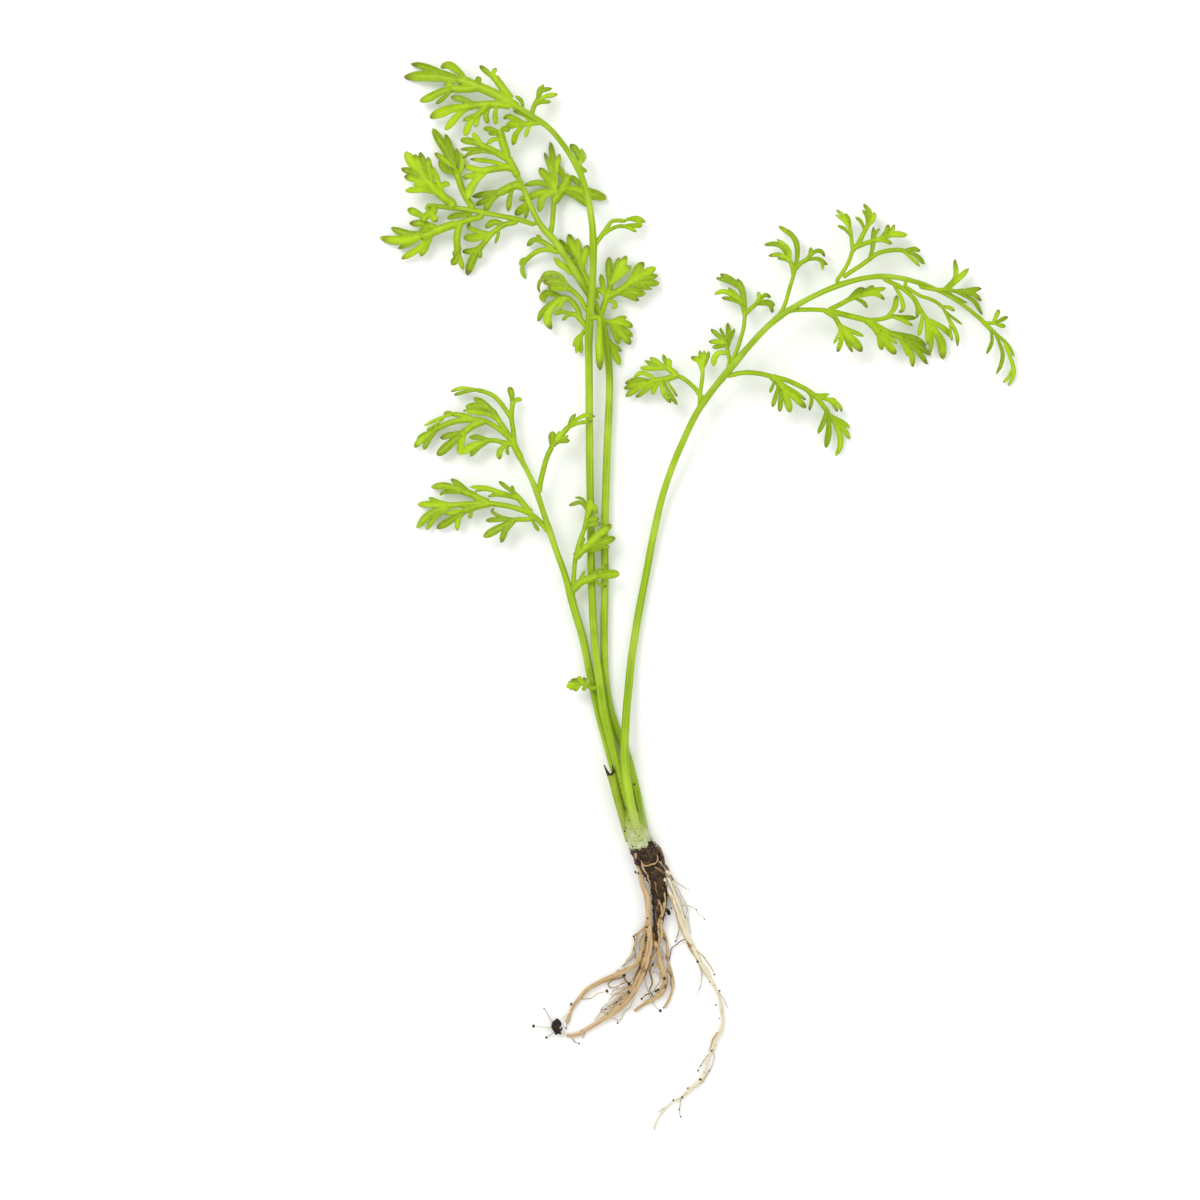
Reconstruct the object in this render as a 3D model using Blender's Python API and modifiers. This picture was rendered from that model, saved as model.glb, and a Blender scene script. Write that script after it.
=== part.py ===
"""Water sprite, one bare-rooted plant lying on a surface as it was picked.

Four fronds, one young leaf and an old torn stalk rise from a short rhizome
with roots and a small clump of soil. Sizes are in millimetres, scaled by MM.
The origin is on the flat underside of the rhizome; +Y runs along the stalks
towards the leaf tips, +X is to the right seen from above and +Z is up.
"""
import bpy
import bmesh
from math import cos, sin
from mathutils import Vector

MM = 0.001

LEAF_THICKNESS = 0.62      # blade of a lobe at its midrib
LEAF_ARCH = 1.3            # how far a leaflet bulges up between stalk and tips
TIP_START = 0.6            # share of a lobe's length where it is widest
GAP = 0.32                 # clearance between neighbouring pieces
STALK_STEP = 9.0           # spacing of a stalk's cross sections
ROOT_STEP = 4.6            # spacing of a root's cross sections
LOBE_BASE = 0.6            # a lobe's width where it leaves the blade, against its widest
STRAIGHT = 0.1            # turns smaller than this, in radians, are left out of an outline
TOUCH = 0.03              # corners closer than this are the same corner
MERGE = 0.12               # corners of the fused outline closer than this become one

CROWN_SIDES = 10
CLUMP_CENTRE = (-24.7, -36.7, 1.3)
CLUMP_SIZE = (1.55, 2.0, 1.35)

# Axes as (x, y, z, radius), from the base of each stalk to its tip.
LEFT_STALK = (
    (-6.0, 9.9, 1.65, 1.0), (-7.6, 16, 1.6, 1.05), (-9.5, 24, 1.6, 1.05), (-12.2, 34, 1.6, 1.05),
    (-14.1, 41, 1.6, 1.0), (-16.2, 50, 1.9, 0.95), (-18.2, 60, 2.6, 0.95), (-20.5, 68, 3.4, 0.95),
    (-22.7, 76, 4.4, 0.8), (-25.5, 84, 5.2, 0.75), (-28, 91.5, 5.4, 0.7), (-30.4, 98.5, 5.0, 0.65),
    (-33.8, 105.4, 4.2, 0.6))
MIDDLE_STALK = (
    (-2.3, 9.9, 1.65, 1.0), (-3.9, 17, 1.5, 1.05), (-5.4, 24, 1.4, 1.05), (-7.2, 31, 1.35, 1.0),
    (-9.6, 37, 1.35, 1.0), (-11.6, 43, 1.4, 1.0), (-12.7, 50, 1.6, 0.95), (-13.0, 60, 2.0, 0.95),
    (-12.8, 74, 2.2, 0.95), (-12.8, 88, 2.2, 0.95), (-12.3, 106, 2.2, 0.95), (-11.6, 124, 2.4, 0.9),
    (-12.4, 133, 2.5, 0.9), (-13.6, 139.5, 2.6, 0.9), (-15.4, 144, 2.8, 0.85), (-18.4, 149, 3.4, 0.85),
    (-21.6, 154, 4.2, 0.8), (-25.2, 159.4, 4.8, 0.8), (-28.6, 163.2, 4.9, 0.75), (-31.2, 168, 4.8, 0.65),
    (-33, 172.4, 4.6, 0.6), (-34.6, 175.8, 4.4, 0.55))
BRANCH_STALK = (
    (-30.7, 163.7, 4.8, 0.55), (-34, 164.8, 4.6, 0.6), (-40, 166.0, 4.4, 0.6), (-46, 167.2, 4.4, 0.6),
    (-52, 167.9, 4.2, 0.55), (-57, 168.3, 3.8, 0.5))
TALL_STALK = (
    (-4.3, 9.9, 3.35, 1.0), (-6.4, 17, 3.5, 1.0), (-8.5, 24, 3.6, 1.05), (-11.0, 34, 4.0, 1.05),
    (-12.8, 41, 4.1, 1.05), (-14.2, 50, 4.1, 1.0), (-15.4, 60, 3.8, 0.95), (-16.1, 74, 3.0, 0.95),
    (-16.3, 88, 2.8, 0.95), (-16.6, 106, 3.0, 0.95), (-16.7, 124, 4.0, 0.95), (-16.8, 136, 5.0, 0.95),
    (-16.3, 144, 5.8, 0.9), (-15.7, 152, 6.8, 0.85), (-15.7, 160, 7.8, 0.85), (-16.6, 168, 8.6, 0.8),
    (-18.6, 175.4, 9.2, 0.75), (-22, 181.6, 9.4, 0.7), (-26.4, 187.1, 9.0, 0.65), (-31.2, 190.6, 8.2, 0.6),
    (-34.6, 192.8, 7.4, 0.6))
RIGHT_STALK = (
    (-3.9, 9.9, 5.65, 1.0), (-5.6, 16, 5.9, 1.05), (-7.0, 23, 6.0, 1.05), (-7.9, 30, 5.8, 1.05),
    (-7.7, 38, 4.6, 1.0), (-7.1, 46, 3.4, 1.0), (-6.2, 55, 2.2, 0.95), (-4.5, 66, 1.8, 0.95),
    (-2.4, 77, 1.9, 0.9), (-0.3, 88, 2.4, 0.9), (2.2, 98, 3.4, 0.85), (6.0, 108, 5.0, 0.85),
    (11.0, 118, 6.8, 0.8), (18.4, 127.6, 8.4, 0.8), (28.4, 138.6, 9.8, 0.75), (38, 144.9, 10.2, 0.7),
    (48, 149.1, 9.6, 0.65), (57, 150.5, 8.2, 0.6), (66, 148.8, 6.4, 0.55), (74, 145.2, 4.6, 0.5),
    (80.4, 140.6, 3.0, 0.45))
OLD_STALK = (
    (-6.7, 9.9, 3.95, 0.95), (-8.4, 16, 4.1, 1.0), (-9.9, 21.4, 4.3, 1.0), (-11.6, 27.6, 4.9, 0.95))

THICK_ROOT = (
    (-4.1, 1.6, 3.1, 0.5), (-3.4, -0.8, 3.2, 0.7), (-2.3, -4, 3.2, 0.8), (-1.9, -8, 3.0, 0.8),
    (-1.8, -12, 2.5, 0.85), (-1.9, -16, 1.9, 0.95), (-2.9, -20.5, 1.3, 1.1), (-4.3, -25, 1.2, 1.0),
    (-6.6, -29, 1.2, 1.0), (-9.6, -32.2, 1.1, 0.9), (-13, -34.6, 0.9, 0.7), (-16.8, -37, 0.7, 0.55),
    (-19.6, -38.5, 0.6, 0.5), (-22.3, -38.9, 0.6, 0.45))
UPPER_ROOT = (
    (-5.0, -21.0, 1.6, 0.5), (-7.4, -22.5, 1.4, 0.65), (-10.4, -23.9, 1.1, 0.65), (-13.8, -25.4, 0.9, 0.6),
    (-16.8, -27.1, 0.8, 0.6), (-19.2, -29.6, 0.7, 0.5), (-21.1, -32.4, 0.6, 0.45), (-22.2, -35.6, 0.6, 0.4))
MIDDLE_ROOT = (
    (0.6, -17.7, 1.8, 0.6), (1.0, -20.6, 1.4, 0.8), (1.9, -23.2, 1.1, 0.75), (2.3, -25.6, 0.9, 0.7),
    (1.4, -27.9, 0.9, 0.75), (-0.5, -29.6, 0.8, 0.6), (-2.9, -30.9, 0.6, 0.45), (-5.4, -32.8, 0.5, 0.35))
SIDE_ROOT = (
    (2.3, -14, 0.9, 0.3), (2.8, -17, 0.7, 0.35), (2.9, -20, 0.6, 0.35), (3.7, -23.2, 0.6, 0.4),
    (4.2, -26.4, 0.6, 0.4), (3.5, -29.2, 0.5, 0.3), (2.2, -31.8, 0.5, 0.3))
LONG_ROOT = (
    (3.9, 0.6, 2.4, 0.6), (4.5, -3, 2.0, 0.8), (5.3, -6.5, 1.6, 0.8), (6.3, -10, 1.3, 0.75),
    (7.6, -13.5, 1.1, 0.75), (9.3, -17, 0.9, 0.7), (11, -20.3, 0.8, 0.7), (13, -23.8, 0.8, 0.7),
    (15, -27.4, 0.7, 0.5), (16.3, -31, 0.6, 0.45), (16.7, -35, 0.6, 0.5), (15.8, -38, 0.7, 0.55),
    (14.4, -41, 0.7, 0.6), (13.4, -43.6, 0.6, 0.45), (12.6, -46.6, 0.6, 0.4), (11.4, -49.7, 0.8, 0.7),
    (8.8, -52, 0.7, 0.6), (6.4, -54.2, 0.6, 0.45), (4.3, -55.2, 0.5, 0.35), (2.2, -57.3, 0.4, 0.3),
    (0.4, -59.8, 0.4, 0.28), (-0.6, -62.4, 0.3, 0.25))
FINE_ROOT = (
    (-3.4, -12.2, 2.4, 0.3), (-4.7, -14, 1.6, 0.32), (-5.3, -16.4, 0.9, 0.32), (-6.0, -18.6, 0.5, 0.3),
    (-7.4, -20.4, 0.45, 0.28))
CROWN = (
    (-3.5, 9.3, 3.0, 2.7), (-3.0, 7.4, 3.05, 3.1), (-1.8, 4.6, 2.75, 2.95), (-0.5, 2, 2.2, 2.5),
    (0.4, -1, 1.85, 2.05), (0.9, -4, 1.75, 1.9), (0.8, -8, 1.5, 1.5), (0.3, -12, 1.3, 1.1),
    (-0.1, -15.6, 1.3, 0.6))

GREEN = (0.33, 0.52, 0.03, 1)
PALE_GREEN = (0.45, 0.60, 0.12, 1)
STRAW = (0.62, 0.48, 0.26, 1)
BROWN = (0.10, 0.055, 0.03, 1)
SOIL = (0.03, 0.018, 0.01, 1)

LEAFLETS = []


def stalk(width, *points):
    return ("stalk", width, points)


def lobe(width, *points):
    return ("lobe", width, points)


def leaflet(name, tips_z, *ribbons, arch=LEAF_ARCH):
    """One leaflet: the height of its tips, then its stalks and lobes (width, points)."""
    LEAFLETS.append((name, tips_z, ribbons, arch))


# right frond
leaflet("right_leaflet_2", 0.8,
    stalk(1.0, (10.8, 121), (10, 122.3), (8.5, 123.8), (7, 125), (5.5, 125.8), (4, 126.2)),
    stalk(1.4, (5, 126.2), (4, 127), (3, 127.8)),
    lobe(1.4, (3.4, 127.6), (3.1, 128.8), (3.2, 130.2)),
    lobe(0.9, (3, 127.8), (2.3, 129.5), (1.7, 131.3)),
    lobe(1.2, (3, 127.8), (1, 128.8), (-1.5, 130.5)),
    lobe(1.0, (3, 127.8), (0.5, 128.2), (-2.8, 129.7)),
    lobe(1.2, (3, 127.8), (0, 127.8), (-4, 127.9)),
    stalk(1.4, (5, 125.9), (2.5, 125.1), (0, 124.7), (-1.5, 124.5)),
    lobe(0.9, (0, 124.8), (-2, 126.2), (-4, 126.6), (-5.7, 125.2)),
    lobe(1.2, (-1.5, 124.5), (-4.5, 125), (-7.7, 124.1)),
    lobe(1.2, (-1.5, 124.3), (-5, 123.9), (-8, 122.8)),
    lobe(1.4, (-1, 124), (-4.5, 122.9), (-7.6, 120.8)),
    lobe(1.0, (0, 124.3), (-2.5, 122.4), (-5, 120.6)),
    lobe(1.0, (1, 124.6), (-0.5, 122.6), (-1, 121.2)),
    lobe(1.1, (1.3, 124.6), (1.8, 121.8), (3.7, 119.1)),
    lobe(0.9, (1.8, 124.6), (3.3, 121.6), (5.2, 118.6)),
    lobe(0.6, (2.5, 124.8), (4, 122.5), (5.2, 120.7)),
    stalk(0.9, (10.4, 117), (10.8, 119), (10.9, 120.5), (11, 122), (11.3, 124), (11.6, 126.5)),
    lobe(1.3, (11.6, 126.5), (11.2, 128.5), (10.5, 129.8), (8.6, 130.5)),
    lobe(1.0, (11.5, 128), (11.2, 130), (10.9, 132.2)),
    lobe(0.9, (11.7, 127.5), (11.9, 130), (12, 132.2)),
    lobe(0.9, (11.9, 128), (12.6, 130), (13.2, 132)))
leaflet("right_leaflet_3", 1.0,
    stalk(0.85, (17.8, 127.5), (18.2, 129.5), (18, 131), (17.6, 133), (17.2, 134.5)),
    lobe(0.9, (17.8, 132.8), (18.6, 135.5), (19.6, 137.7)),
    lobe(1.1, (17.3, 134.2), (18, 136.7), (17.9, 139.2)),
    lobe(0.7, (17.2, 134.5), (16.7, 136.3), (15.9, 137.9)),
    lobe(1.1, (17.2, 134.3), (15.6, 135.9), (13.7, 137.6)),
    lobe(1.05, (17.3, 134), (15.2, 134.4), (13.2, 134.4)),
    lobe(1.0, (17.5, 133.5), (15.7, 133.2), (14, 133)),
    lobe(1.3, (18, 131.4), (15.8, 131.6), (14.5, 130.3), (14.2, 128.2)))
leaflet("right_leaflet_4", 1.4,
    stalk(0.9, (18.8, 129.5), (19.8, 131.5), (20.5, 133.5), (21.3, 136), (21.8, 138), (22, 140),
          (22.1, 142.3)),
    lobe(1.2, (22, 140.8), (21.3, 143.8), (19.8, 146), (18, 147.9)),
    lobe(1.0, (21.6, 144), (19.3, 145.8), (16.8, 147), (14.5, 146.3)),
    lobe(0.9, (21.5, 143.8), (18.6, 145), (16.4, 145.4)),
    lobe(1.4, (22.1, 142.3), (21.9, 145), (21.2, 148), (20.3, 150.2)),
    lobe(1.1, (21.2, 148.2), (18.6, 150.2), (16, 151.4)),
    lobe(1.0, (21.4, 147.4), (18, 149.6), (15, 150.4)),
    stalk(1.0, (22.2, 141.3), (24, 143), (25.6, 144.5)),
    lobe(1.0, (25, 144.2), (25.7, 145.6), (25.4, 146.9)),
    lobe(0.9, (25.6, 144.5), (27.2, 146.1), (28.6, 145.5)),
    lobe(0.9, (25.4, 144.2), (27.8, 144.5), (29.6, 143.5)),
    lobe(0.9, (25, 143.8), (28.2, 143.7), (29.1, 141.6)))
leaflet("right_leaflet_5", 1.3,
    stalk(0.9, (30.3, 140.5), (31.5, 142.5), (32.3, 144.5), (33, 147), (33.6, 149), (34.2, 151),
          (34.8, 153.3)),
    lobe(1.2, (34.6, 152.8), (35.2, 156), (34.9, 159.3), (33.2, 162.3)),
    lobe(1.0, (35, 158.4), (33.8, 161), (30.6, 163.4)),
    stalk(1.0, (34.2, 151), (33.9, 153), (33.2, 155)),
    lobe(1.0, (33.2, 155), (33, 157.3), (30.3, 160)),
    lobe(1.1, (33.2, 155), (31.5, 157.8), (29.6, 158.8), (27, 158.6)),
    lobe(0.9, (33.3, 154.6), (31, 156), (28, 155.8)),
    lobe(0.8, (33.5, 154), (32.1, 154.9), (30.2, 155.2)),
    stalk(1.0, (34.6, 152.4), (36, 153.9), (37.8, 155)),
    lobe(1.0, (37.2, 154.7), (38.5, 156.3), (38.6, 158)),
    lobe(0.9, (37.8, 155), (39.6, 156.9), (41.2, 157), (42.1, 155.7)),
    lobe(0.9, (37.6, 154.8), (40.3, 155.1), (42.7, 153.6)),
    lobe(0.7, (40, 155.1), (41.3, 154.2), (41.6, 152.3)))
leaflet("right_leaflet_6", 1.7,
    stalk(0.9, (45, 149.5), (46, 151), (47.3, 153), (48.2, 155), (48.9, 157.2)),
    stalk(0.9, (48.9, 157), (48.6, 160), (48.3, 162.4)),
    lobe(0.9, (48.3, 162.2), (48, 164.5), (47.2, 166.4)),
    lobe(0.8, (48.3, 162.6), (47, 165.4), (44.9, 167.3)),
    lobe(0.7, (48.4, 162), (46.8, 164.5), (44.7, 166.1)),
    lobe(0.8, (48.6, 160.4), (47.1, 162.3), (45.2, 163.3)),
    stalk(1.1, (48.9, 157), (50.4, 158.9), (51.6, 161.3), (52.6, 163.3)),
    lobe(0.8, (52, 162), (51, 164.4), (49.7, 165.4)),
    lobe(0.8, (52.6, 163), (52.5, 165.7), (51.5, 167.3)),
    lobe(1.1, (52.6, 163.3), (53.4, 166.2), (51.8, 168.8)),
    lobe(1.0, (52.6, 163), (54, 164.8), (54.5, 166.7)),
    stalk(1.1, (49.7, 157.8), (52, 158.8), (54, 159.4), (56, 160.1)),
    lobe(1.1, (56, 160.3), (57.5, 162), (57.9, 163.7)),
    lobe(0.9, (56, 160.2), (58.6, 161.9), (59.5, 163.7)),
    lobe(1.4, (55.8, 160), (59, 161.2), (62.7, 161.1)),
    lobe(1.0, (54.8, 159.6), (57, 159.6), (58.8, 158.8)),
    stalk(1.0, (46.5, 150.3), (49, 152), (51, 153.3), (53, 154.8), (55, 156.2), (57, 156.9),
          (60, 157.3), (62.5, 157.1)),
    lobe(1.1, (53, 154.8), (53.9, 158), (54.2, 163)),
    lobe(0.7, (54.2, 159.6), (54.7, 161.2), (55.6, 162.6)),
    lobe(1.0, (62, 157.2), (64.3, 157.6), (66, 157.1)),
    lobe(1.0, (62.5, 157.1), (65, 155.9), (67.1, 153.9)),
    lobe(0.8, (61.5, 157.1), (64, 155.1), (65.8, 153.3)))
leaflet("right_leaflet_8", 0.9,
    stalk(1.0, (30.5, 140.6), (32, 141.3), (34, 142), (37, 142.2), (40, 142.2), (43, 142)),
    stalk(1.1, (43, 142.2), (46, 143.7), (48, 144.8), (50.5, 145.8)),
    lobe(1.1, (48, 145), (50, 146.8), (51.9, 147.7)),
    lobe(1.2, (50.5, 145.9), (52.5, 147), (54.3, 148.3)),
    lobe(1.1, (50.5, 145.8), (54, 147), (57.2, 147.7)),
    lobe(1.0, (50.3, 145.5), (54.4, 146.3), (57, 144.9)),
    lobe(0.9, (49.4, 145.2), (51.5, 144.2), (52.6, 142.8)),
    stalk(1.3, (43, 141.9), (46, 141.2), (49, 140.5), (52, 139.8), (54, 139.4)),
    stalk(1.0, (52.6, 139.7), (56, 140), (59, 140.9)),
    lobe(1.1, (57.5, 140.5), (59.4, 142.8), (60, 146)),
    lobe(1.1, (59, 140.9), (62, 140.5), (64.9, 140.4)),
    lobe(0.9, (58.7, 140.7), (61.5, 139.8), (64, 138.5)),
    stalk(1.2, (53.5, 139.3), (56, 137.8), (58.5, 136.5), (61.3, 135.3)),
    lobe(1.2, (58.5, 136.7), (62, 136), (65, 135.1), (67.5, 133.5)),
    lobe(1.2, (61.3, 135.3), (65, 133.8), (68.6, 131.2)),
    lobe(1.2, (61.3, 135.2), (65, 132.5), (67.8, 128.9)),
    lobe(1.3, (61, 135), (63.6, 131.6), (64.1, 128.2)),
    lobe(0.7, (60.4, 135.3), (62, 133), (62.8, 130.8)),
    stalk(1.4, (52.3, 139.6), (54.3, 137.9), (55.3, 136.5)),
    lobe(1.3, (55.3, 136.5), (55.8, 134.5), (56.3, 132.3)),
    lobe(1.8, (55.4, 136.5), (57.3, 134.2), (59.8, 131.3)),
    lobe(0.9, (55.3, 137), (57.8, 135.6), (60.2, 133.9)),
    stalk(1.1, (42, 141.9), (44.3, 140.4), (45.4, 138.7), (46, 137.3)),
    lobe(0.7, (45.8, 137.3), (45.2, 135.6), (44.2, 133.8)),
    lobe(1.1, (46, 137.3), (46, 134.5), (45.1, 131.7)),
    lobe(0.9, (46, 137.2), (47.4, 134.5), (48.9, 131.7)),
    lobe(1.9, (46.2, 137.5), (49.2, 134.4), (51.3, 131.9)),
    lobe(0.9, (45.4, 138.6), (48.5, 137), (51.7, 135.7)))
leaflet("right_leaflet_9", 0.9,
    stalk(1.0, (57, 149.7), (60, 148.3), (62, 147), (64.2, 145), (65.5, 142.9), (66.8, 140.8),
          (68.5, 138.8)),
    lobe(0.9, (59, 148.6), (60.9, 145.2), (61.4, 142.4), (60.3, 141.6)),
    lobe(0.9, (63.8, 145.3), (65.1, 142.8), (65, 140.3)),
    lobe(0.9, (66.3, 141.2), (66.0, 138.4), (65.4, 135.8)),
    lobe(1.0, (67.2, 140.2), (67.6, 136.9), (67.8, 133.6)),
    lobe(0.9, (67.9, 139.2), (68.7, 135.2), (68.2, 131)),
    lobe(1.9, (68.5, 138.8), (71.1, 134.5), (71.7, 130.1)),
    lobe(1.2, (68, 139.8), (71.5, 137.9), (74, 135.5)))
leaflet("right_leaflet_10", 3.4,
    stalk(0.8, (62, 148.2), (63, 147.4), (64.2, 146.6), (66, 145.6), (68, 145), (70, 144),
          (71.3, 142.9)),
    lobe(0.8, (71, 143.2), (73, 142.8), (74.4, 142)),
    lobe(0.6, (71.3, 142.7), (73.5, 140.7), (76.3, 138.7)),
    lobe(0.9, (71.3, 142.9), (73.2, 139.5), (75, 136), (75.2, 133.2)),
    lobe(0.6, (73.2, 138.6), (73.4, 136.5), (73.8, 134.6)))
leaflet("right_leaflet_11", 1.0,
    stalk(0.9, (66, 148), (68, 147.6), (70, 147.3), (72.5, 147.3), (75, 146.9)),
    lobe(1.1, (71.8, 147.4), (74.6, 150.5), (74.5, 155)),
    lobe(1.2, (72.5, 147.3), (75.6, 150.3), (78, 152.7)),
    lobe(1.2, (74.6, 147), (78, 147.2), (81.2, 147.8)),
    lobe(1.1, (75, 146.9), (79, 146.4), (81.2, 144.7)),
    lobe(0.9, (75, 146.7), (79.2, 144.7), (81.5, 141.3)),
    lobe(0.6, (72.3, 147), (75, 145.3), (77.5, 144.1)))
leaflet("right_end_leaf", 0.35,
    stalk(1.0, (80.9, 140.2), (82.3, 138.7), (83.6, 137.4)),
    stalk(0.8, (81.8, 139), (83, 139.1), (84.5, 139.1)),
    lobe(1.0, (84, 139.2), (84.9, 140.9), (85.6, 142.5)),
    lobe(0.9, (84.5, 139.1), (86.2, 139.9), (87.8, 140.7)),
    lobe(0.9, (84.4, 139), (86, 138.5), (87.2, 138.2)),
    stalk(0.8, (83.3, 137.8), (84, 137.2), (84.7, 136.4)),
    lobe(0.8, (83.6, 137.4), (83.8, 134.4), (82.5, 131.4)),
    lobe(0.9, (84.6, 136.6), (86.4, 132), (86.2, 129), (85, 126.4)),
    lobe(0.9, (84.7, 136.6), (87.4, 134), (89.4, 130.8)),
    lobe(0.9, (87, 133.8), (89, 129), (89.2, 126), (88.1, 123.5)),
    lobe(0.6, (88.8, 127.6), (88, 125.6), (86.6, 124.2)))
leaflet("right_leaflet_14", 0.8,
    stalk(1.1, (16.8, 125.8), (19, 126), (20.5, 126.4), (23, 126.6), (26, 126.3), (29, 125.6),
          (32, 124.9),
          (35, 123.7), (38, 122.1), (40, 120.5), (42, 118), (43.5, 116)),
    lobe(1.2, (43.5, 116.2), (45.7, 111.8), (46, 108.5), (44.9, 106)),
    lobe(1.0, (42.5, 117.4), (41.7, 114.3), (40.4, 111.5)),
    lobe(1.4, (43, 116.4), (43.1, 112), (42.4, 108)),
    lobe(1.1, (44.3, 115), (46.8, 112.8), (48.4, 110.2)),
    lobe(0.9, (43.8, 115.9), (46.4, 114.5), (48.4, 113)),
    stalk(1.8, (29, 125.6), (30.5, 124.2), (31.2, 123)),
    lobe(0.7, (29.8, 125), (29, 123.2), (28.3, 121.6)),
    lobe(1.0, (30.6, 123.8), (29.7, 120.6), (28.9, 118)),
    lobe(1.1, (31.1, 123.2), (31, 119.8), (30.7, 116.8)),
    lobe(1.6, (31.2, 123), (32.6, 119.8), (33.4, 116.7)),
    lobe(1.4, (31.2, 123.2), (34.4, 120.6), (37.4, 117.8)),
    lobe(0.8, (31.4, 124), (34.6, 121.9), (37.3, 119.9)),
    lobe(0.8, (37.3, 122.6), (38.8, 120.2), (38.2, 117.3)),
    lobe(0.8, (39, 121.4), (41, 121.1), (43.2, 121.3)),
    stalk(0.9, (39.6, 120.9), (41.5, 120.4), (43, 120)),
    lobe(0.8, (42.6, 120.1), (44, 120), (45.2, 119.5)),
    lobe(0.8, (43, 120), (45.4, 118.9), (46.4, 117)),
    lobe(0.8, (42.7, 120), (44.2, 118.9), (45.3, 117)))
# left frond
leaflet("left_end_leaf", 1.0,
    stalk(1.5, (-34.2, 106.2), (-35.2, 108.2), (-35.8, 110)),
    stalk(1.1, (-35.2, 108.5), (-35.4, 110), (-35.6, 112), (-35.9, 114), (-36.1, 116),
          (-35.9, 118), (-35.9, 119.6)),
    lobe(1.4, (-35.9, 119.4), (-36.1, 121.5), (-36.7, 123.2)),
    lobe(0.9, (-35.8, 118.8), (-34.8, 120), (-33.4, 119.9)),
    stalk(1.0, (-36, 115), (-37, 116.6), (-38.3, 118.5), (-39.5, 120), (-41, 121.2), (-43, 122),
          (-45, 122.5)),
    lobe(0.8, (-45, 122.6), (-48.5, 122.9), (-51.2, 122.1)),
    lobe(0.8, (-45, 122.4), (-48, 121.9), (-50.4, 121.2)),
    stalk(1.2, (-35.8, 109.6), (-37.2, 111.8), (-38.4, 113.5), (-39.6, 115.3), (-40.7, 117.2)),
    lobe(1.4, (-40.4, 116.8), (-43, 119), (-45.6, 120.4)),
    lobe(1.4, (-40.7, 117.3), (-44, 118.5), (-47.6, 118.2)),
    lobe(0.9, (-39.2, 114.6), (-42, 116.3), (-44.5, 116.6), (-47.3, 116.9)),
    lobe(0.8, (-41.5, 116.6), (-44.8, 117.5), (-48.2, 117.2)),
    stalk(1.1, (-36.2, 109.8), (-38, 111.6), (-40, 113.1), (-42, 114.3), (-44, 115), (-46, 115.2)),
    stalk(1.2, (-46, 115.4), (-48, 116), (-50.5, 116.4)),
    lobe(0.9, (-50.3, 116.4), (-52, 116.7), (-53, 116.4)),
    lobe(0.7, (-50.5, 116.3), (-53.5, 115.6), (-57.9, 113.6)),
    lobe(0.6, (-52.9, 115.5), (-54.6, 114.1), (-57.2, 112.4)),
    stalk(1.3, (-45.6, 115), (-48, 114.9), (-50.5, 114.5), (-53, 113.6), (-55.3, 112.5)),
    lobe(1.1, (-55, 112.7), (-57.5, 111.4), (-59.7, 110.3)),
    lobe(1.4, (-55.3, 112.5), (-58, 110.6), (-60.4, 108.1)),
    lobe(1.2, (-55, 112.2), (-57, 109.7), (-58, 107.5)),
    stalk(1.6, (-43, 114.6), (-45.3, 113.7), (-46.8, 112.7), (-48.3, 111.5)),
    lobe(1.3, (-47.8, 112), (-51, 111.2), (-53.9, 110.4)),
    lobe(2.0, (-48.4, 111.4), (-51.8, 108.6), (-54.7, 106.1)),
    lobe(1.6, (-48, 111.3), (-48.7, 108.6), (-48.8, 106.1)),
    stalk(1.1, (-35.6, 108.7), (-37, 109), (-38.5, 109.4), (-40.2, 109.8), (-42.2, 109.8)),
    lobe(1.1, (-42, 110), (-44.3, 110.6), (-46.7, 110.6)),
    lobe(1.6, (-42.2, 109.7), (-45.8, 108.4), (-48.5, 106.4)),
    lobe(1.2, (-41.8, 109.5), (-44.5, 107.9), (-46.4, 105.8)),
    lobe(1.3, (-37.2, 109), (-38.9, 107.2), (-39.1, 105)),
    lobe(0.7, (-36.7, 108.8), (-37.2, 107.4), (-36.8, 106.1)))
leaflet("left_leaflet_5", 5.4,
    stalk(1.2, (-29.2, 97.2), (-28.8, 99.5), (-28.2, 102), (-27.6, 104.3), (-26.8, 106.5),
          (-25.8, 108.4)),
    lobe(1.7, (-25.9, 108.2), (-25.9, 110.2), (-25.7, 112)),
    stalk(1.3, (-25.8, 108.4), (-24.6, 110), (-23.3, 111.5), (-22, 113)),
    lobe(1.2, (-24.6, 110), (-24.2, 111), (-23.6, 112)),
    lobe(0.9, (-22, 113), (-21.2, 114.8), (-20.1, 116.4)),
    lobe(0.9, (-22, 113), (-19.4, 115.2), (-17.4, 116), (-15.2, 115.7)),
    lobe(0.8, (-21.8, 112.9), (-19.2, 114.1), (-15.8, 114.6)),
    lobe(1.1, (-25.4, 108.8), (-23.8, 109.6), (-21.5, 109.7)),
    lobe(0.6, (-24.6, 109.7), (-23, 110.4), (-21.8, 110.9)))
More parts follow.
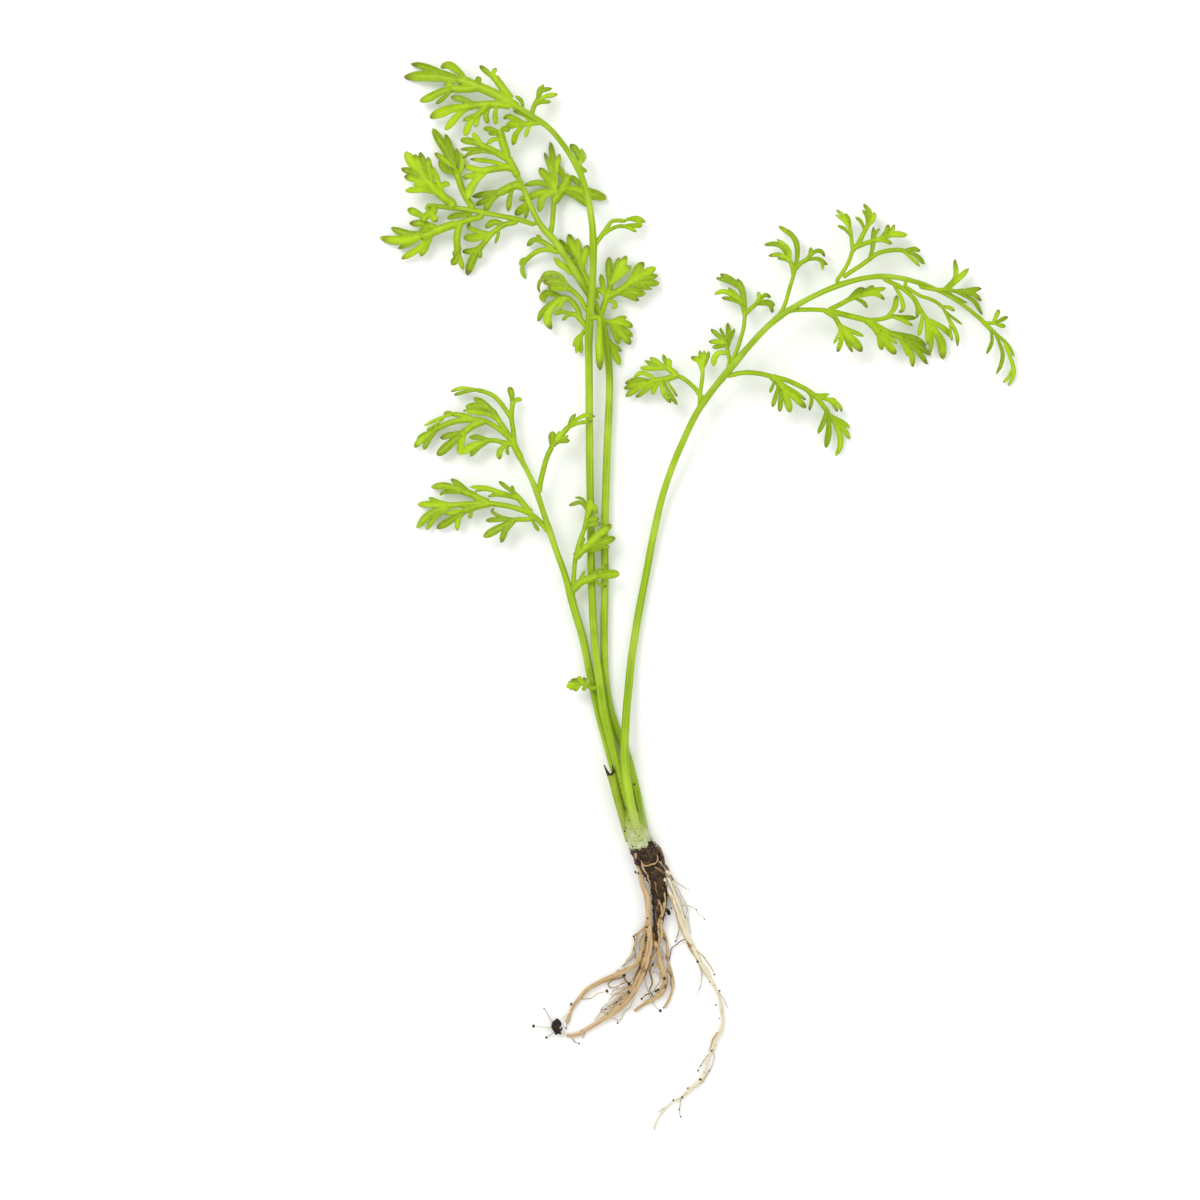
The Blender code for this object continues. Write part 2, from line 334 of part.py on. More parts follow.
leaflet("left_leaflet_6", 0.35,
    stalk(1.2, (-26.6, 86.8), (-28, 88.4), (-29.4, 89.9), (-31, 91.2), (-33, 92.2), (-36, 93.2),
          (-38, 93.6), (-40, 93.9),
          (-42, 94.2)),
    stalk(1.6, (-42, 94.4), (-44, 95.2), (-46, 96.3), (-48, 97)),
    lobe(1.2, (-46.3, 96.6), (-48.6, 98.4), (-51.2, 100.2)),
    lobe(1.5, (-48, 97.2), (-52.5, 98.5), (-56.2, 98.2)),
    lobe(0.9, (-47.8, 96.7), (-51, 97), (-53, 96.9), (-54, 96.1)),
    stalk(1.3, (-42, 94.1), (-45, 94.1), (-48, 93.9), (-51.5, 93.6)),
    lobe(1.0, (-51.2, 93.9), (-54.5, 94.5), (-56.8, 95.6)),
    lobe(1.4, (-51.5, 93.7), (-55.5, 93.9), (-59.6, 93.9)),
    lobe(1.6, (-51.5, 93.5), (-56.5, 91.5), (-59.8, 88)),
    lobe(1.2, (-51.3, 93.2), (-55, 90.8), (-57.4, 87.4)),
    stalk(1.5, (-41.4, 94), (-44, 93.5), (-46, 92.9), (-48, 92.2)),
    lobe(1.0, (-47.4, 92.6), (-50.2, 92), (-52.7, 91.4)),
    lobe(1.7, (-48, 92.1), (-51.6, 89.7), (-54.8, 87.9)),
    lobe(1.1, (-47.8, 92), (-49.4, 90), (-49.7, 87.3)),
    lobe(0.9, (-45.8, 92.8), (-46.3, 91.4), (-46.5, 90.3)),
    stalk(1.3, (-31.2, 91.8), (-32.5, 93.2), (-33.8, 94.8), (-35.2, 96.4)),
    lobe(0.9, (-35.2, 96.5), (-35.8, 97.6), (-36, 98.5)),
    lobe(0.9, (-35.2, 96.4), (-37.2, 98), (-39.2, 99.6)),
    lobe(1.0, (-34.8, 95.8), (-38, 96.6), (-42.5, 97.9), (-46.5, 98.2)),
    lobe(0.7, (-40.5, 97.1), (-43, 97.6), (-45.2, 97.2)),
    lobe(0.9, (-34, 95), (-37.5, 96), (-40, 96.3), (-41.9, 95.8)),
    stalk(1.1, (-30.4, 90.3), (-32.5, 90.1), (-34.5, 90.1), (-35.8, 89.8)),
    lobe(0.7, (-35, 90.1), (-38.5, 90.7), (-40.9, 92), (-40.4, 93)),
    lobe(1.1, (-35.8, 89.9), (-39, 90.1), (-42.5, 89.8)),
    lobe(1.8, (-35.8, 89.6), (-39.4, 87.8), (-43.1, 85.7)),
    lobe(1.3, (-35.5, 89.5), (-37.6, 87.2), (-38.7, 84.3)),
    lobe(0.8, (-31, 90), (-30.1, 88.5), (-29.2, 87.1)))
leaflet("left_leaflet_9", 5.3,
    stalk(1.0, (-20.8, 70.5), (-20.7, 73), (-20.5, 76), (-20.3, 79), (-20, 81), (-19.4, 83.5),
          (-18.6, 85.8), (-17.8, 88),
          (-17.3, 90.5), (-17, 92.5)),
    lobe(0.7, (-20.4, 73.2), (-18.9, 75.2), (-17.8, 77.3)),
    stalk(1.8, (-20.5, 72.8), (-18.9, 74.4), (-17, 75.2), (-15.3, 75.7)),
    lobe(0.6, (-16.6, 75.6), (-14.5, 77.4), (-12, 78.9)),
    lobe(1.9, (-15.4, 75.8), (-12, 76.4), (-9.1, 76.5)),
    lobe(0.9, (-15.6, 75.3), (-14.2, 74), (-12.3, 73.4)),
    stalk(1.9, (-20, 80.7), (-18.7, 82.2), (-17.2, 83.2)),
    lobe(0.6, (-18.8, 82.2), (-18.3, 84.2), (-17.8, 85.5)),
    lobe(1.8, (-17.4, 83.4), (-14.2, 86.6), (-11.1, 88.8)),
    lobe(1.7, (-17.2, 83.2), (-13.4, 84.5), (-10.1, 85.5)),
    lobe(0.8, (-17.4, 82.9), (-14.5, 83), (-11.5, 83.3)),
    lobe(0.8, (-18, 82.6), (-15.6, 82.3), (-13.8, 82.5)),
    lobe(0.9, (-17.2, 92.3), (-18.8, 94.3), (-21.7, 93.6)),
    lobe(0.6, (-17.1, 92.6), (-18.2, 95), (-20.2, 95.6)),
    lobe(1.5, (-17, 92.5), (-16.6, 93.8), (-16.4, 95)),
    lobe(1.2, (-17.2, 90.6), (-15.9, 93.5), (-14.7, 91.2)),
    lobe(1.2, (-17.5, 89.4), (-15.8, 90.2), (-14.2, 90.2)),
    lobe(1.2, (-17.8, 88.3), (-15.8, 88.9), (-13.8, 89)))
# tall frond
leaflet("tall_leaflet_1", 1.0,
    stalk(0.9, (-17.8, 137.2), (-18.1, 136.8), (-18.5, 136.3)),
    lobe(0.9, (-18.4, 136.4), (-19.6, 135.4), (-20.6, 133.3)),
    lobe(1.0, (-18.5, 136.3), (-19.4, 134.4), (-19.9, 131.6)),
    lobe(1.1, (-18.5, 136.2), (-18.9, 134.2), (-18.7, 131.6)))
leaflet("tall_leaflet_2", 0.6,
    stalk(1.2, (-17.6, 138.4), (-18.8, 140), (-19.4, 142), (-20.6, 144), (-22, 145.2), (-24, 145.5)),
    stalk(1.2, (-18.7, 139.7), (-20, 141), (-21.6, 141.5)),
    lobe(1.1, (-21.5, 141.5), (-23.5, 141.9), (-25.6, 141.4)),
    lobe(0.8, (-21, 141.3), (-22.3, 140.8), (-23.4, 139.7)),
    lobe(1.2, (-24, 145.5), (-26.5, 143.9), (-28.5, 141.8), (-29.5, 139.6)),
    lobe(1.7, (-24, 145.2), (-26.4, 142.5), (-27.2, 140), (-26.2, 137.5)),
    lobe(1.5, (-24, 145.7), (-26.6, 146.8), (-28.3, 145.9), (-28, 144.4)),
    lobe(1.0, (-22.4, 145.3), (-23.3, 144.5), (-24.4, 142.6)))
leaflet("tall_leaflet_3", 3.0,
    stalk(1.1, (-17.6, 142.6), (-18.7, 144.8), (-20.2, 146.5), (-21.8, 147.8)),
    lobe(1.8, (-21.6, 147.7), (-24.5, 149.4), (-28.2, 149.2)),
    lobe(0.8, (-21.8, 148), (-26, 150.4), (-28.6, 149.8), (-29.4, 148.2), (-29.1, 146.7)),
    lobe(1.1, (-22, 148.2), (-24, 150.9), (-27, 151.5), (-28.9, 150)),
    lobe(1.5, (-21.4, 147.4), (-24, 147.8), (-27, 148)))
leaflet("tall_leaflet_4", 2.4,
    stalk(1.1, (-15.4, 158), (-14.9, 158.9), (-13.9, 160.3), (-12.8, 161.9)),
    stalk(0.9, (-12.8, 161.9), (-12, 163.2), (-10.9, 164.4), (-9.5, 164.6), (-8, 164.5)),
    lobe(1.0, (-8, 164.5), (-6.5, 165.1), (-4.6, 165.3), (-2.6, 164.3)),
    lobe(0.8, (-6.6, 164.9), (-5, 164.6), (-3.4, 163.5)),
    stalk(0.9, (-13, 161.2), (-11.2, 162.4), (-9.5, 163.1), (-8, 163.2)),
    lobe(1.0, (-8.2, 163.2), (-6, 163.4), (-3.5, 163.2)),
    lobe(0.8, (-8.2, 163.1), (-6.3, 162.6), (-4.9, 161.8)))
leaflet("tall_leaflet_5", 2.6,
    stalk(1.1, (-30.9, 190.7), (-30.7, 192), (-30.2, 193.4), (-29.5, 194.8)),
    lobe(1.0, (-29.6, 194.6), (-29.2, 196.9), (-28, 198.6)),
    lobe(1.0, (-29.4, 194.9), (-28.4, 197), (-26, 197.7)),
    lobe(1.1, (-29.5, 194), (-27.7, 195.5), (-24.6, 196.2)),
    lobe(0.9, (-30.3, 193), (-28.6, 194), (-26.2, 194.2)))
leaflet("tall_end_leaf", 0.35,
    stalk(1.9, (-35.7, 193.5), (-36.8, 194.1), (-37.6, 194.4)),
    stalk(2.2, (-36.6, 194), (-39, 195.4), (-42, 196.9), (-45, 198.2), (-48.6, 199.6)),
    lobe(2.3, (-47.4, 199.2), (-53, 200.3), (-58, 200.8), (-63, 200.7)),
    lobe(1.4, (-50, 200.4), (-54, 201.8), (-58, 203.2), (-61.3, 204)),
    lobe(1.7, (-47.5, 199.6), (-49.6, 202), (-51.8, 203.4), (-53.8, 202.8)),
    lobe(1.4, (-44, 198.2), (-44.4, 199.4), (-43.7, 200.2)),
    stalk(1.8, (-44.5, 197.6), (-47.5, 197.4), (-50.5, 197.4)),
    lobe(1.8, (-50, 197.5), (-53, 197), (-56.2, 195.5), (-59, 194.5)),
    lobe(1.2, (-49.5, 197.6), (-51.6, 198.4), (-52.9, 198.4)),
    lobe(1.0, (-51, 197), (-53, 195.2), (-54.9, 193.8)),
    stalk(1.8, (-36.2, 194.8), (-37.6, 196.6), (-39.2, 198.8), (-40.2, 200.2)),
    lobe(1.2, (-39.6, 199.3), (-41.6, 201), (-44, 203.2)),
    lobe(1.0, (-40.2, 200.2), (-40.6, 201.2), (-39.8, 202.5)),
    stalk(1.8, (-36.4, 193), (-39, 193.4), (-42, 193.4), (-45, 193.2), (-48, 192.8)),
    lobe(2.1, (-47, 193), (-51, 192.4), (-54, 191.4), (-56.5, 190.4)),
    lobe(1.6, (-47, 192.6), (-49.6, 190.6), (-52.6, 187.2)),
    lobe(1.5, (-45, 193.3), (-48, 194.6), (-51.2, 195.4)),
    stalk(1.5, (-42, 193), (-43.6, 191.6), (-45, 190.4)),
    lobe(0.9, (-44, 191.4), (-46, 190.4), (-48.2, 189.4)),
    lobe(1.5, (-44.9, 190.6), (-46.6, 188.4), (-47.7, 185.6)),
    lobe(0.9, (-44.2, 191), (-44.6, 189.4), (-45.1, 187.7)),
    lobe(1.2, (-41.5, 193), (-42.4, 190.6), (-41.9, 188.6)),
    lobe(1.1, (-39.8, 193.2), (-40.1, 190.6), (-39.9, 188.4)))
leaflet("tall_leaflet_9", 3.2,
    stalk(1.2, (-29, 188.8), (-31, 188.6), (-33, 188.5)),
    lobe(1.2, (-32.4, 188.5), (-35, 189.8), (-37, 190.6), (-38, 190)),
    lobe(1.8, (-32.6, 188.4), (-35, 188.6), (-37.4, 188.2)),
    lobe(1.3, (-33, 188.2), (-35, 186), (-35.6, 183.4)),
    lobe(1.2, (-31, 188.8), (-33, 191), (-35.6, 192)),
    lobe(0.9, (-31.2, 188.4), (-32, 187.2), (-32.6, 185.2)))
leaflet("tall_leaflet_10", 7.4,
    lobe(0.9, (-33.2, 193), (-33.8, 194.5), (-35.1, 195.4)))
leaflet("tall_leaflet_11", 3.4,
    stalk(1.3, (-19.4, 178.2), (-18.9, 179.4), (-18.6, 180.6)),
    lobe(1.7, (-19, 179.4), (-20, 182), (-21.4, 183.6)),
    lobe(1.0, (-18.9, 179.2), (-18.5, 181), (-18.6, 182.5)),
    lobe(1.1, (-19, 178.6), (-18.2, 179.6), (-17.8, 181.3)),
    lobe(1.0, (-19.2, 178.4), (-18.3, 177), (-17.2, 176.8)))
leaflet("tall_leaflet_12", 7.4,
    stalk(1.2, (-14.3, 140.3), (-14.1, 138.6), (-14.1, 136.4)),
    lobe(1.7, (-14.1, 137.6), (-14.2, 133.5), (-14.1, 130.5), (-14, 127.2)))
# middle frond
leaflet("middle_leaflet_1", 0.7,
    stalk(1.2, (-12.8, 135.8), (-12.3, 135), (-11.6, 134.2)),
    lobe(0.9, (-11.8, 134.5), (-10.2, 133.4), (-8.6, 132.1)),
    lobe(1.4, (-11.6, 134.2), (-10.3, 131.6), (-9, 128.7)))
leaflet("middle_leaflet_2", 1.5,
    stalk(1.2, (-13.4, 139.6), (-12.4, 139.5), (-11, 139.2)),
    lobe(1.0, (-11.4, 139.4), (-9.5, 140.1), (-7.3, 140.6)),
    lobe(1.4, (-11, 139.3), (-8.5, 139.3), (-5.8, 138.2)),
    lobe(1.3, (-11, 139.1), (-8.4, 137.7), (-5.8, 135.8)),
    lobe(1.7, (-11, 138.9), (-8.8, 136.8), (-6.3, 133.8)),
    lobe(1.3, (-11.4, 138.8), (-10.2, 136.4), (-9.2, 133.8)))
leaflet("middle_leaflet_3", 2.4,
    stalk(1.3, (-13.9, 140.9), (-13.2, 142.6), (-12.7, 144.5), (-12, 146.3), (-11.4, 148.3)),
    lobe(1.6, (-11.5, 148), (-11.8, 152), (-11.7, 155.6)),
    lobe(1.3, (-11.3, 148.6), (-10.2, 152), (-9.2, 155.5)),
    lobe(1.7, (-11, 149.2), (-9, 152.8), (-7.4, 155.9)),
    lobe(1.5, (-11.2, 149), (-8.6, 151.5), (-6.3, 153.4)),
    lobe(1.2, (-12.3, 145.8), (-13.3, 148.5), (-13.8, 151.3)),
    lobe(1.0, (-12.5, 145.4), (-14.2, 147.4), (-15, 146.3), (-14.2, 145)),
    stalk(1.6, (-12.2, 145.6), (-10, 146.7), (-8, 147.9), (-6.2, 149.2)),
    lobe(1.9, (-6.8, 148.9), (-4.9, 152), (-3.1, 154.3)),
    lobe(1.7, (-6.4, 149.2), (-3, 151.4), (0, 153)),
    lobe(1.4, (-6.2, 149.2), (-3, 150.3), (0.4, 151)),
    lobe(1.6, (-6.4, 149), (-3, 149.2), (0.8, 149)),
    lobe(0.8, (-6.8, 148.6), (-4, 148.1), (-1, 147.6)),
    lobe(1.8, (-10, 146.6), (-6.4, 146.9), (-2.6, 146.3)),
    lobe(1.1, (-9, 146.4), (-6.4, 145.6), (-4.3, 144.7)),
    lobe(0.9, (-12.3, 144.6), (-10.6, 144.4), (-10.2, 143.2), (-11, 142.6)))
leaflet("middle_leaflet_5", 0.8,
    stalk(1.6, (-16.9, 148.8), (-17.6, 150.4), (-18.5, 152.2), (-19, 154)),
    lobe(1.3, (-18.8, 153.4), (-21, 156.6), (-22.8, 158.4), (-24.3, 160.1)),
    lobe(1.7, (-19, 154), (-20.8, 158), (-21.8, 161.5)),
    lobe(1.4, (-19, 154), (-19.5, 157), (-19.6, 160.4)),
    lobe(1.8, (-18.6, 153), (-17.9, 156), (-17, 158.7)),
    lobe(0.9, (-18.8, 153), (-20.4, 154.6), (-21.9, 155.3)),
    arch=-1.2)
leaflet("middle_leaflet_6", 3.8,
    lobe(1.3, (-21.2, 151.6), (-22.6, 152.8), (-24.2, 154), (-25.4, 155.4)))
leaflet("middle_leaflet_7", 0.5,
    stalk(1.1, (-24.6, 156.8), (-27, 157.4), (-29, 157.2), (-31, 156.2), (-32.4, 154.9)),
    lobe(0.9, (-32.2, 155.1), (-33.3, 153.6), (-33.4, 152), (-32.6, 150.3)),
    lobe(0.8, (-32, 155.3), (-33.4, 155), (-34, 153.6)),
    stalk(1.1, (-25.4, 157.2), (-27, 158.6), (-28.8, 159.6)),
    lobe(1.2, (-28.4, 159.4), (-30.5, 159.9), (-32.2, 158.4)),
    lobe(1.0, (-28.4, 159.4), (-29.2, 160.4), (-29.8, 161.1)))
leaflet("middle_leaflet_8", 0.8,
    stalk(1.15, (-26.4, 161), (-25.9, 164), (-25.6, 168), (-25.2, 171), (-25, 173)),
    lobe(1.0, (-25.2, 172.4), (-26.3, 177.4), (-27.9, 181.8)),
    lobe(1.35, (-25, 173), (-25.6, 178.5), (-26.4, 184.4)),
    lobe(1.2, (-24.9, 173), (-24.9, 177.4), (-24, 181.4)),
    lobe(1.75, (-25.1, 172.6), (-27.2, 175.4), (-29.2, 177.9)),
    lobe(1.25, (-25.2, 172.6), (-29, 174.2), (-32.8, 173.6)),
    lobe(1.6, (-25.3, 172), (-28.4, 171.8), (-31.6, 170.6), (-34.2, 169.9)),
    lobe(1.6, (-25.3, 171.8), (-28.2, 170.6), (-29.2, 166.7)),
    stalk(1.95, (-25.4, 169.5), (-23.8, 171.8), (-22.6, 174), (-21.6, 176)),
    lobe(1.15, (-22.8, 173.6), (-23.4, 176.4), (-24, 178.2)),
    lobe(2.3, (-23.4, 172.6), (-19.5, 172.4), (-16, 171.4), (-12.3, 170.3)),
    lobe(1.9, (-23.4, 172.2), (-20, 171), (-16, 168.1)),
    lobe(1.3, (-21.8, 175.6), (-20.6, 175.3), (-19, 173.4)),
    arch=-0.4)
leaflet("middle_leaflet_9", 1.4,
    lobe(1.8, (-31.5, 169.6), (-32.8, 168), (-35.2, 166.2)),
    lobe(0.8, (-31.9, 169), (-32.2, 167.2), (-32.7, 165.2)))
leaflet("middle_leaflet_10", 2.2,
    stalk(2.0, (-33.4, 173.2), (-35, 173.4), (-37, 172.6), (-39, 171.6)),
    lobe(1.3, (-38, 172), (-42, 171.4), (-45.9, 170.7)),
    lobe(1.5, (-39, 171.4), (-41.4, 169.4), (-42.8, 166.8)),
    lobe(1.2, (-39, 171.6), (-42, 170), (-45, 168.6)),
    lobe(1.2, (-35.8, 173.2), (-36.5, 170.2), (-36.9, 166.8)))
leaflet("middle_end_leaf", 5.6,
    stalk(1.6, (-34.9, 176.4), (-35.8, 178.2), (-37, 180), (-37.4, 181)),
    stalk(1.6, (-35.2, 177.2), (-37, 177.8), (-40, 177.5), (-43, 176.9)),
    lobe(1.3, (-42, 177.2), (-45, 177.3), (-48, 178.2)),
    lobe(1.3, (-43, 176.8), (-45.6, 175.8), (-48.2, 175.2)),
    lobe(1.8, (-42.4, 176.8), (-44.8, 174.6), (-46.4, 172), (-47, 169.8)),
    lobe(0.9, (-36.6, 178), (-41, 179.2), (-46.4, 179.8)),
    stalk(1.5, (-36, 179.4), (-38, 180.4), (-40, 181.6), (-42, 182.6), (-44, 183.4)),
    lobe(1.6, (-43, 183.2), (-46, 184.2), (-48.8, 184.6)),
    lobe(1.1, (-43, 183), (-44.6, 184.8), (-45.8, 186.4)),
    lobe(1.0, (-40, 181.4), (-44, 182.2), (-48.8, 182.3)),
    lobe(0.9, (-39, 180.8), (-43, 181.8), (-46.4, 181.2), (-48.2, 180)),
    stalk(1.8, (-37.2, 180.8), (-37.9, 183), (-38.6, 185.4), (-39, 187)),
    lobe(1.2, (-38.8, 186.4), (-41, 187.2), (-43.1, 187.4)),
    lobe(1.0, (-38.6, 185.8), (-40.2, 186.2), (-41.8, 186.1)),
    lobe(1.0, (-38.4, 184.6), (-40.2, 184.8), (-42.2, 183.8)),
    lobe(1.3, (-38.8, 186.6), (-37.8, 187.4), (-36.4, 187)))
# the side branch that the middle frond sends to the left
leaflet("branch_leaflet_1", 1.2,
    stalk(1.2, (-35.2, 164.2), (-37.5, 163.7), (-39.4, 162.6), (-41.4, 160.9), (-43.2, 158.6)),
    lobe(1.8, (-41, 161.2), (-44.6, 160.4), (-48.1, 160.4)),
    lobe(1.0, (-41, 161.4), (-44.4, 161.9), (-46.8, 163), (-46.4, 164.1)),
    lobe(1.5, (-37.8, 163.6), (-40.4, 164.2), (-42.6, 162.8)),
    lobe(0.7, (-39.2, 162.6), (-39.4, 161), (-40.1, 158.9)),
    lobe(1.2, (-42.8, 159.2), (-44, 157.4), (-43.9, 155.2)),
    lobe(1.9, (-43, 159), (-45.6, 155.4), (-47.2, 151.2)),
    lobe(1.3, (-42.8, 159), (-45.4, 157.2), (-48.4, 157)))
leaflet("branch_leaflet_2", 0.6,
    stalk(1.4, (-43.8, 165.6), (-46, 165), (-48.4, 164.2), (-50.4, 163.6)),
    stalk(1.6, (-48.8, 164.2), (-49.4, 162), (-49.7, 159.6), (-49.4, 157)),
    lobe(0.9, (-49.6, 158.4), (-50, 157), (-50.7, 156)),
    lobe(1.6, (-49.5, 157.4), (-49.8, 155.2), (-51.1, 153.6)),
    lobe(1.1, (-49.4, 157.4), (-48.8, 154.6), (-48.1, 152.4)),
    stalk(1.9, (-50, 163.8), (-53, 162.8), (-56, 161.6), (-58, 160.8)),
    lobe(1.9, (-57, 161.2), (-62, 160), (-66, 159.9), (-69, 160.6)),
    lobe(1.6, (-56.4, 161.6), (-61, 161.3), (-64, 162), (-66.2, 163)),
    lobe(1.1, (-58, 160.7), (-61.5, 159), (-64.4, 157.8)),
    lobe(1.4, (-57, 160.8), (-59.4, 157.6), (-63.6, 155.2)),
    lobe(1.6, (-56, 161.2), (-57.4, 158.4), (-58.8, 155.8)),
    lobe(1.6, (-54, 162.6), (-58, 163.8), (-61.6, 164)),
    lobe(1.0, (-56, 162), (-58, 162.4), (-59, 161.4)))
leaflet("branch_leaflet_3", 3.6,
    lobe(1.3, (-46.5, 166.2), (-49, 166), (-52.2, 165.2)))
leaflet("branch_leaflet_4", 1.2,
    stalk(1.5, (-46, 168.3), (-47.4, 170.4), (-48.6, 173), (-49.4, 175.6), (-50.2, 178)),
    lobe(1.8, (-50, 177.4), (-52.4, 182), (-54.2, 185), (-55.8, 187.8)),
    lobe(1.4, (-50.2, 178), (-51.2, 182), (-52.6, 186.4)),
    lobe(1.2, (-50, 177.6), (-53, 180), (-55.3, 181.7)),
    lobe(1.1, (-50, 177.4), (-49.8, 180.4), (-49.8, 182.8)),
    lobe(1.3, (-49.6, 175.6), (-48.4, 178.6), (-48.6, 181.6)),
    lobe(1.4, (-49.8, 176.4), (-52.6, 177.4), (-54.2, 179.8)),
    arch=-0.6)
leaflet("branch_leaflet_5", 3.8,
    stalk(2.0, (-51, 168.9), (-53, 170.4), (-55, 172.2), (-57, 174.2)),
    lobe(2.3, (-56.4, 173.6), (-59.6, 177.4), (-62.6, 181.8)),
    lobe(1.4, (-57, 174.4), (-59, 178), (-60.2, 181.2)),
    lobe(1.5, (-56.6, 174), (-57.8, 178), (-58.9, 181.7)),
    lobe(1.5, (-56, 173.4), (-56.6, 177.4), (-56.9, 180.4)),
    lobe(1.5, (-57, 174.2), (-60.4, 176.4), (-63.6, 177.6)),
    lobe(1.5, (-56.6, 173.6), (-60, 174.8), (-62.8, 175.6)),
    lobe(1.0, (-55.8, 172.8), (-58.4, 173.6), (-60.6, 173.5)),
    lobe(1.2, (-53, 170.8), (-54.2, 173.8), (-55.8, 178)),
    lobe(1.2, (-54.4, 171.6), (-52.8, 173.6), (-51.4, 173.4)),
    lobe(1.4, (-54.6, 171.6), (-58.6, 172.3), (-62.6, 172)))
leaflet("branch_leaflet_6", 5.4,
    stalk(1.6, (-55.5, 167), (-57, 166), (-58.4, 164.6)),
    lobe(1.7, (-57.8, 165.4), (-59.6, 166.4), (-62, 167.4)),
    lobe(1.6, (-56.4, 166.4), (-55.6, 165.4), (-54.6, 164.4)))
# young leaf beside the tall stalk
leaflet("young_leaf", 5.0,
    stalk(0.9, (-16, 48.0), (-17.4, 48.9), (-18.6, 49.1), (-20.2, 49), (-21.4, 48.8)),
    lobe(1.0, (-20.8, 48.9), (-21.6, 48.6), (-22.4, 48.4)),
    lobe(0.9, (-20.4, 49), (-21.3, 49.3), (-22, 49.4)),
    lobe(1.0, (-19.6, 49.1), (-20.6, 49.9), (-21.3, 50)),
    lobe(1.0, (-19, 49.2), (-19.9, 50), (-20.3, 50.4)),
    lobe(1.0, (-18.4, 49.2), (-19, 50.2), (-19.4, 51)),
    lobe(1.0, (-17.6, 49), (-17.8, 50), (-18, 50.7)),
    lobe(0.9, (-20.2, 48.9), (-21, 48.2), (-21.6, 47.6)),
    lobe(1.0, (-19, 48.9), (-19.8, 48), (-20.5, 47.4)),
    lobe(1.0, (-17.4, 48.8), (-17.9, 48), (-18.4, 47.5)))


def material(name, colour, roughness):
    made = bpy.data.materials.new(name)
    made.use_nodes = True
    shader = made.node_tree.nodes["Principled BSDF"]
    shader.inputs["Base Color"].default_value = colour
    shader.inputs["Roughness"].default_value = roughness
    shader.inputs["Metallic"].default_value = 0.0
    return made


def smooth_axis(points, step):
    """Points on a smooth curve through the given ones, about a step apart."""
    rows = [Vector(p) for p in points]
    rows = [2 * rows[0] - rows[1]] + rows + [2 * rows[-1] - rows[-2]]
    path = []
    for a, b, c, d in zip(rows, rows[1:], rows[2:], rows[3:]):
        count = max(1, round((c - b).length / step))
        for k in range(count):
            t = k / count
            path.append(0.5 * (2 * b + (c - a) * t + (2 * a - 5 * b + 4 * c - d) * t ** 2
                               + (3 * b - a - 3 * c + d) * t ** 3))
    path.append(rows[-2])
    return path


def height_at(axis, x, y):
    """Height of a stalk's axis at its point nearest to (x, y)."""
    path = smooth_axis(axis, 1.0)
    return min(path, key=lambda p: (p[0] - x) ** 2 + (p[1] - y) ** 2)[2]


def finish(name, mesh, look, collection):
    mesh.materials.clear()
    mesh.materials.append(look)
    made = bpy.data.objects.new(name, mesh)
    collection.objects.link(made)
    return made


def tube(name, points, step, look, collection, resolution=2):
    """A round stalk or root: a poly curve with a bevel and filled ends."""
    path = smooth_axis(points, step)
    curve = bpy.data.curves.new(name, "CURVE")
    curve.dimensions = "3D"
    curve.bevel_depth = MM
    curve.bevel_resolution = resolution
    curve.use_fill_caps = True
    spline = curve.splines.new("POLY")
    spline.points.add(len(path) - 1)
    for point, (x, y, z, radius) in zip(spline.points, path):
        point.co = (x * MM, y * MM, z * MM, 1)
        point.radius = radius
    curve.materials.append(look)
    made = bpy.data.objects.new(name, curve)
    collection.objects.link(made)
    return made


def loft(bm, rings):
    """One closed body through rings of equal size."""
    count = len(rings[0])
    corners = bmesh.ops.create_circle(bm, cap_ends=True, segments=count, radius=MM)["verts"]
    for corner, place in zip(corners, rings[0]):
        corner.co = place
    face = corners[0].link_faces[0]
    for k, ring in enumerate(rings[1:]):
        before = {tuple(v.co): n for n, v in enumerate(corners)}
        made = bmesh.ops.extrude_face_region(bm, geom=[face])["geom"]
        if k:
            bmesh.ops.delete(bm, geom=[face], context="FACES_ONLY")
        face = next(item for item in made if isinstance(item, bmesh.types.BMFace))
        fresh = [None] * count
        for corner in face.verts:
            fresh[before[tuple(corner.co)]] = corner
        corners = fresh
        for corner, place in zip(corners, ring):
            corner.co = place


def blade_z(leaf, x, y):
    """Height of a leaflet's blade: from its stalk, over an arch, down to its tips."""
    share = min(1.0, ((x - leaf["x"]) ** 2 + (y - leaf["y"]) ** 2) ** 0.5 / leaf["reach"])
    arch = 4 * leaf["arch"] * share * (1 - share)
    return leaf["from_z"] + (leaf["to_z"] - leaf["from_z"]) * share + arch


def ribbon_outline(kind, width, points):
    """Flat outline of one lobe or leaf stalk: up its left side, down its right."""
    rows = [Vector(p) for p in points]
    total = sum((b - a).length for a, b in zip(rows, rows[1:]))
    left = []
    right = []
    done = 0.0
    for k, row in enumerate(rows):
        if k:
            done += (row - rows[k - 1]).length
        ahead = rows[min(k + 1, len(rows) - 1)] - rows[max(k - 1, 0)]
        side = Vector((-ahead.y, ahead.x)).normalized()
        share = done / total
        wide = LOBE_BASE + (1 - LOBE_BASE) * min(1.0, share / TIP_START) if kind == "lobe" else 1.0
        if kind == "lobe" and k == len(rows) - 1:
            left.append(row)
            continue
        left.append(row + side * width * wide / 2)
        right.append(row - side * width * wide / 2)
    return left + right[::-1]


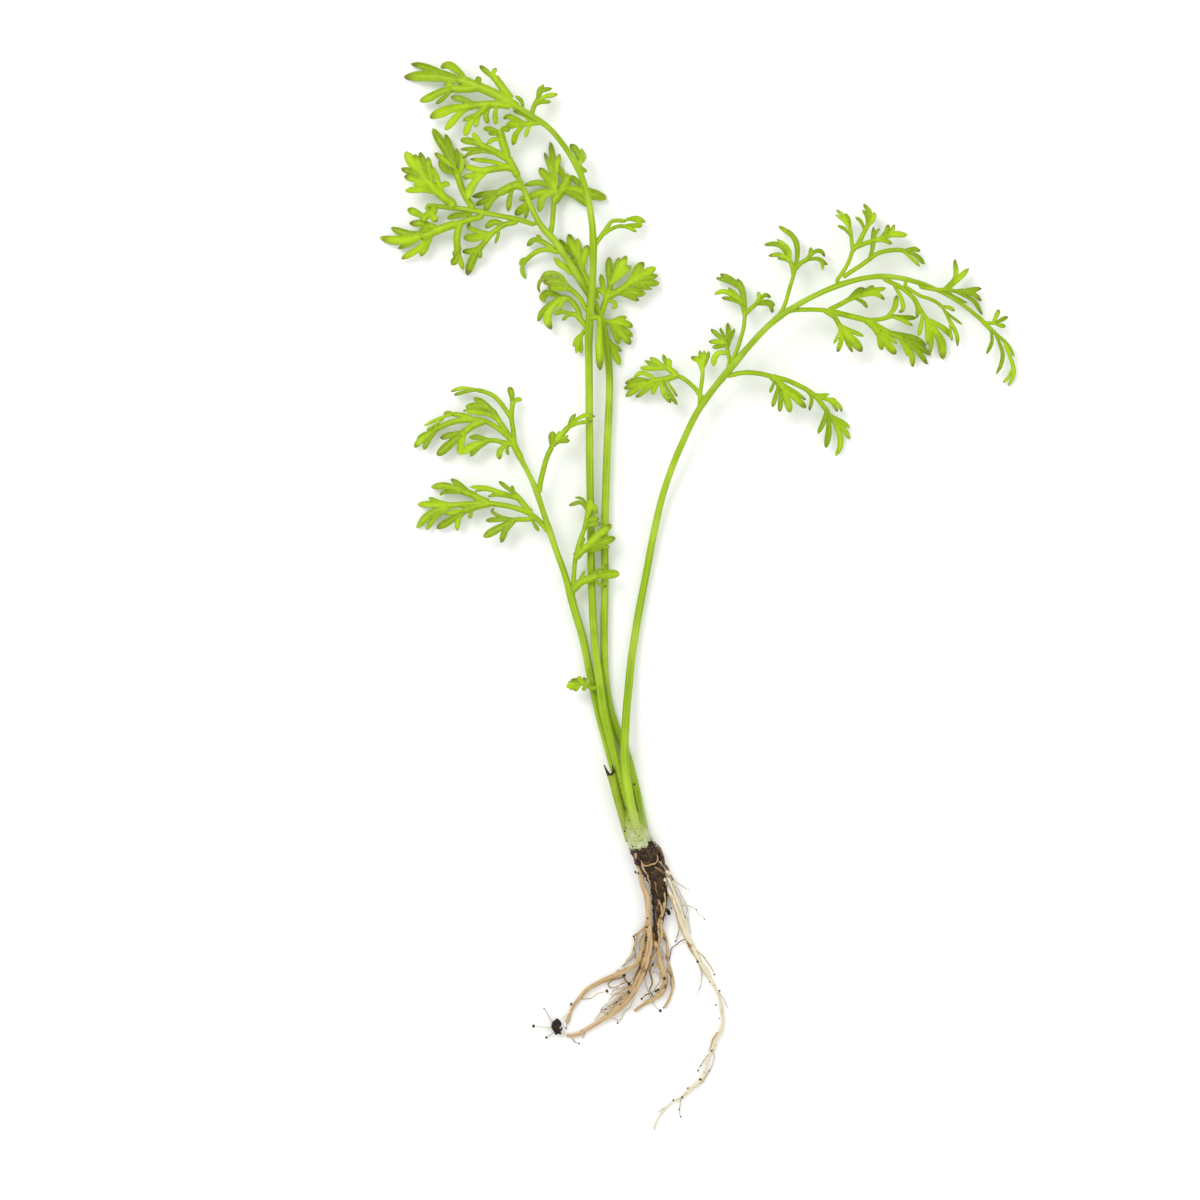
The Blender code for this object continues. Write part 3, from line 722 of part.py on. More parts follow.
def clear_of(axis, width, points):
    """The ribbon's points from where it is clear of the stalk that it grows on."""
    path = smooth_axis(axis, 0.5)

    def distance(x, y):
        return min((p[0] - x) ** 2 + (p[1] - y) ** 2 - (p[3] + GAP + 0.5 * width) ** 2 for p in path)

    start = Vector(points[0])
    rest = [Vector(p) for p in points[1:]]
    while distance(*start) < 0 and rest:
        way = rest[0] - start
        if way.length < 0.15:
            start = rest.pop(0)
        else:
            start = start + way.normalized() * 0.1
    return [tuple(start)] + [tuple(p) for p in rest]


def trimmed(axis, ribbons):
    """The ribbons cut back from their stalk, each one still joined to the first."""
    kept = []
    for kind, width, points in ribbons:
        clear = clear_of(axis, width, points)
        if kept and clear[0] != points[0]:
            first = kept[0][2]
            joint = min(first, key=lambda p: (p[0] - clear[0][0]) ** 2 + (p[1] - clear[0][1]) ** 2)
            if joint != clear[0]:
                clear = [joint] + clear
        if len(clear) > 1:
            kept.append((kind, width, clear))
    return kept


def keep_largest(bm):
    """Removes crumbs and loose edges that fusing leaves beside the main body."""
    bodies = []
    left = set(bm.faces)
    while left:
        body = set()
        front = [left.pop()]
        while front:
            face = front.pop()
            body.add(face)
            near = {other for edge in face.edges for other in edge.link_faces} & left
            left -= near
            front.extend(near)
        bodies.append(body)
    main = max(bodies, key=len)
    bmesh.ops.delete(bm, geom=[face for face in bm.faces if face not in main], context="FACES")
    wires = [edge for edge in bm.edges if not edge.link_faces]
    bmesh.ops.delete(bm, geom=wires, context="EDGES")
    loose = [corner for corner in bm.verts if not corner.link_faces]
    bmesh.ops.delete(bm, geom=loose, context="VERTS")


def leaf_solid(name, axis, to_z, ribbons, arch, look, collection):
    """All lobes of one leaflet, fused into one body."""
    from_z = height_at(axis, *ribbons[0][2][0])
    if not name.endswith("end_leaf"):
        ribbons = trimmed(axis, ribbons)
    x, y = ribbons[0][2][0]
    reach = max(((p[0] - x) ** 2 + (p[1] - y) ** 2) ** 0.5 for r in ribbons for p in r[2])
    leaf = {"x": x, "y": y, "reach": reach, "from_z": from_z, "to_z": to_z,
            "arch": arch * min(1.0, reach / 20)}
    prisms = []
    for ribbon in ribbons:
        bm = bmesh.new()
        corners = [bm.verts.new((p.x * MM, p.y * MM, 0)) for p in ribbon_outline(*ribbon)]
        face = bm.faces.new(corners)
        made = bmesh.ops.extrude_face_region(bm, geom=[face])["geom"]
        raised = [item for item in made if isinstance(item, bmesh.types.BMVert)]
        bmesh.ops.translate(bm, verts=raised, vec=(0, 0, MM))
        bmesh.ops.recalc_face_normals(bm, faces=bm.faces)
        mesh = bpy.data.meshes.new(name)
        bm.to_mesh(mesh)
        bm.free()
        prism = bpy.data.objects.new(name if not prisms else name + "_lobe", mesh)
        collection.objects.link(prism)
        prisms.append(prism)
    whole = prisms[0]
    for prism in prisms[1:]:
        union = whole.modifiers.new("Fuse lobe", "BOOLEAN")
        union.operation = "UNION"
        union.solver = "MANIFOLD"
        union.object = prism
    bpy.context.view_layer.update()
    graph = bpy.context.evaluated_depsgraph_get()
    fused = bpy.data.meshes.new_from_object(whole.evaluated_get(graph))
    whole.modifiers.clear()
    whole.data = fused
    for prism in prisms[1:]:
        bpy.data.objects.remove(prism)
    bm = bmesh.new()
    bm.from_mesh(whole.data)
    lower = [face for face in bm.faces if face.calc_center_median().z < 0.99 * MM]
    bmesh.ops.delete(bm, geom=lower, context="FACES")
    bmesh.ops.remove_doubles(bm, verts=bm.verts, dist=TOUCH * MM)
    bmesh.ops.dissolve_limit(bm, angle_limit=STRAIGHT, use_dissolve_boundaries=False,
                             verts=bm.verts[:], edges=bm.edges[:])
    short = [edge for edge in bm.edges if edge.calc_length() < MERGE * MM]
    bmesh.ops.collapse(bm, edges=short)
    bmesh.ops.triangulate(bm, faces=bm.faces[:])
    keep_largest(bm)
    for corner in bm.verts:
        corner.co.z = blade_z(leaf, corner.co.x / MM, corner.co.y / MM) * MM
    bmesh.ops.recalc_face_normals(bm, faces=bm.faces)
    for face in bm.faces:
        if face.normal.z < 0:
            face.normal_flip()
    bm.to_mesh(whole.data)
    bm.free()
    shell = whole.modifiers.new("Blade thickness", "SOLIDIFY")
    shell.thickness = LEAF_THICKNESS * MM
    shell.offset = 0
    whole.data.materials.clear()
    whole.data.materials.append(look)
    return whole


def crown_solid(name, look, collection):
    """Knobbly rhizome, cut flat where it rests so that it has a real face there."""
    bm = bmesh.new()
    path = smooth_axis(CROWN, 2.4)
    rings = []
    for k, (x, y, z, radius) in enumerate(path):
        centre = Vector((x, y, z)) * MM
        ring = []
        for side in range(CROWN_SIDES):
            angle = 6.2832 * (side + 0.5 * (k % 2)) / CROWN_SIDES
            knob = 1 + 0.06 * ((side * 7 + k * 5) % 4 - 1.5)
            across = Vector((1, 0.25, 0)).normalized()
            turned = across * cos(angle) + Vector((0, 0, 1)) * sin(angle)
            ring.append(centre + turned * radius * knob * MM)
        rings.append(ring)
    loft(bm, rings)
    cut = bmesh.ops.bisect_plane(bm, geom=bm.verts[:] + bm.edges[:] + bm.faces[:], dist=1e-7,
                                 plane_co=(0, 0, 0), plane_no=(0, 0, -1), clear_outer=True)
    edges = [item for item in cut["geom_cut"] if isinstance(item, bmesh.types.BMEdge)]
    bmesh.ops.contextual_create(bm, geom=edges)
    bmesh.ops.recalc_face_normals(bm, faces=bm.faces)
    mesh = bpy.data.meshes.new(name)
    bm.to_mesh(mesh)
    bm.free()
    return finish(name, mesh, look, collection)


def clump_solid(name, look, collection):
    """A crumb of dark soil held by the root tips, flat underneath."""
    bm = bmesh.new()
    corners = bmesh.ops.create_icosphere(bm, subdivisions=2, radius=1)["verts"]
    for k, corner in enumerate(corners):
        rough = 1 + 0.09 * ((k * 7) % 5 - 2) / 2
        place = [c + v * s * rough for c, v, s in zip(CLUMP_CENTRE, corner.co, CLUMP_SIZE)]
        corner.co = Vector(place) * MM
    for corner in corners:
        corner.co.z = max(corner.co.z, 0.0)
    cut = bmesh.ops.bisect_plane(bm, geom=bm.verts[:] + bm.edges[:] + bm.faces[:], dist=1e-7,
                                 plane_co=(0, 0, 0.1 * MM), plane_no=(0, 0, -1), clear_outer=True)
    edges = [item for item in cut["geom_cut"] if isinstance(item, bmesh.types.BMEdge)]
    bmesh.ops.contextual_create(bm, geom=edges)
    bmesh.ops.recalc_face_normals(bm, faces=bm.faces)
    mesh = bpy.data.meshes.new(name)
    bm.to_mesh(mesh)
    bm.free()
    return finish(name, mesh, look, collection)


def build():
    for item in list(bpy.data.objects):
        bpy.data.objects.remove(item)
    plant = bpy.data.collections.new("water_sprite")
    bpy.context.scene.collection.children.link(plant)

    green = material("frond", GREEN, 0.45)
    pale = material("stalk", PALE_GREEN, 0.4)
    straw = material("root", STRAW, 0.7)
    brown = material("rhizome", BROWN, 0.85)
    soil = material("soil", SOIL, 0.95)

    stalks = {"left": LEFT_STALK, "right": RIGHT_STALK, "tall": TALL_STALK,
              "middle": MIDDLE_STALK, "branch": BRANCH_STALK}
    for name, points in stalks.items():
        tube(name + "_stalk", points, STALK_STEP, pale, plant)
    tube("old_stalk", OLD_STALK, STALK_STEP, pale, plant)
    for name, to_z, ribbons, arch in LEAFLETS:
        axis = TALL_STALK if name == "young_leaf" else stalks[name.split("_")[0]]
        leaf_solid(name, axis, to_z, ribbons, arch, green, plant)

    crown_solid("rhizome", brown, plant)
    clump_solid("soil_clump", soil, plant)
    roots = {"thick_root": THICK_ROOT, "upper_root": UPPER_ROOT, "middle_root": MIDDLE_ROOT,
             "side_root": SIDE_ROOT, "long_root": LONG_ROOT, "fine_root": FINE_ROOT}
    for name, points in roots.items():
        tube(name, points, ROOT_STEP, straw, plant, resolution=1)


build()
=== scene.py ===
"""Water sprite, one bare-rooted plant lying on a pale table.

Laid out as an add-on: its properties hold sizes in millimetres and colours,
each operator makes one group of like pieces, and main() calls them in order.
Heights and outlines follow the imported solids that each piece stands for.
"""
import random
from math import atan2, cos, exp, pi, radians, sin, sqrt

import bmesh
import bpy
import numpy as np
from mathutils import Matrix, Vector, noise
from mathutils.bvhtree import BVHTree


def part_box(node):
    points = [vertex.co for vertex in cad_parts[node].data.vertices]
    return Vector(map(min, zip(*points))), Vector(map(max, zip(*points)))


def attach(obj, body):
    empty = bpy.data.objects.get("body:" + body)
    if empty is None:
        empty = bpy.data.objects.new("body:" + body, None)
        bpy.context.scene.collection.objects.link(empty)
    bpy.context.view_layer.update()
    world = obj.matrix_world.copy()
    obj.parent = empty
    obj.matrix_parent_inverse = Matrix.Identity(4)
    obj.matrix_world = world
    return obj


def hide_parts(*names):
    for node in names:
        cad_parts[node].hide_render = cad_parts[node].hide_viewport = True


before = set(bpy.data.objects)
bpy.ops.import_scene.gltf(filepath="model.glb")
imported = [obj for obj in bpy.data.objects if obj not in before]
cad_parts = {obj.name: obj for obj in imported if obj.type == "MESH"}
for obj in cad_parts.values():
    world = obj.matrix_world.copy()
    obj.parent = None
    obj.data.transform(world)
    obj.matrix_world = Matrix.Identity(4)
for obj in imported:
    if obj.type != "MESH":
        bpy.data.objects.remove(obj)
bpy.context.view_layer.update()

bl_info = {
    "name": "Water Sprite",
    "version": (1, 0, 0),
    "blender": (4, 5, 0),
    "location": "View3D > Sidebar > Water Sprite",
    "description": "A bare-rooted water sprite with stalks, cut leaves, rhizome and roots",
    "category": "Add Mesh",
}

MM = 0.001
BODY = "root"
LEAF_ARCH = 1.3            # how far a leaflet bulges up between stalk and tips

# Axes as (x, y, z, radius), from the base of each stalk to its tip.
LEFT_STALK = (
    (-6.0, 9.9, 1.65, 1.0), (-7.6, 16, 1.6, 1.05), (-9.5, 24, 1.6, 1.05), (-12.2, 34, 1.6, 1.05),
    (-14.1, 41, 1.6, 1.0), (-16.2, 50, 1.9, 0.95), (-18.2, 60, 2.6, 0.95), (-20.5, 68, 3.4, 0.95),
    (-22.7, 76, 4.4, 0.8), (-25.5, 84, 5.2, 0.75), (-28, 91.5, 5.4, 0.7), (-30.4, 98.5, 5.0, 0.65),
    (-33.8, 105.4, 4.2, 0.6))
MIDDLE_STALK = (
    (-2.3, 9.9, 1.65, 1.0), (-3.9, 17, 1.5, 1.05), (-5.4, 24, 1.4, 1.05), (-7.2, 31, 1.35, 1.0),
    (-9.6, 37, 1.35, 1.0), (-11.6, 43, 1.4, 1.0), (-12.7, 50, 1.6, 0.95), (-13.0, 60, 2.0, 0.95),
    (-12.8, 74, 2.2, 0.95), (-12.8, 88, 2.2, 0.95), (-12.3, 106, 2.2, 0.95), (-11.6, 124, 2.4, 0.9),
    (-12.4, 133, 2.5, 0.9), (-13.6, 139.5, 2.6, 0.9), (-15.4, 144, 2.8, 0.85), (-18.4, 149, 3.4, 0.85),
    (-21.6, 154, 4.2, 0.8), (-25.2, 159.4, 4.8, 0.8), (-28.6, 163.2, 4.9, 0.75), (-31.2, 168, 4.8, 0.65),
    (-33, 172.4, 4.6, 0.6), (-34.6, 175.8, 4.4, 0.55))
BRANCH_STALK = (
    (-30.7, 163.7, 4.8, 0.55), (-34, 164.8, 4.6, 0.6), (-40, 166.0, 4.4, 0.6), (-46, 167.2, 4.4, 0.6),
    (-52, 167.9, 4.2, 0.55), (-57, 168.3, 3.8, 0.5))
TALL_STALK = (
    (-4.3, 9.9, 3.35, 1.0), (-6.4, 17, 3.5, 1.0), (-8.5, 24, 3.6, 1.05), (-11.0, 34, 4.0, 1.05),
    (-12.8, 41, 4.1, 1.05), (-14.2, 50, 4.1, 1.0), (-15.4, 60, 3.8, 0.95), (-16.1, 74, 3.0, 0.95),
    (-16.3, 88, 2.8, 0.95), (-16.6, 106, 3.0, 0.95), (-16.7, 124, 4.0, 0.95), (-16.8, 136, 5.0, 0.95),
    (-16.3, 144, 5.8, 0.9), (-15.7, 152, 6.8, 0.85), (-15.7, 160, 7.8, 0.85), (-16.6, 168, 8.6, 0.8),
    (-18.6, 175.4, 9.2, 0.75), (-22, 181.6, 9.4, 0.7), (-26.4, 187.1, 9.0, 0.65), (-31.2, 190.6, 8.2, 0.6),
    (-34.6, 192.8, 7.4, 0.6))
RIGHT_STALK = (
    (-3.9, 9.9, 5.65, 1.0), (-5.6, 16, 5.9, 1.05), (-7.0, 23, 6.0, 1.05), (-7.9, 30, 5.8, 1.05),
    (-7.7, 38, 4.6, 1.0), (-7.1, 46, 3.4, 1.0), (-6.2, 55, 2.2, 0.95), (-4.5, 66, 1.8, 0.95),
    (-2.4, 77, 1.9, 0.9), (-0.3, 88, 2.4, 0.9), (2.2, 98, 3.4, 0.85), (6.0, 108, 5.0, 0.85),
    (11.0, 118, 6.8, 0.8), (18.4, 127.6, 8.4, 0.8), (28.4, 138.6, 9.8, 0.75), (38, 144.9, 10.2, 0.7),
    (48, 149.1, 9.6, 0.65), (57, 150.5, 8.2, 0.6), (66, 148.8, 6.4, 0.55), (74, 145.2, 4.6, 0.5),
    (80.4, 140.6, 3.0, 0.45))
OLD_STALK = (
    (-6.7, 9.9, 3.95, 0.95), (-8.4, 16, 4.1, 1.0), (-9.9, 21.4, 4.3, 1.0), (-11.6, 27.6, 4.9, 0.95))

THICK_ROOT = (
    (-4.1, 1.6, 3.1, 0.5), (-3.4, -0.8, 3.2, 0.7), (-2.3, -4, 3.2, 0.8), (-1.9, -8, 3.0, 0.8),
    (-1.8, -12, 2.5, 0.85), (-1.9, -16, 1.9, 0.95), (-2.9, -20.5, 1.3, 1.1), (-4.3, -25, 1.2, 1.0),
    (-6.6, -29, 1.2, 1.0), (-9.6, -32.2, 1.1, 0.9), (-13, -34.6, 0.9, 0.7), (-16.8, -37, 0.7, 0.55),
    (-19.6, -38.5, 0.6, 0.5), (-22.3, -38.9, 0.6, 0.45))
UPPER_ROOT = (
    (-5.0, -21.0, 1.6, 0.5), (-7.4, -22.5, 1.4, 0.65), (-10.4, -23.9, 1.1, 0.65), (-13.8, -25.4, 0.9, 0.6),
    (-16.8, -27.1, 0.8, 0.6), (-19.2, -29.6, 0.7, 0.5), (-21.1, -32.4, 0.6, 0.45), (-22.2, -35.6, 0.6, 0.4))
MIDDLE_ROOT = (
    (0.6, -17.7, 1.8, 0.6), (1.0, -20.6, 1.4, 0.8), (1.9, -23.2, 1.1, 0.75), (2.3, -25.6, 0.9, 0.7),
    (1.4, -27.9, 0.9, 0.75), (-0.5, -29.6, 0.8, 0.6), (-2.9, -30.9, 0.6, 0.45), (-5.4, -32.8, 0.5, 0.35))
SIDE_ROOT = (
    (2.3, -14, 0.9, 0.3), (2.8, -17, 0.7, 0.35), (2.9, -20, 0.6, 0.35), (3.7, -23.2, 0.6, 0.4),
    (4.2, -26.4, 0.6, 0.4), (3.5, -29.2, 0.5, 0.3), (2.2, -31.8, 0.5, 0.3))
LONG_ROOT = (
    (3.9, 0.6, 2.4, 0.6), (4.5, -3, 2.0, 0.8), (5.3, -6.5, 1.6, 0.8), (6.3, -10, 1.3, 0.75),
    (7.6, -13.5, 1.1, 0.75), (9.3, -17, 0.9, 0.7), (11, -20.3, 0.8, 0.7), (13, -23.8, 0.8, 0.7),
    (15, -27.4, 0.7, 0.5), (16.3, -31, 0.6, 0.45), (16.7, -35, 0.6, 0.5), (15.8, -38, 0.7, 0.55),
    (14.4, -41, 0.7, 0.6), (13.4, -43.6, 0.6, 0.45), (12.6, -46.6, 0.6, 0.4), (11.4, -49.7, 0.8, 0.7),
    (8.8, -52, 0.7, 0.6), (6.4, -54.2, 0.6, 0.45), (4.3, -55.2, 0.5, 0.35), (2.2, -57.3, 0.4, 0.3),
    (0.4, -59.8, 0.4, 0.28), (-0.6, -62.4, 0.3, 0.25))
FINE_ROOT = (
    (-3.4, -12.2, 2.4, 0.3), (-4.7, -14, 1.6, 0.32), (-5.3, -16.4, 0.9, 0.32), (-6.0, -18.6, 0.5, 0.3),
    (-7.4, -20.4, 0.45, 0.28))
CROWN = (
    (-3.5, 9.3, 3.0, 2.7), (-3.0, 7.4, 3.05, 3.1), (-1.8, 4.6, 2.75, 2.95), (-0.5, 2, 2.2, 2.5),
    (0.4, -1, 1.85, 2.05), (0.9, -4, 1.75, 1.9), (0.8, -8, 1.5, 1.5), (0.3, -12, 1.3, 1.1),
    (-0.1, -15.6, 1.3, 0.6))

LEAFLETS = []


def stalk(width, *points):
    return ("stalk", width, points)


def lobe(width, *points):
    return ("lobe", width, points)


def leaflet(name, tips_z, *ribbons, arch=LEAF_ARCH):
    """One leaflet: the height of its tips, then its stalks and lobes (width, points)."""
    LEAFLETS.append((name, tips_z, ribbons, arch))


# right frond
leaflet("right_leaflet_2", 0.8,
    stalk(1.0, (10.8, 121), (10, 122.3), (8.5, 123.8), (7, 125), (5.5, 125.8), (4, 126.2)),
    stalk(1.4, (5, 126.2), (4, 127), (3, 127.8)),
    lobe(1.4, (3.4, 127.6), (3.1, 128.8), (3.2, 130.2)),
    lobe(0.9, (3, 127.8), (2.3, 129.5), (1.7, 131.3)),
    lobe(1.2, (3, 127.8), (1, 128.8), (-1.5, 130.5)),
    lobe(1.0, (3, 127.8), (0.5, 128.2), (-2.8, 129.7)),
    lobe(1.2, (3, 127.8), (0, 127.8), (-4, 127.9)),
    stalk(1.4, (5, 125.9), (2.5, 125.1), (0, 124.7), (-1.5, 124.5)),
    lobe(0.9, (0, 124.8), (-2, 126.2), (-4, 126.6), (-5.7, 125.2)),
    lobe(1.2, (-1.5, 124.5), (-4.5, 125), (-7.7, 124.1)),
    lobe(1.2, (-1.5, 124.3), (-5, 123.9), (-8, 122.8)),
    lobe(1.4, (-1, 124), (-4.5, 122.9), (-7.6, 120.8)),
    lobe(1.0, (0, 124.3), (-2.5, 122.4), (-5, 120.6)),
    lobe(1.0, (1, 124.6), (-0.5, 122.6), (-1, 121.2)),
    lobe(1.1, (1.3, 124.6), (1.8, 121.8), (3.7, 119.1)),
    lobe(0.9, (1.8, 124.6), (3.3, 121.6), (5.2, 118.6)),
    lobe(0.6, (2.5, 124.8), (4, 122.5), (5.2, 120.7)),
    stalk(0.9, (10.4, 117), (10.8, 119), (10.9, 120.5), (11, 122), (11.3, 124), (11.6, 126.5)),
    lobe(1.3, (11.6, 126.5), (11.2, 128.5), (10.5, 129.8), (8.6, 130.5)),
    lobe(1.0, (11.5, 128), (11.2, 130), (10.9, 132.2)),
    lobe(0.9, (11.7, 127.5), (11.9, 130), (12, 132.2)),
    lobe(0.9, (11.9, 128), (12.6, 130), (13.2, 132)))
leaflet("right_leaflet_3", 1.0,
    stalk(0.85, (17.8, 127.5), (18.2, 129.5), (18, 131), (17.6, 133), (17.2, 134.5)),
    lobe(0.9, (17.8, 132.8), (18.6, 135.5), (19.6, 137.7)),
    lobe(1.1, (17.3, 134.2), (18, 136.7), (17.9, 139.2)),
    lobe(0.7, (17.2, 134.5), (16.7, 136.3), (15.9, 137.9)),
    lobe(1.1, (17.2, 134.3), (15.6, 135.9), (13.7, 137.6)),
    lobe(1.05, (17.3, 134), (15.2, 134.4), (13.2, 134.4)),
    lobe(1.0, (17.5, 133.5), (15.7, 133.2), (14, 133)),
    lobe(1.3, (18, 131.4), (15.8, 131.6), (14.5, 130.3), (14.2, 128.2)))
leaflet("right_leaflet_4", 1.4,
    stalk(0.9, (18.8, 129.5), (19.8, 131.5), (20.5, 133.5), (21.3, 136), (21.8, 138), (22, 140),
          (22.1, 142.3)),
    lobe(1.2, (22, 140.8), (21.3, 143.8), (19.8, 146), (18, 147.9)),
    lobe(1.0, (21.6, 144), (19.3, 145.8), (16.8, 147), (14.5, 146.3)),
    lobe(0.9, (21.5, 143.8), (18.6, 145), (16.4, 145.4)),
    lobe(1.4, (22.1, 142.3), (21.9, 145), (21.2, 148), (20.3, 150.2)),
    lobe(1.1, (21.2, 148.2), (18.6, 150.2), (16, 151.4)),
    lobe(1.0, (21.4, 147.4), (18, 149.6), (15, 150.4)),
    stalk(1.0, (22.2, 141.3), (24, 143), (25.6, 144.5)),
    lobe(1.0, (25, 144.2), (25.7, 145.6), (25.4, 146.9)),
    lobe(0.9, (25.6, 144.5), (27.2, 146.1), (28.6, 145.5)),
    lobe(0.9, (25.4, 144.2), (27.8, 144.5), (29.6, 143.5)),
    lobe(0.9, (25, 143.8), (28.2, 143.7), (29.1, 141.6)))
leaflet("right_leaflet_5", 1.3,
    stalk(0.9, (30.3, 140.5), (31.5, 142.5), (32.3, 144.5), (33, 147), (33.6, 149), (34.2, 151),
          (34.8, 153.3)),
    lobe(1.2, (34.6, 152.8), (35.2, 156), (34.9, 159.3), (33.2, 162.3)),
    lobe(1.0, (35, 158.4), (33.8, 161), (30.6, 163.4)),
    stalk(1.0, (34.2, 151), (33.9, 153), (33.2, 155)),
    lobe(1.0, (33.2, 155), (33, 157.3), (30.3, 160)),
    lobe(1.1, (33.2, 155), (31.5, 157.8), (29.6, 158.8), (27, 158.6)),
    lobe(0.9, (33.3, 154.6), (31, 156), (28, 155.8)),
    lobe(0.8, (33.5, 154), (32.1, 154.9), (30.2, 155.2)),
    stalk(1.0, (34.6, 152.4), (36, 153.9), (37.8, 155)),
    lobe(1.0, (37.2, 154.7), (38.5, 156.3), (38.6, 158)),
    lobe(0.9, (37.8, 155), (39.6, 156.9), (41.2, 157), (42.1, 155.7)),
    lobe(0.9, (37.6, 154.8), (40.3, 155.1), (42.7, 153.6)),
    lobe(0.7, (40, 155.1), (41.3, 154.2), (41.6, 152.3)))
leaflet("right_leaflet_6", 1.7,
    stalk(0.9, (45, 149.5), (46, 151), (47.3, 153), (48.2, 155), (48.9, 157.2)),
    stalk(0.9, (48.9, 157), (48.6, 160), (48.3, 162.4)),
    lobe(0.9, (48.3, 162.2), (48, 164.5), (47.2, 166.4)),
    lobe(0.8, (48.3, 162.6), (47, 165.4), (44.9, 167.3)),
    lobe(0.7, (48.4, 162), (46.8, 164.5), (44.7, 166.1)),
    lobe(0.8, (48.6, 160.4), (47.1, 162.3), (45.2, 163.3)),
    stalk(1.1, (48.9, 157), (50.4, 158.9), (51.6, 161.3), (52.6, 163.3)),
    lobe(0.8, (52, 162), (51, 164.4), (49.7, 165.4)),
    lobe(0.8, (52.6, 163), (52.5, 165.7), (51.5, 167.3)),
    lobe(1.1, (52.6, 163.3), (53.4, 166.2), (51.8, 168.8)),
    lobe(1.0, (52.6, 163), (54, 164.8), (54.5, 166.7)),
    stalk(1.1, (49.7, 157.8), (52, 158.8), (54, 159.4), (56, 160.1)),
    lobe(1.1, (56, 160.3), (57.5, 162), (57.9, 163.7)),
    lobe(0.9, (56, 160.2), (58.6, 161.9), (59.5, 163.7)),
    lobe(1.4, (55.8, 160), (59, 161.2), (62.7, 161.1)),
    lobe(1.0, (54.8, 159.6), (57, 159.6), (58.8, 158.8)),
    stalk(1.0, (46.5, 150.3), (49, 152), (51, 153.3), (53, 154.8), (55, 156.2), (57, 156.9),
          (60, 157.3), (62.5, 157.1)),
    lobe(1.1, (53, 154.8), (53.9, 158), (54.2, 163)),
    lobe(0.7, (54.2, 159.6), (54.7, 161.2), (55.6, 162.6)),
    lobe(1.0, (62, 157.2), (64.3, 157.6), (66, 157.1)),
    lobe(1.0, (62.5, 157.1), (65, 155.9), (67.1, 153.9)),
    lobe(0.8, (61.5, 157.1), (64, 155.1), (65.8, 153.3)))
leaflet("right_leaflet_8", 0.9,
    stalk(1.0, (30.5, 140.6), (32, 141.3), (34, 142), (37, 142.2), (40, 142.2), (43, 142)),
    stalk(1.1, (43, 142.2), (46, 143.7), (48, 144.8), (50.5, 145.8)),
    lobe(1.1, (48, 145), (50, 146.8), (51.9, 147.7)),
    lobe(1.2, (50.5, 145.9), (52.5, 147), (54.3, 148.3)),
    lobe(1.1, (50.5, 145.8), (54, 147), (57.2, 147.7)),
    lobe(1.0, (50.3, 145.5), (54.4, 146.3), (57, 144.9)),
    lobe(0.9, (49.4, 145.2), (51.5, 144.2), (52.6, 142.8)),
    stalk(1.3, (43, 141.9), (46, 141.2), (49, 140.5), (52, 139.8), (54, 139.4)),
    stalk(1.0, (52.6, 139.7), (56, 140), (59, 140.9)),
    lobe(1.1, (57.5, 140.5), (59.4, 142.8), (60, 146)),
    lobe(1.1, (59, 140.9), (62, 140.5), (64.9, 140.4)),
    lobe(0.9, (58.7, 140.7), (61.5, 139.8), (64, 138.5)),
    stalk(1.2, (53.5, 139.3), (56, 137.8), (58.5, 136.5), (61.3, 135.3)),
    lobe(1.2, (58.5, 136.7), (62, 136), (65, 135.1), (67.5, 133.5)),
    lobe(1.2, (61.3, 135.3), (65, 133.8), (68.6, 131.2)),
    lobe(1.2, (61.3, 135.2), (65, 132.5), (67.8, 128.9)),
    lobe(1.3, (61, 135), (63.6, 131.6), (64.1, 128.2)),
    lobe(0.7, (60.4, 135.3), (62, 133), (62.8, 130.8)),
    stalk(1.4, (52.3, 139.6), (54.3, 137.9), (55.3, 136.5)),
    lobe(1.3, (55.3, 136.5), (55.8, 134.5), (56.3, 132.3)),
    lobe(1.8, (55.4, 136.5), (57.3, 134.2), (59.8, 131.3)),
    lobe(0.9, (55.3, 137), (57.8, 135.6), (60.2, 133.9)),
    stalk(1.1, (42, 141.9), (44.3, 140.4), (45.4, 138.7), (46, 137.3)),
    lobe(0.7, (45.8, 137.3), (45.2, 135.6), (44.2, 133.8)),
    lobe(1.1, (46, 137.3), (46, 134.5), (45.1, 131.7)),
    lobe(0.9, (46, 137.2), (47.4, 134.5), (48.9, 131.7)),
    lobe(1.9, (46.2, 137.5), (49.2, 134.4), (51.3, 131.9)),
    lobe(0.9, (45.4, 138.6), (48.5, 137), (51.7, 135.7)))
leaflet("right_leaflet_9", 0.9,
    stalk(1.0, (57, 149.7), (60, 148.3), (62, 147), (64.2, 145), (65.5, 142.9), (66.8, 140.8),
          (68.5, 138.8)),
    lobe(0.9, (59, 148.6), (60.9, 145.2), (61.4, 142.4), (60.3, 141.6)),
    lobe(0.9, (63.8, 145.3), (65.1, 142.8), (65, 140.3)),
    lobe(0.9, (66.3, 141.2), (66.0, 138.4), (65.4, 135.8)),
    lobe(1.0, (67.2, 140.2), (67.6, 136.9), (67.8, 133.6)),
    lobe(0.9, (67.9, 139.2), (68.7, 135.2), (68.2, 131)),
    lobe(1.9, (68.5, 138.8), (71.1, 134.5), (71.7, 130.1)),
    lobe(1.2, (68, 139.8), (71.5, 137.9), (74, 135.5)))
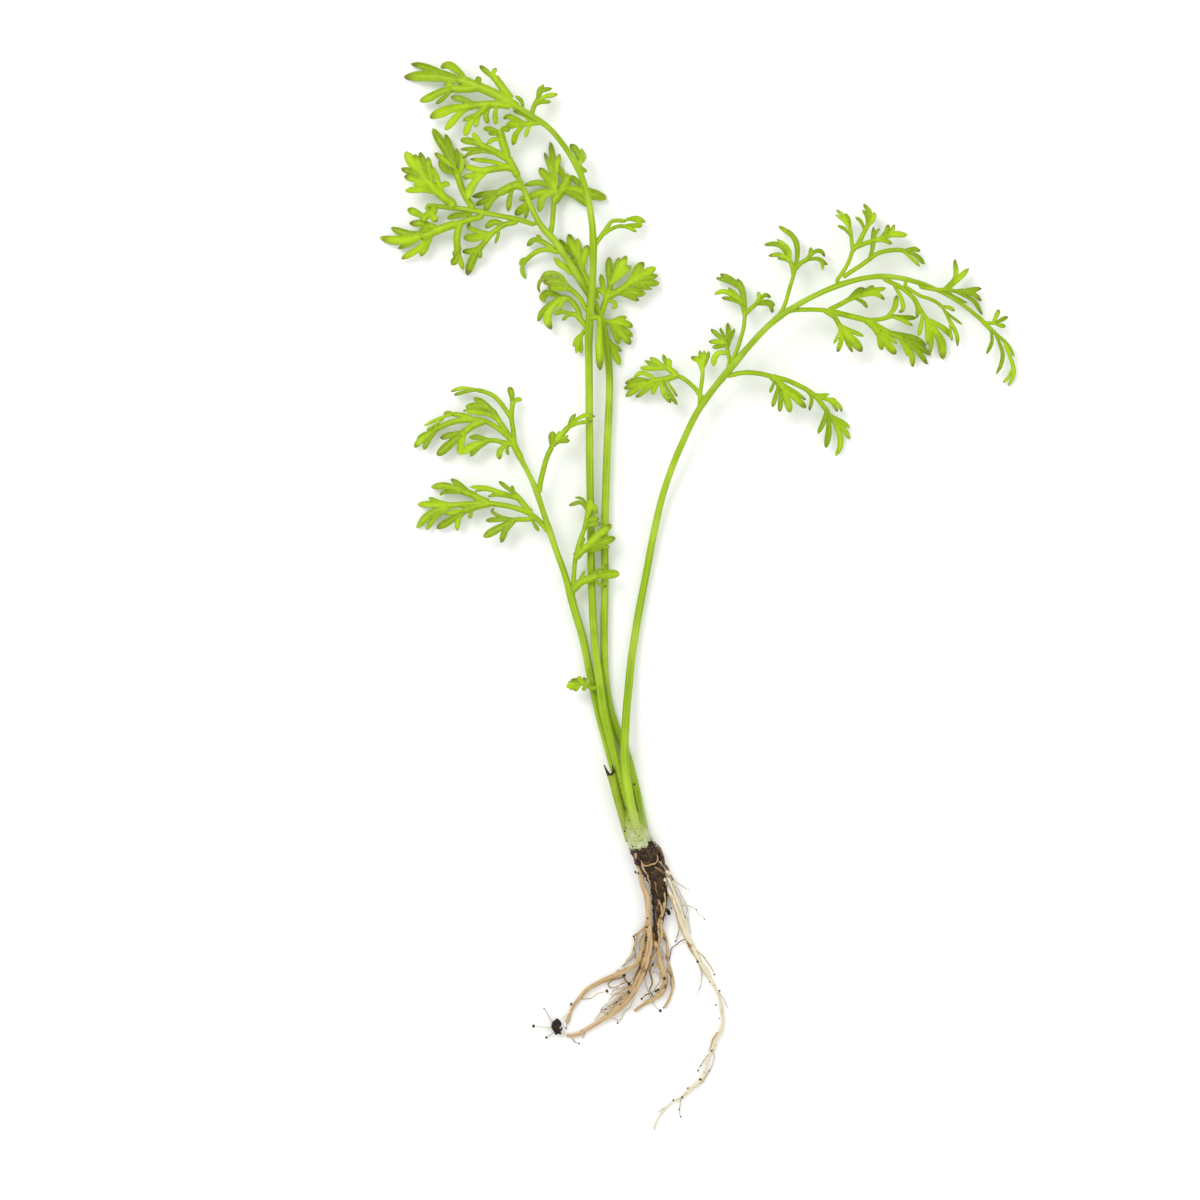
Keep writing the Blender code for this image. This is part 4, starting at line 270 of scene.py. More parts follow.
leaflet("right_leaflet_10", 3.4,
    stalk(0.8, (62, 148.2), (63, 147.4), (64.2, 146.6), (66, 145.6), (68, 145), (70, 144),
          (71.3, 142.9)),
    lobe(0.8, (71, 143.2), (73, 142.8), (74.4, 142)),
    lobe(0.6, (71.3, 142.7), (73.5, 140.7), (76.3, 138.7)),
    lobe(0.9, (71.3, 142.9), (73.2, 139.5), (75, 136), (75.2, 133.2)),
    lobe(0.6, (73.2, 138.6), (73.4, 136.5), (73.8, 134.6)))
leaflet("right_leaflet_11", 1.0,
    stalk(0.9, (66, 148), (68, 147.6), (70, 147.3), (72.5, 147.3), (75, 146.9)),
    lobe(1.1, (71.8, 147.4), (74.6, 150.5), (74.5, 155)),
    lobe(1.2, (72.5, 147.3), (75.6, 150.3), (78, 152.7)),
    lobe(1.2, (74.6, 147), (78, 147.2), (81.2, 147.8)),
    lobe(1.1, (75, 146.9), (79, 146.4), (81.2, 144.7)),
    lobe(0.9, (75, 146.7), (79.2, 144.7), (81.5, 141.3)),
    lobe(0.6, (72.3, 147), (75, 145.3), (77.5, 144.1)))
leaflet("right_end_leaf", 0.35,
    stalk(1.0, (80.9, 140.2), (82.3, 138.7), (83.6, 137.4)),
    stalk(0.8, (81.8, 139), (83, 139.1), (84.5, 139.1)),
    lobe(1.0, (84, 139.2), (84.9, 140.9), (85.6, 142.5)),
    lobe(0.9, (84.5, 139.1), (86.2, 139.9), (87.8, 140.7)),
    lobe(0.9, (84.4, 139), (86, 138.5), (87.2, 138.2)),
    stalk(0.8, (83.3, 137.8), (84, 137.2), (84.7, 136.4)),
    lobe(0.8, (83.6, 137.4), (83.8, 134.4), (82.5, 131.4)),
    lobe(0.9, (84.6, 136.6), (86.4, 132), (86.2, 129), (85, 126.4)),
    lobe(0.9, (84.7, 136.6), (87.4, 134), (89.4, 130.8)),
    lobe(0.9, (87, 133.8), (89, 129), (89.2, 126), (88.1, 123.5)),
    lobe(0.6, (88.8, 127.6), (88, 125.6), (86.6, 124.2)))
leaflet("right_leaflet_14", 0.8,
    stalk(1.1, (16.8, 125.8), (19, 126), (20.5, 126.4), (23, 126.6), (26, 126.3), (29, 125.6),
          (32, 124.9),
          (35, 123.7), (38, 122.1), (40, 120.5), (42, 118), (43.5, 116)),
    lobe(1.2, (43.5, 116.2), (45.7, 111.8), (46, 108.5), (44.9, 106)),
    lobe(1.0, (42.5, 117.4), (41.7, 114.3), (40.4, 111.5)),
    lobe(1.4, (43, 116.4), (43.1, 112), (42.4, 108)),
    lobe(1.1, (44.3, 115), (46.8, 112.8), (48.4, 110.2)),
    lobe(0.9, (43.8, 115.9), (46.4, 114.5), (48.4, 113)),
    stalk(1.8, (29, 125.6), (30.5, 124.2), (31.2, 123)),
    lobe(0.7, (29.8, 125), (29, 123.2), (28.3, 121.6)),
    lobe(1.0, (30.6, 123.8), (29.7, 120.6), (28.9, 118)),
    lobe(1.1, (31.1, 123.2), (31, 119.8), (30.7, 116.8)),
    lobe(1.6, (31.2, 123), (32.6, 119.8), (33.4, 116.7)),
    lobe(1.4, (31.2, 123.2), (34.4, 120.6), (37.4, 117.8)),
    lobe(0.8, (31.4, 124), (34.6, 121.9), (37.3, 119.9)),
    lobe(0.8, (37.3, 122.6), (38.8, 120.2), (38.2, 117.3)),
    lobe(0.8, (39, 121.4), (41, 121.1), (43.2, 121.3)),
    stalk(0.9, (39.6, 120.9), (41.5, 120.4), (43, 120)),
    lobe(0.8, (42.6, 120.1), (44, 120), (45.2, 119.5)),
    lobe(0.8, (43, 120), (45.4, 118.9), (46.4, 117)),
    lobe(0.8, (42.7, 120), (44.2, 118.9), (45.3, 117)))
# left frond
leaflet("left_end_leaf", 1.0,
    stalk(1.5, (-34.2, 106.2), (-35.2, 108.2), (-35.8, 110)),
    stalk(1.1, (-35.2, 108.5), (-35.4, 110), (-35.6, 112), (-35.9, 114), (-36.1, 116),
          (-35.9, 118), (-35.9, 119.6)),
    lobe(1.4, (-35.9, 119.4), (-36.1, 121.5), (-36.7, 123.2)),
    lobe(0.9, (-35.8, 118.8), (-34.8, 120), (-33.4, 119.9)),
    stalk(1.0, (-36, 115), (-37, 116.6), (-38.3, 118.5), (-39.5, 120), (-41, 121.2), (-43, 122),
          (-45, 122.5)),
    lobe(0.8, (-45, 122.6), (-48.5, 122.9), (-51.2, 122.1)),
    lobe(0.8, (-45, 122.4), (-48, 121.9), (-50.4, 121.2)),
    stalk(1.2, (-35.8, 109.6), (-37.2, 111.8), (-38.4, 113.5), (-39.6, 115.3), (-40.7, 117.2)),
    lobe(1.4, (-40.4, 116.8), (-43, 119), (-45.6, 120.4)),
    lobe(1.4, (-40.7, 117.3), (-44, 118.5), (-47.6, 118.2)),
    lobe(0.9, (-39.2, 114.6), (-42, 116.3), (-44.5, 116.6), (-47.3, 116.9)),
    lobe(0.8, (-41.5, 116.6), (-44.8, 117.5), (-48.2, 117.2)),
    stalk(1.1, (-36.2, 109.8), (-38, 111.6), (-40, 113.1), (-42, 114.3), (-44, 115), (-46, 115.2)),
    stalk(1.2, (-46, 115.4), (-48, 116), (-50.5, 116.4)),
    lobe(0.9, (-50.3, 116.4), (-52, 116.7), (-53, 116.4)),
    lobe(0.7, (-50.5, 116.3), (-53.5, 115.6), (-57.9, 113.6)),
    lobe(0.6, (-52.9, 115.5), (-54.6, 114.1), (-57.2, 112.4)),
    stalk(1.3, (-45.6, 115), (-48, 114.9), (-50.5, 114.5), (-53, 113.6), (-55.3, 112.5)),
    lobe(1.1, (-55, 112.7), (-57.5, 111.4), (-59.7, 110.3)),
    lobe(1.4, (-55.3, 112.5), (-58, 110.6), (-60.4, 108.1)),
    lobe(1.2, (-55, 112.2), (-57, 109.7), (-58, 107.5)),
    stalk(1.6, (-43, 114.6), (-45.3, 113.7), (-46.8, 112.7), (-48.3, 111.5)),
    lobe(1.3, (-47.8, 112), (-51, 111.2), (-53.9, 110.4)),
    lobe(2.0, (-48.4, 111.4), (-51.8, 108.6), (-54.7, 106.1)),
    lobe(1.6, (-48, 111.3), (-48.7, 108.6), (-48.8, 106.1)),
    stalk(1.1, (-35.6, 108.7), (-37, 109), (-38.5, 109.4), (-40.2, 109.8), (-42.2, 109.8)),
    lobe(1.1, (-42, 110), (-44.3, 110.6), (-46.7, 110.6)),
    lobe(1.6, (-42.2, 109.7), (-45.8, 108.4), (-48.5, 106.4)),
    lobe(1.2, (-41.8, 109.5), (-44.5, 107.9), (-46.4, 105.8)),
    lobe(1.3, (-37.2, 109), (-38.9, 107.2), (-39.1, 105)),
    lobe(0.7, (-36.7, 108.8), (-37.2, 107.4), (-36.8, 106.1)))
leaflet("left_leaflet_5", 5.4,
    stalk(1.2, (-29.2, 97.2), (-28.8, 99.5), (-28.2, 102), (-27.6, 104.3), (-26.8, 106.5),
          (-25.8, 108.4)),
    lobe(1.7, (-25.9, 108.2), (-25.9, 110.2), (-25.7, 112)),
    stalk(1.3, (-25.8, 108.4), (-24.6, 110), (-23.3, 111.5), (-22, 113)),
    lobe(1.2, (-24.6, 110), (-24.2, 111), (-23.6, 112)),
    lobe(0.9, (-22, 113), (-21.2, 114.8), (-20.1, 116.4)),
    lobe(0.9, (-22, 113), (-19.4, 115.2), (-17.4, 116), (-15.2, 115.7)),
    lobe(0.8, (-21.8, 112.9), (-19.2, 114.1), (-15.8, 114.6)),
    lobe(1.1, (-25.4, 108.8), (-23.8, 109.6), (-21.5, 109.7)),
    lobe(0.6, (-24.6, 109.7), (-23, 110.4), (-21.8, 110.9)))
leaflet("left_leaflet_6", 0.35,
    stalk(1.2, (-26.6, 86.8), (-28, 88.4), (-29.4, 89.9), (-31, 91.2), (-33, 92.2), (-36, 93.2),
          (-38, 93.6), (-40, 93.9),
          (-42, 94.2)),
    stalk(1.6, (-42, 94.4), (-44, 95.2), (-46, 96.3), (-48, 97)),
    lobe(1.2, (-46.3, 96.6), (-48.6, 98.4), (-51.2, 100.2)),
    lobe(1.5, (-48, 97.2), (-52.5, 98.5), (-56.2, 98.2)),
    lobe(0.9, (-47.8, 96.7), (-51, 97), (-53, 96.9), (-54, 96.1)),
    stalk(1.3, (-42, 94.1), (-45, 94.1), (-48, 93.9), (-51.5, 93.6)),
    lobe(1.0, (-51.2, 93.9), (-54.5, 94.5), (-56.8, 95.6)),
    lobe(1.4, (-51.5, 93.7), (-55.5, 93.9), (-59.6, 93.9)),
    lobe(1.6, (-51.5, 93.5), (-56.5, 91.5), (-59.8, 88)),
    lobe(1.2, (-51.3, 93.2), (-55, 90.8), (-57.4, 87.4)),
    stalk(1.5, (-41.4, 94), (-44, 93.5), (-46, 92.9), (-48, 92.2)),
    lobe(1.0, (-47.4, 92.6), (-50.2, 92), (-52.7, 91.4)),
    lobe(1.7, (-48, 92.1), (-51.6, 89.7), (-54.8, 87.9)),
    lobe(1.1, (-47.8, 92), (-49.4, 90), (-49.7, 87.3)),
    lobe(0.9, (-45.8, 92.8), (-46.3, 91.4), (-46.5, 90.3)),
    stalk(1.3, (-31.2, 91.8), (-32.5, 93.2), (-33.8, 94.8), (-35.2, 96.4)),
    lobe(0.9, (-35.2, 96.5), (-35.8, 97.6), (-36, 98.5)),
    lobe(0.9, (-35.2, 96.4), (-37.2, 98), (-39.2, 99.6)),
    lobe(1.0, (-34.8, 95.8), (-38, 96.6), (-42.5, 97.9), (-46.5, 98.2)),
    lobe(0.7, (-40.5, 97.1), (-43, 97.6), (-45.2, 97.2)),
    lobe(0.9, (-34, 95), (-37.5, 96), (-40, 96.3), (-41.9, 95.8)),
    stalk(1.1, (-30.4, 90.3), (-32.5, 90.1), (-34.5, 90.1), (-35.8, 89.8)),
    lobe(0.7, (-35, 90.1), (-38.5, 90.7), (-40.9, 92), (-40.4, 93)),
    lobe(1.1, (-35.8, 89.9), (-39, 90.1), (-42.5, 89.8)),
    lobe(1.8, (-35.8, 89.6), (-39.4, 87.8), (-43.1, 85.7)),
    lobe(1.3, (-35.5, 89.5), (-37.6, 87.2), (-38.7, 84.3)),
    lobe(0.8, (-31, 90), (-30.1, 88.5), (-29.2, 87.1)))
leaflet("left_leaflet_9", 5.3,
    stalk(1.0, (-20.8, 70.5), (-20.7, 73), (-20.5, 76), (-20.3, 79), (-20, 81), (-19.4, 83.5),
          (-18.6, 85.8), (-17.8, 88),
          (-17.3, 90.5), (-17, 92.5)),
    lobe(0.7, (-20.4, 73.2), (-18.9, 75.2), (-17.8, 77.3)),
    stalk(1.8, (-20.5, 72.8), (-18.9, 74.4), (-17, 75.2), (-15.3, 75.7)),
    lobe(0.6, (-16.6, 75.6), (-14.5, 77.4), (-12, 78.9)),
    lobe(1.9, (-15.4, 75.8), (-12, 76.4), (-9.1, 76.5)),
    lobe(0.9, (-15.6, 75.3), (-14.2, 74), (-12.3, 73.4)),
    stalk(1.9, (-20, 80.7), (-18.7, 82.2), (-17.2, 83.2)),
    lobe(0.6, (-18.8, 82.2), (-18.3, 84.2), (-17.8, 85.5)),
    lobe(1.8, (-17.4, 83.4), (-14.2, 86.6), (-11.1, 88.8)),
    lobe(1.7, (-17.2, 83.2), (-13.4, 84.5), (-10.1, 85.5)),
    lobe(0.8, (-17.4, 82.9), (-14.5, 83), (-11.5, 83.3)),
    lobe(0.8, (-18, 82.6), (-15.6, 82.3), (-13.8, 82.5)),
    lobe(0.9, (-17.2, 92.3), (-18.8, 94.3), (-21.7, 93.6)),
    lobe(0.6, (-17.1, 92.6), (-18.2, 95), (-20.2, 95.6)),
    lobe(1.5, (-17, 92.5), (-16.6, 93.8), (-16.4, 95)),
    lobe(1.2, (-17.2, 90.6), (-15.9, 93.5), (-14.7, 91.2)),
    lobe(1.2, (-17.5, 89.4), (-15.8, 90.2), (-14.2, 90.2)),
    lobe(1.2, (-17.8, 88.3), (-15.8, 88.9), (-13.8, 89)))
# tall frond
leaflet("tall_leaflet_1", 1.0,
    stalk(0.9, (-17.8, 137.2), (-18.1, 136.8), (-18.5, 136.3)),
    lobe(0.9, (-18.4, 136.4), (-19.6, 135.4), (-20.6, 133.3)),
    lobe(1.0, (-18.5, 136.3), (-19.4, 134.4), (-19.9, 131.6)),
    lobe(1.1, (-18.5, 136.2), (-18.9, 134.2), (-18.7, 131.6)))
leaflet("tall_leaflet_2", 0.6,
    stalk(1.2, (-17.6, 138.4), (-18.8, 140), (-19.4, 142), (-20.6, 144), (-22, 145.2), (-24, 145.5)),
    stalk(1.2, (-18.7, 139.7), (-20, 141), (-21.6, 141.5)),
    lobe(1.1, (-21.5, 141.5), (-23.5, 141.9), (-25.6, 141.4)),
    lobe(0.8, (-21, 141.3), (-22.3, 140.8), (-23.4, 139.7)),
    lobe(1.2, (-24, 145.5), (-26.5, 143.9), (-28.5, 141.8), (-29.5, 139.6)),
    lobe(1.7, (-24, 145.2), (-26.4, 142.5), (-27.2, 140), (-26.2, 137.5)),
    lobe(1.5, (-24, 145.7), (-26.6, 146.8), (-28.3, 145.9), (-28, 144.4)),
    lobe(1.0, (-22.4, 145.3), (-23.3, 144.5), (-24.4, 142.6)))
leaflet("tall_leaflet_3", 3.0,
    stalk(1.1, (-17.6, 142.6), (-18.7, 144.8), (-20.2, 146.5), (-21.8, 147.8)),
    lobe(1.8, (-21.6, 147.7), (-24.5, 149.4), (-28.2, 149.2)),
    lobe(0.8, (-21.8, 148), (-26, 150.4), (-28.6, 149.8), (-29.4, 148.2), (-29.1, 146.7)),
    lobe(1.1, (-22, 148.2), (-24, 150.9), (-27, 151.5), (-28.9, 150)),
    lobe(1.5, (-21.4, 147.4), (-24, 147.8), (-27, 148)))
leaflet("tall_leaflet_4", 2.4,
    stalk(1.1, (-15.4, 158), (-14.9, 158.9), (-13.9, 160.3), (-12.8, 161.9)),
    stalk(0.9, (-12.8, 161.9), (-12, 163.2), (-10.9, 164.4), (-9.5, 164.6), (-8, 164.5)),
    lobe(1.0, (-8, 164.5), (-6.5, 165.1), (-4.6, 165.3), (-2.6, 164.3)),
    lobe(0.8, (-6.6, 164.9), (-5, 164.6), (-3.4, 163.5)),
    stalk(0.9, (-13, 161.2), (-11.2, 162.4), (-9.5, 163.1), (-8, 163.2)),
    lobe(1.0, (-8.2, 163.2), (-6, 163.4), (-3.5, 163.2)),
    lobe(0.8, (-8.2, 163.1), (-6.3, 162.6), (-4.9, 161.8)))
leaflet("tall_leaflet_5", 2.6,
    stalk(1.1, (-30.9, 190.7), (-30.7, 192), (-30.2, 193.4), (-29.5, 194.8)),
    lobe(1.0, (-29.6, 194.6), (-29.2, 196.9), (-28, 198.6)),
    lobe(1.0, (-29.4, 194.9), (-28.4, 197), (-26, 197.7)),
    lobe(1.1, (-29.5, 194), (-27.7, 195.5), (-24.6, 196.2)),
    lobe(0.9, (-30.3, 193), (-28.6, 194), (-26.2, 194.2)))
leaflet("tall_end_leaf", 0.35,
    stalk(1.9, (-35.7, 193.5), (-36.8, 194.1), (-37.6, 194.4)),
    stalk(2.2, (-36.6, 194), (-39, 195.4), (-42, 196.9), (-45, 198.2), (-48.6, 199.6)),
    lobe(2.3, (-47.4, 199.2), (-53, 200.3), (-58, 200.8), (-63, 200.7)),
    lobe(1.4, (-50, 200.4), (-54, 201.8), (-58, 203.2), (-61.3, 204)),
    lobe(1.7, (-47.5, 199.6), (-49.6, 202), (-51.8, 203.4), (-53.8, 202.8)),
    lobe(1.4, (-44, 198.2), (-44.4, 199.4), (-43.7, 200.2)),
    stalk(1.8, (-44.5, 197.6), (-47.5, 197.4), (-50.5, 197.4)),
    lobe(1.8, (-50, 197.5), (-53, 197), (-56.2, 195.5), (-59, 194.5)),
    lobe(1.2, (-49.5, 197.6), (-51.6, 198.4), (-52.9, 198.4)),
    lobe(1.0, (-51, 197), (-53, 195.2), (-54.9, 193.8)),
    stalk(1.8, (-36.2, 194.8), (-37.6, 196.6), (-39.2, 198.8), (-40.2, 200.2)),
    lobe(1.2, (-39.6, 199.3), (-41.6, 201), (-44, 203.2)),
    lobe(1.0, (-40.2, 200.2), (-40.6, 201.2), (-39.8, 202.5)),
    stalk(1.8, (-36.4, 193), (-39, 193.4), (-42, 193.4), (-45, 193.2), (-48, 192.8)),
    lobe(2.1, (-47, 193), (-51, 192.4), (-54, 191.4), (-56.5, 190.4)),
    lobe(1.6, (-47, 192.6), (-49.6, 190.6), (-52.6, 187.2)),
    lobe(1.5, (-45, 193.3), (-48, 194.6), (-51.2, 195.4)),
    stalk(1.5, (-42, 193), (-43.6, 191.6), (-45, 190.4)),
    lobe(0.9, (-44, 191.4), (-46, 190.4), (-48.2, 189.4)),
    lobe(1.5, (-44.9, 190.6), (-46.6, 188.4), (-47.7, 185.6)),
    lobe(0.9, (-44.2, 191), (-44.6, 189.4), (-45.1, 187.7)),
    lobe(1.2, (-41.5, 193), (-42.4, 190.6), (-41.9, 188.6)),
    lobe(1.1, (-39.8, 193.2), (-40.1, 190.6), (-39.9, 188.4)))
leaflet("tall_leaflet_9", 3.2,
    stalk(1.2, (-29, 188.8), (-31, 188.6), (-33, 188.5)),
    lobe(1.2, (-32.4, 188.5), (-35, 189.8), (-37, 190.6), (-38, 190)),
    lobe(1.8, (-32.6, 188.4), (-35, 188.6), (-37.4, 188.2)),
    lobe(1.3, (-33, 188.2), (-35, 186), (-35.6, 183.4)),
    lobe(1.2, (-31, 188.8), (-33, 191), (-35.6, 192)),
    lobe(0.9, (-31.2, 188.4), (-32, 187.2), (-32.6, 185.2)))
leaflet("tall_leaflet_10", 7.4,
    lobe(0.9, (-33.2, 193), (-33.8, 194.5), (-35.1, 195.4)))
leaflet("tall_leaflet_11", 3.4,
    stalk(1.3, (-19.4, 178.2), (-18.9, 179.4), (-18.6, 180.6)),
    lobe(1.7, (-19, 179.4), (-20, 182), (-21.4, 183.6)),
    lobe(1.0, (-18.9, 179.2), (-18.5, 181), (-18.6, 182.5)),
    lobe(1.1, (-19, 178.6), (-18.2, 179.6), (-17.8, 181.3)),
    lobe(1.0, (-19.2, 178.4), (-18.3, 177), (-17.2, 176.8)))
leaflet("tall_leaflet_12", 7.4,
    stalk(1.2, (-14.3, 140.3), (-14.1, 138.6), (-14.1, 136.4)),
    lobe(1.7, (-14.1, 137.6), (-14.2, 133.5), (-14.1, 130.5), (-14, 127.2)))
# middle frond
leaflet("middle_leaflet_1", 0.7,
    stalk(1.2, (-12.8, 135.8), (-12.3, 135), (-11.6, 134.2)),
    lobe(0.9, (-11.8, 134.5), (-10.2, 133.4), (-8.6, 132.1)),
    lobe(1.4, (-11.6, 134.2), (-10.3, 131.6), (-9, 128.7)))
leaflet("middle_leaflet_2", 1.5,
    stalk(1.2, (-13.4, 139.6), (-12.4, 139.5), (-11, 139.2)),
    lobe(1.0, (-11.4, 139.4), (-9.5, 140.1), (-7.3, 140.6)),
    lobe(1.4, (-11, 139.3), (-8.5, 139.3), (-5.8, 138.2)),
    lobe(1.3, (-11, 139.1), (-8.4, 137.7), (-5.8, 135.8)),
    lobe(1.7, (-11, 138.9), (-8.8, 136.8), (-6.3, 133.8)),
    lobe(1.3, (-11.4, 138.8), (-10.2, 136.4), (-9.2, 133.8)))
leaflet("middle_leaflet_3", 2.4,
    stalk(1.3, (-13.9, 140.9), (-13.2, 142.6), (-12.7, 144.5), (-12, 146.3), (-11.4, 148.3)),
    lobe(1.6, (-11.5, 148), (-11.8, 152), (-11.7, 155.6)),
    lobe(1.3, (-11.3, 148.6), (-10.2, 152), (-9.2, 155.5)),
    lobe(1.7, (-11, 149.2), (-9, 152.8), (-7.4, 155.9)),
    lobe(1.5, (-11.2, 149), (-8.6, 151.5), (-6.3, 153.4)),
    lobe(1.2, (-12.3, 145.8), (-13.3, 148.5), (-13.8, 151.3)),
    lobe(1.0, (-12.5, 145.4), (-14.2, 147.4), (-15, 146.3), (-14.2, 145)),
    stalk(1.6, (-12.2, 145.6), (-10, 146.7), (-8, 147.9), (-6.2, 149.2)),
    lobe(1.9, (-6.8, 148.9), (-4.9, 152), (-3.1, 154.3)),
    lobe(1.7, (-6.4, 149.2), (-3, 151.4), (0, 153)),
    lobe(1.4, (-6.2, 149.2), (-3, 150.3), (0.4, 151)),
    lobe(1.6, (-6.4, 149), (-3, 149.2), (0.8, 149)),
    lobe(0.8, (-6.8, 148.6), (-4, 148.1), (-1, 147.6)),
    lobe(1.8, (-10, 146.6), (-6.4, 146.9), (-2.6, 146.3)),
    lobe(1.1, (-9, 146.4), (-6.4, 145.6), (-4.3, 144.7)),
    lobe(0.9, (-12.3, 144.6), (-10.6, 144.4), (-10.2, 143.2), (-11, 142.6)))
leaflet("middle_leaflet_5", 0.8,
    stalk(1.6, (-16.9, 148.8), (-17.6, 150.4), (-18.5, 152.2), (-19, 154)),
    lobe(1.3, (-18.8, 153.4), (-21, 156.6), (-22.8, 158.4), (-24.3, 160.1)),
    lobe(1.7, (-19, 154), (-20.8, 158), (-21.8, 161.5)),
    lobe(1.4, (-19, 154), (-19.5, 157), (-19.6, 160.4)),
    lobe(1.8, (-18.6, 153), (-17.9, 156), (-17, 158.7)),
    lobe(0.9, (-18.8, 153), (-20.4, 154.6), (-21.9, 155.3)),
    arch=-1.2)
leaflet("middle_leaflet_6", 3.8,
    lobe(1.3, (-21.2, 151.6), (-22.6, 152.8), (-24.2, 154), (-25.4, 155.4)))
leaflet("middle_leaflet_7", 0.5,
    stalk(1.1, (-24.6, 156.8), (-27, 157.4), (-29, 157.2), (-31, 156.2), (-32.4, 154.9)),
    lobe(0.9, (-32.2, 155.1), (-33.3, 153.6), (-33.4, 152), (-32.6, 150.3)),
    lobe(0.8, (-32, 155.3), (-33.4, 155), (-34, 153.6)),
    stalk(1.1, (-25.4, 157.2), (-27, 158.6), (-28.8, 159.6)),
    lobe(1.2, (-28.4, 159.4), (-30.5, 159.9), (-32.2, 158.4)),
    lobe(1.0, (-28.4, 159.4), (-29.2, 160.4), (-29.8, 161.1)))
leaflet("middle_leaflet_8", 0.8,
    stalk(1.15, (-26.4, 161), (-25.9, 164), (-25.6, 168), (-25.2, 171), (-25, 173)),
    lobe(1.0, (-25.2, 172.4), (-26.3, 177.4), (-27.9, 181.8)),
    lobe(1.35, (-25, 173), (-25.6, 178.5), (-26.4, 184.4)),
    lobe(1.2, (-24.9, 173), (-24.9, 177.4), (-24, 181.4)),
    lobe(1.75, (-25.1, 172.6), (-27.2, 175.4), (-29.2, 177.9)),
    lobe(1.25, (-25.2, 172.6), (-29, 174.2), (-32.8, 173.6)),
    lobe(1.6, (-25.3, 172), (-28.4, 171.8), (-31.6, 170.6), (-34.2, 169.9)),
    lobe(1.6, (-25.3, 171.8), (-28.2, 170.6), (-29.2, 166.7)),
    stalk(1.95, (-25.4, 169.5), (-23.8, 171.8), (-22.6, 174), (-21.6, 176)),
    lobe(1.15, (-22.8, 173.6), (-23.4, 176.4), (-24, 178.2)),
    lobe(2.3, (-23.4, 172.6), (-19.5, 172.4), (-16, 171.4), (-12.3, 170.3)),
    lobe(1.9, (-23.4, 172.2), (-20, 171), (-16, 168.1)),
    lobe(1.3, (-21.8, 175.6), (-20.6, 175.3), (-19, 173.4)),
    arch=-0.4)
leaflet("middle_leaflet_9", 1.4,
    lobe(1.8, (-31.5, 169.6), (-32.8, 168), (-35.2, 166.2)),
    lobe(0.8, (-31.9, 169), (-32.2, 167.2), (-32.7, 165.2)))
leaflet("middle_leaflet_10", 2.2,
    stalk(2.0, (-33.4, 173.2), (-35, 173.4), (-37, 172.6), (-39, 171.6)),
    lobe(1.3, (-38, 172), (-42, 171.4), (-45.9, 170.7)),
    lobe(1.5, (-39, 171.4), (-41.4, 169.4), (-42.8, 166.8)),
    lobe(1.2, (-39, 171.6), (-42, 170), (-45, 168.6)),
    lobe(1.2, (-35.8, 173.2), (-36.5, 170.2), (-36.9, 166.8)))
leaflet("middle_end_leaf", 5.6,
    stalk(1.6, (-34.9, 176.4), (-35.8, 178.2), (-37, 180), (-37.4, 181)),
    stalk(1.6, (-35.2, 177.2), (-37, 177.8), (-40, 177.5), (-43, 176.9)),
    lobe(1.3, (-42, 177.2), (-45, 177.3), (-48, 178.2)),
    lobe(1.3, (-43, 176.8), (-45.6, 175.8), (-48.2, 175.2)),
    lobe(1.8, (-42.4, 176.8), (-44.8, 174.6), (-46.4, 172), (-47, 169.8)),
    lobe(0.9, (-36.6, 178), (-41, 179.2), (-46.4, 179.8)),
    stalk(1.5, (-36, 179.4), (-38, 180.4), (-40, 181.6), (-42, 182.6), (-44, 183.4)),
    lobe(1.6, (-43, 183.2), (-46, 184.2), (-48.8, 184.6)),
    lobe(1.1, (-43, 183), (-44.6, 184.8), (-45.8, 186.4)),
    lobe(1.0, (-40, 181.4), (-44, 182.2), (-48.8, 182.3)),
    lobe(0.9, (-39, 180.8), (-43, 181.8), (-46.4, 181.2), (-48.2, 180)),
    stalk(1.8, (-37.2, 180.8), (-37.9, 183), (-38.6, 185.4), (-39, 187)),
    lobe(1.2, (-38.8, 186.4), (-41, 187.2), (-43.1, 187.4)),
    lobe(1.0, (-38.6, 185.8), (-40.2, 186.2), (-41.8, 186.1)),
    lobe(1.0, (-38.4, 184.6), (-40.2, 184.8), (-42.2, 183.8)),
    lobe(1.3, (-38.8, 186.6), (-37.8, 187.4), (-36.4, 187)))
# the side branch that the middle frond sends to the left
leaflet("branch_leaflet_1", 1.2,
    stalk(1.2, (-35.2, 164.2), (-37.5, 163.7), (-39.4, 162.6), (-41.4, 160.9), (-43.2, 158.6)),
    lobe(1.8, (-41, 161.2), (-44.6, 160.4), (-48.1, 160.4)),
    lobe(1.0, (-41, 161.4), (-44.4, 161.9), (-46.8, 163), (-46.4, 164.1)),
    lobe(1.5, (-37.8, 163.6), (-40.4, 164.2), (-42.6, 162.8)),
    lobe(0.7, (-39.2, 162.6), (-39.4, 161), (-40.1, 158.9)),
    lobe(1.2, (-42.8, 159.2), (-44, 157.4), (-43.9, 155.2)),
    lobe(1.9, (-43, 159), (-45.6, 155.4), (-47.2, 151.2)),
    lobe(1.3, (-42.8, 159), (-45.4, 157.2), (-48.4, 157)))
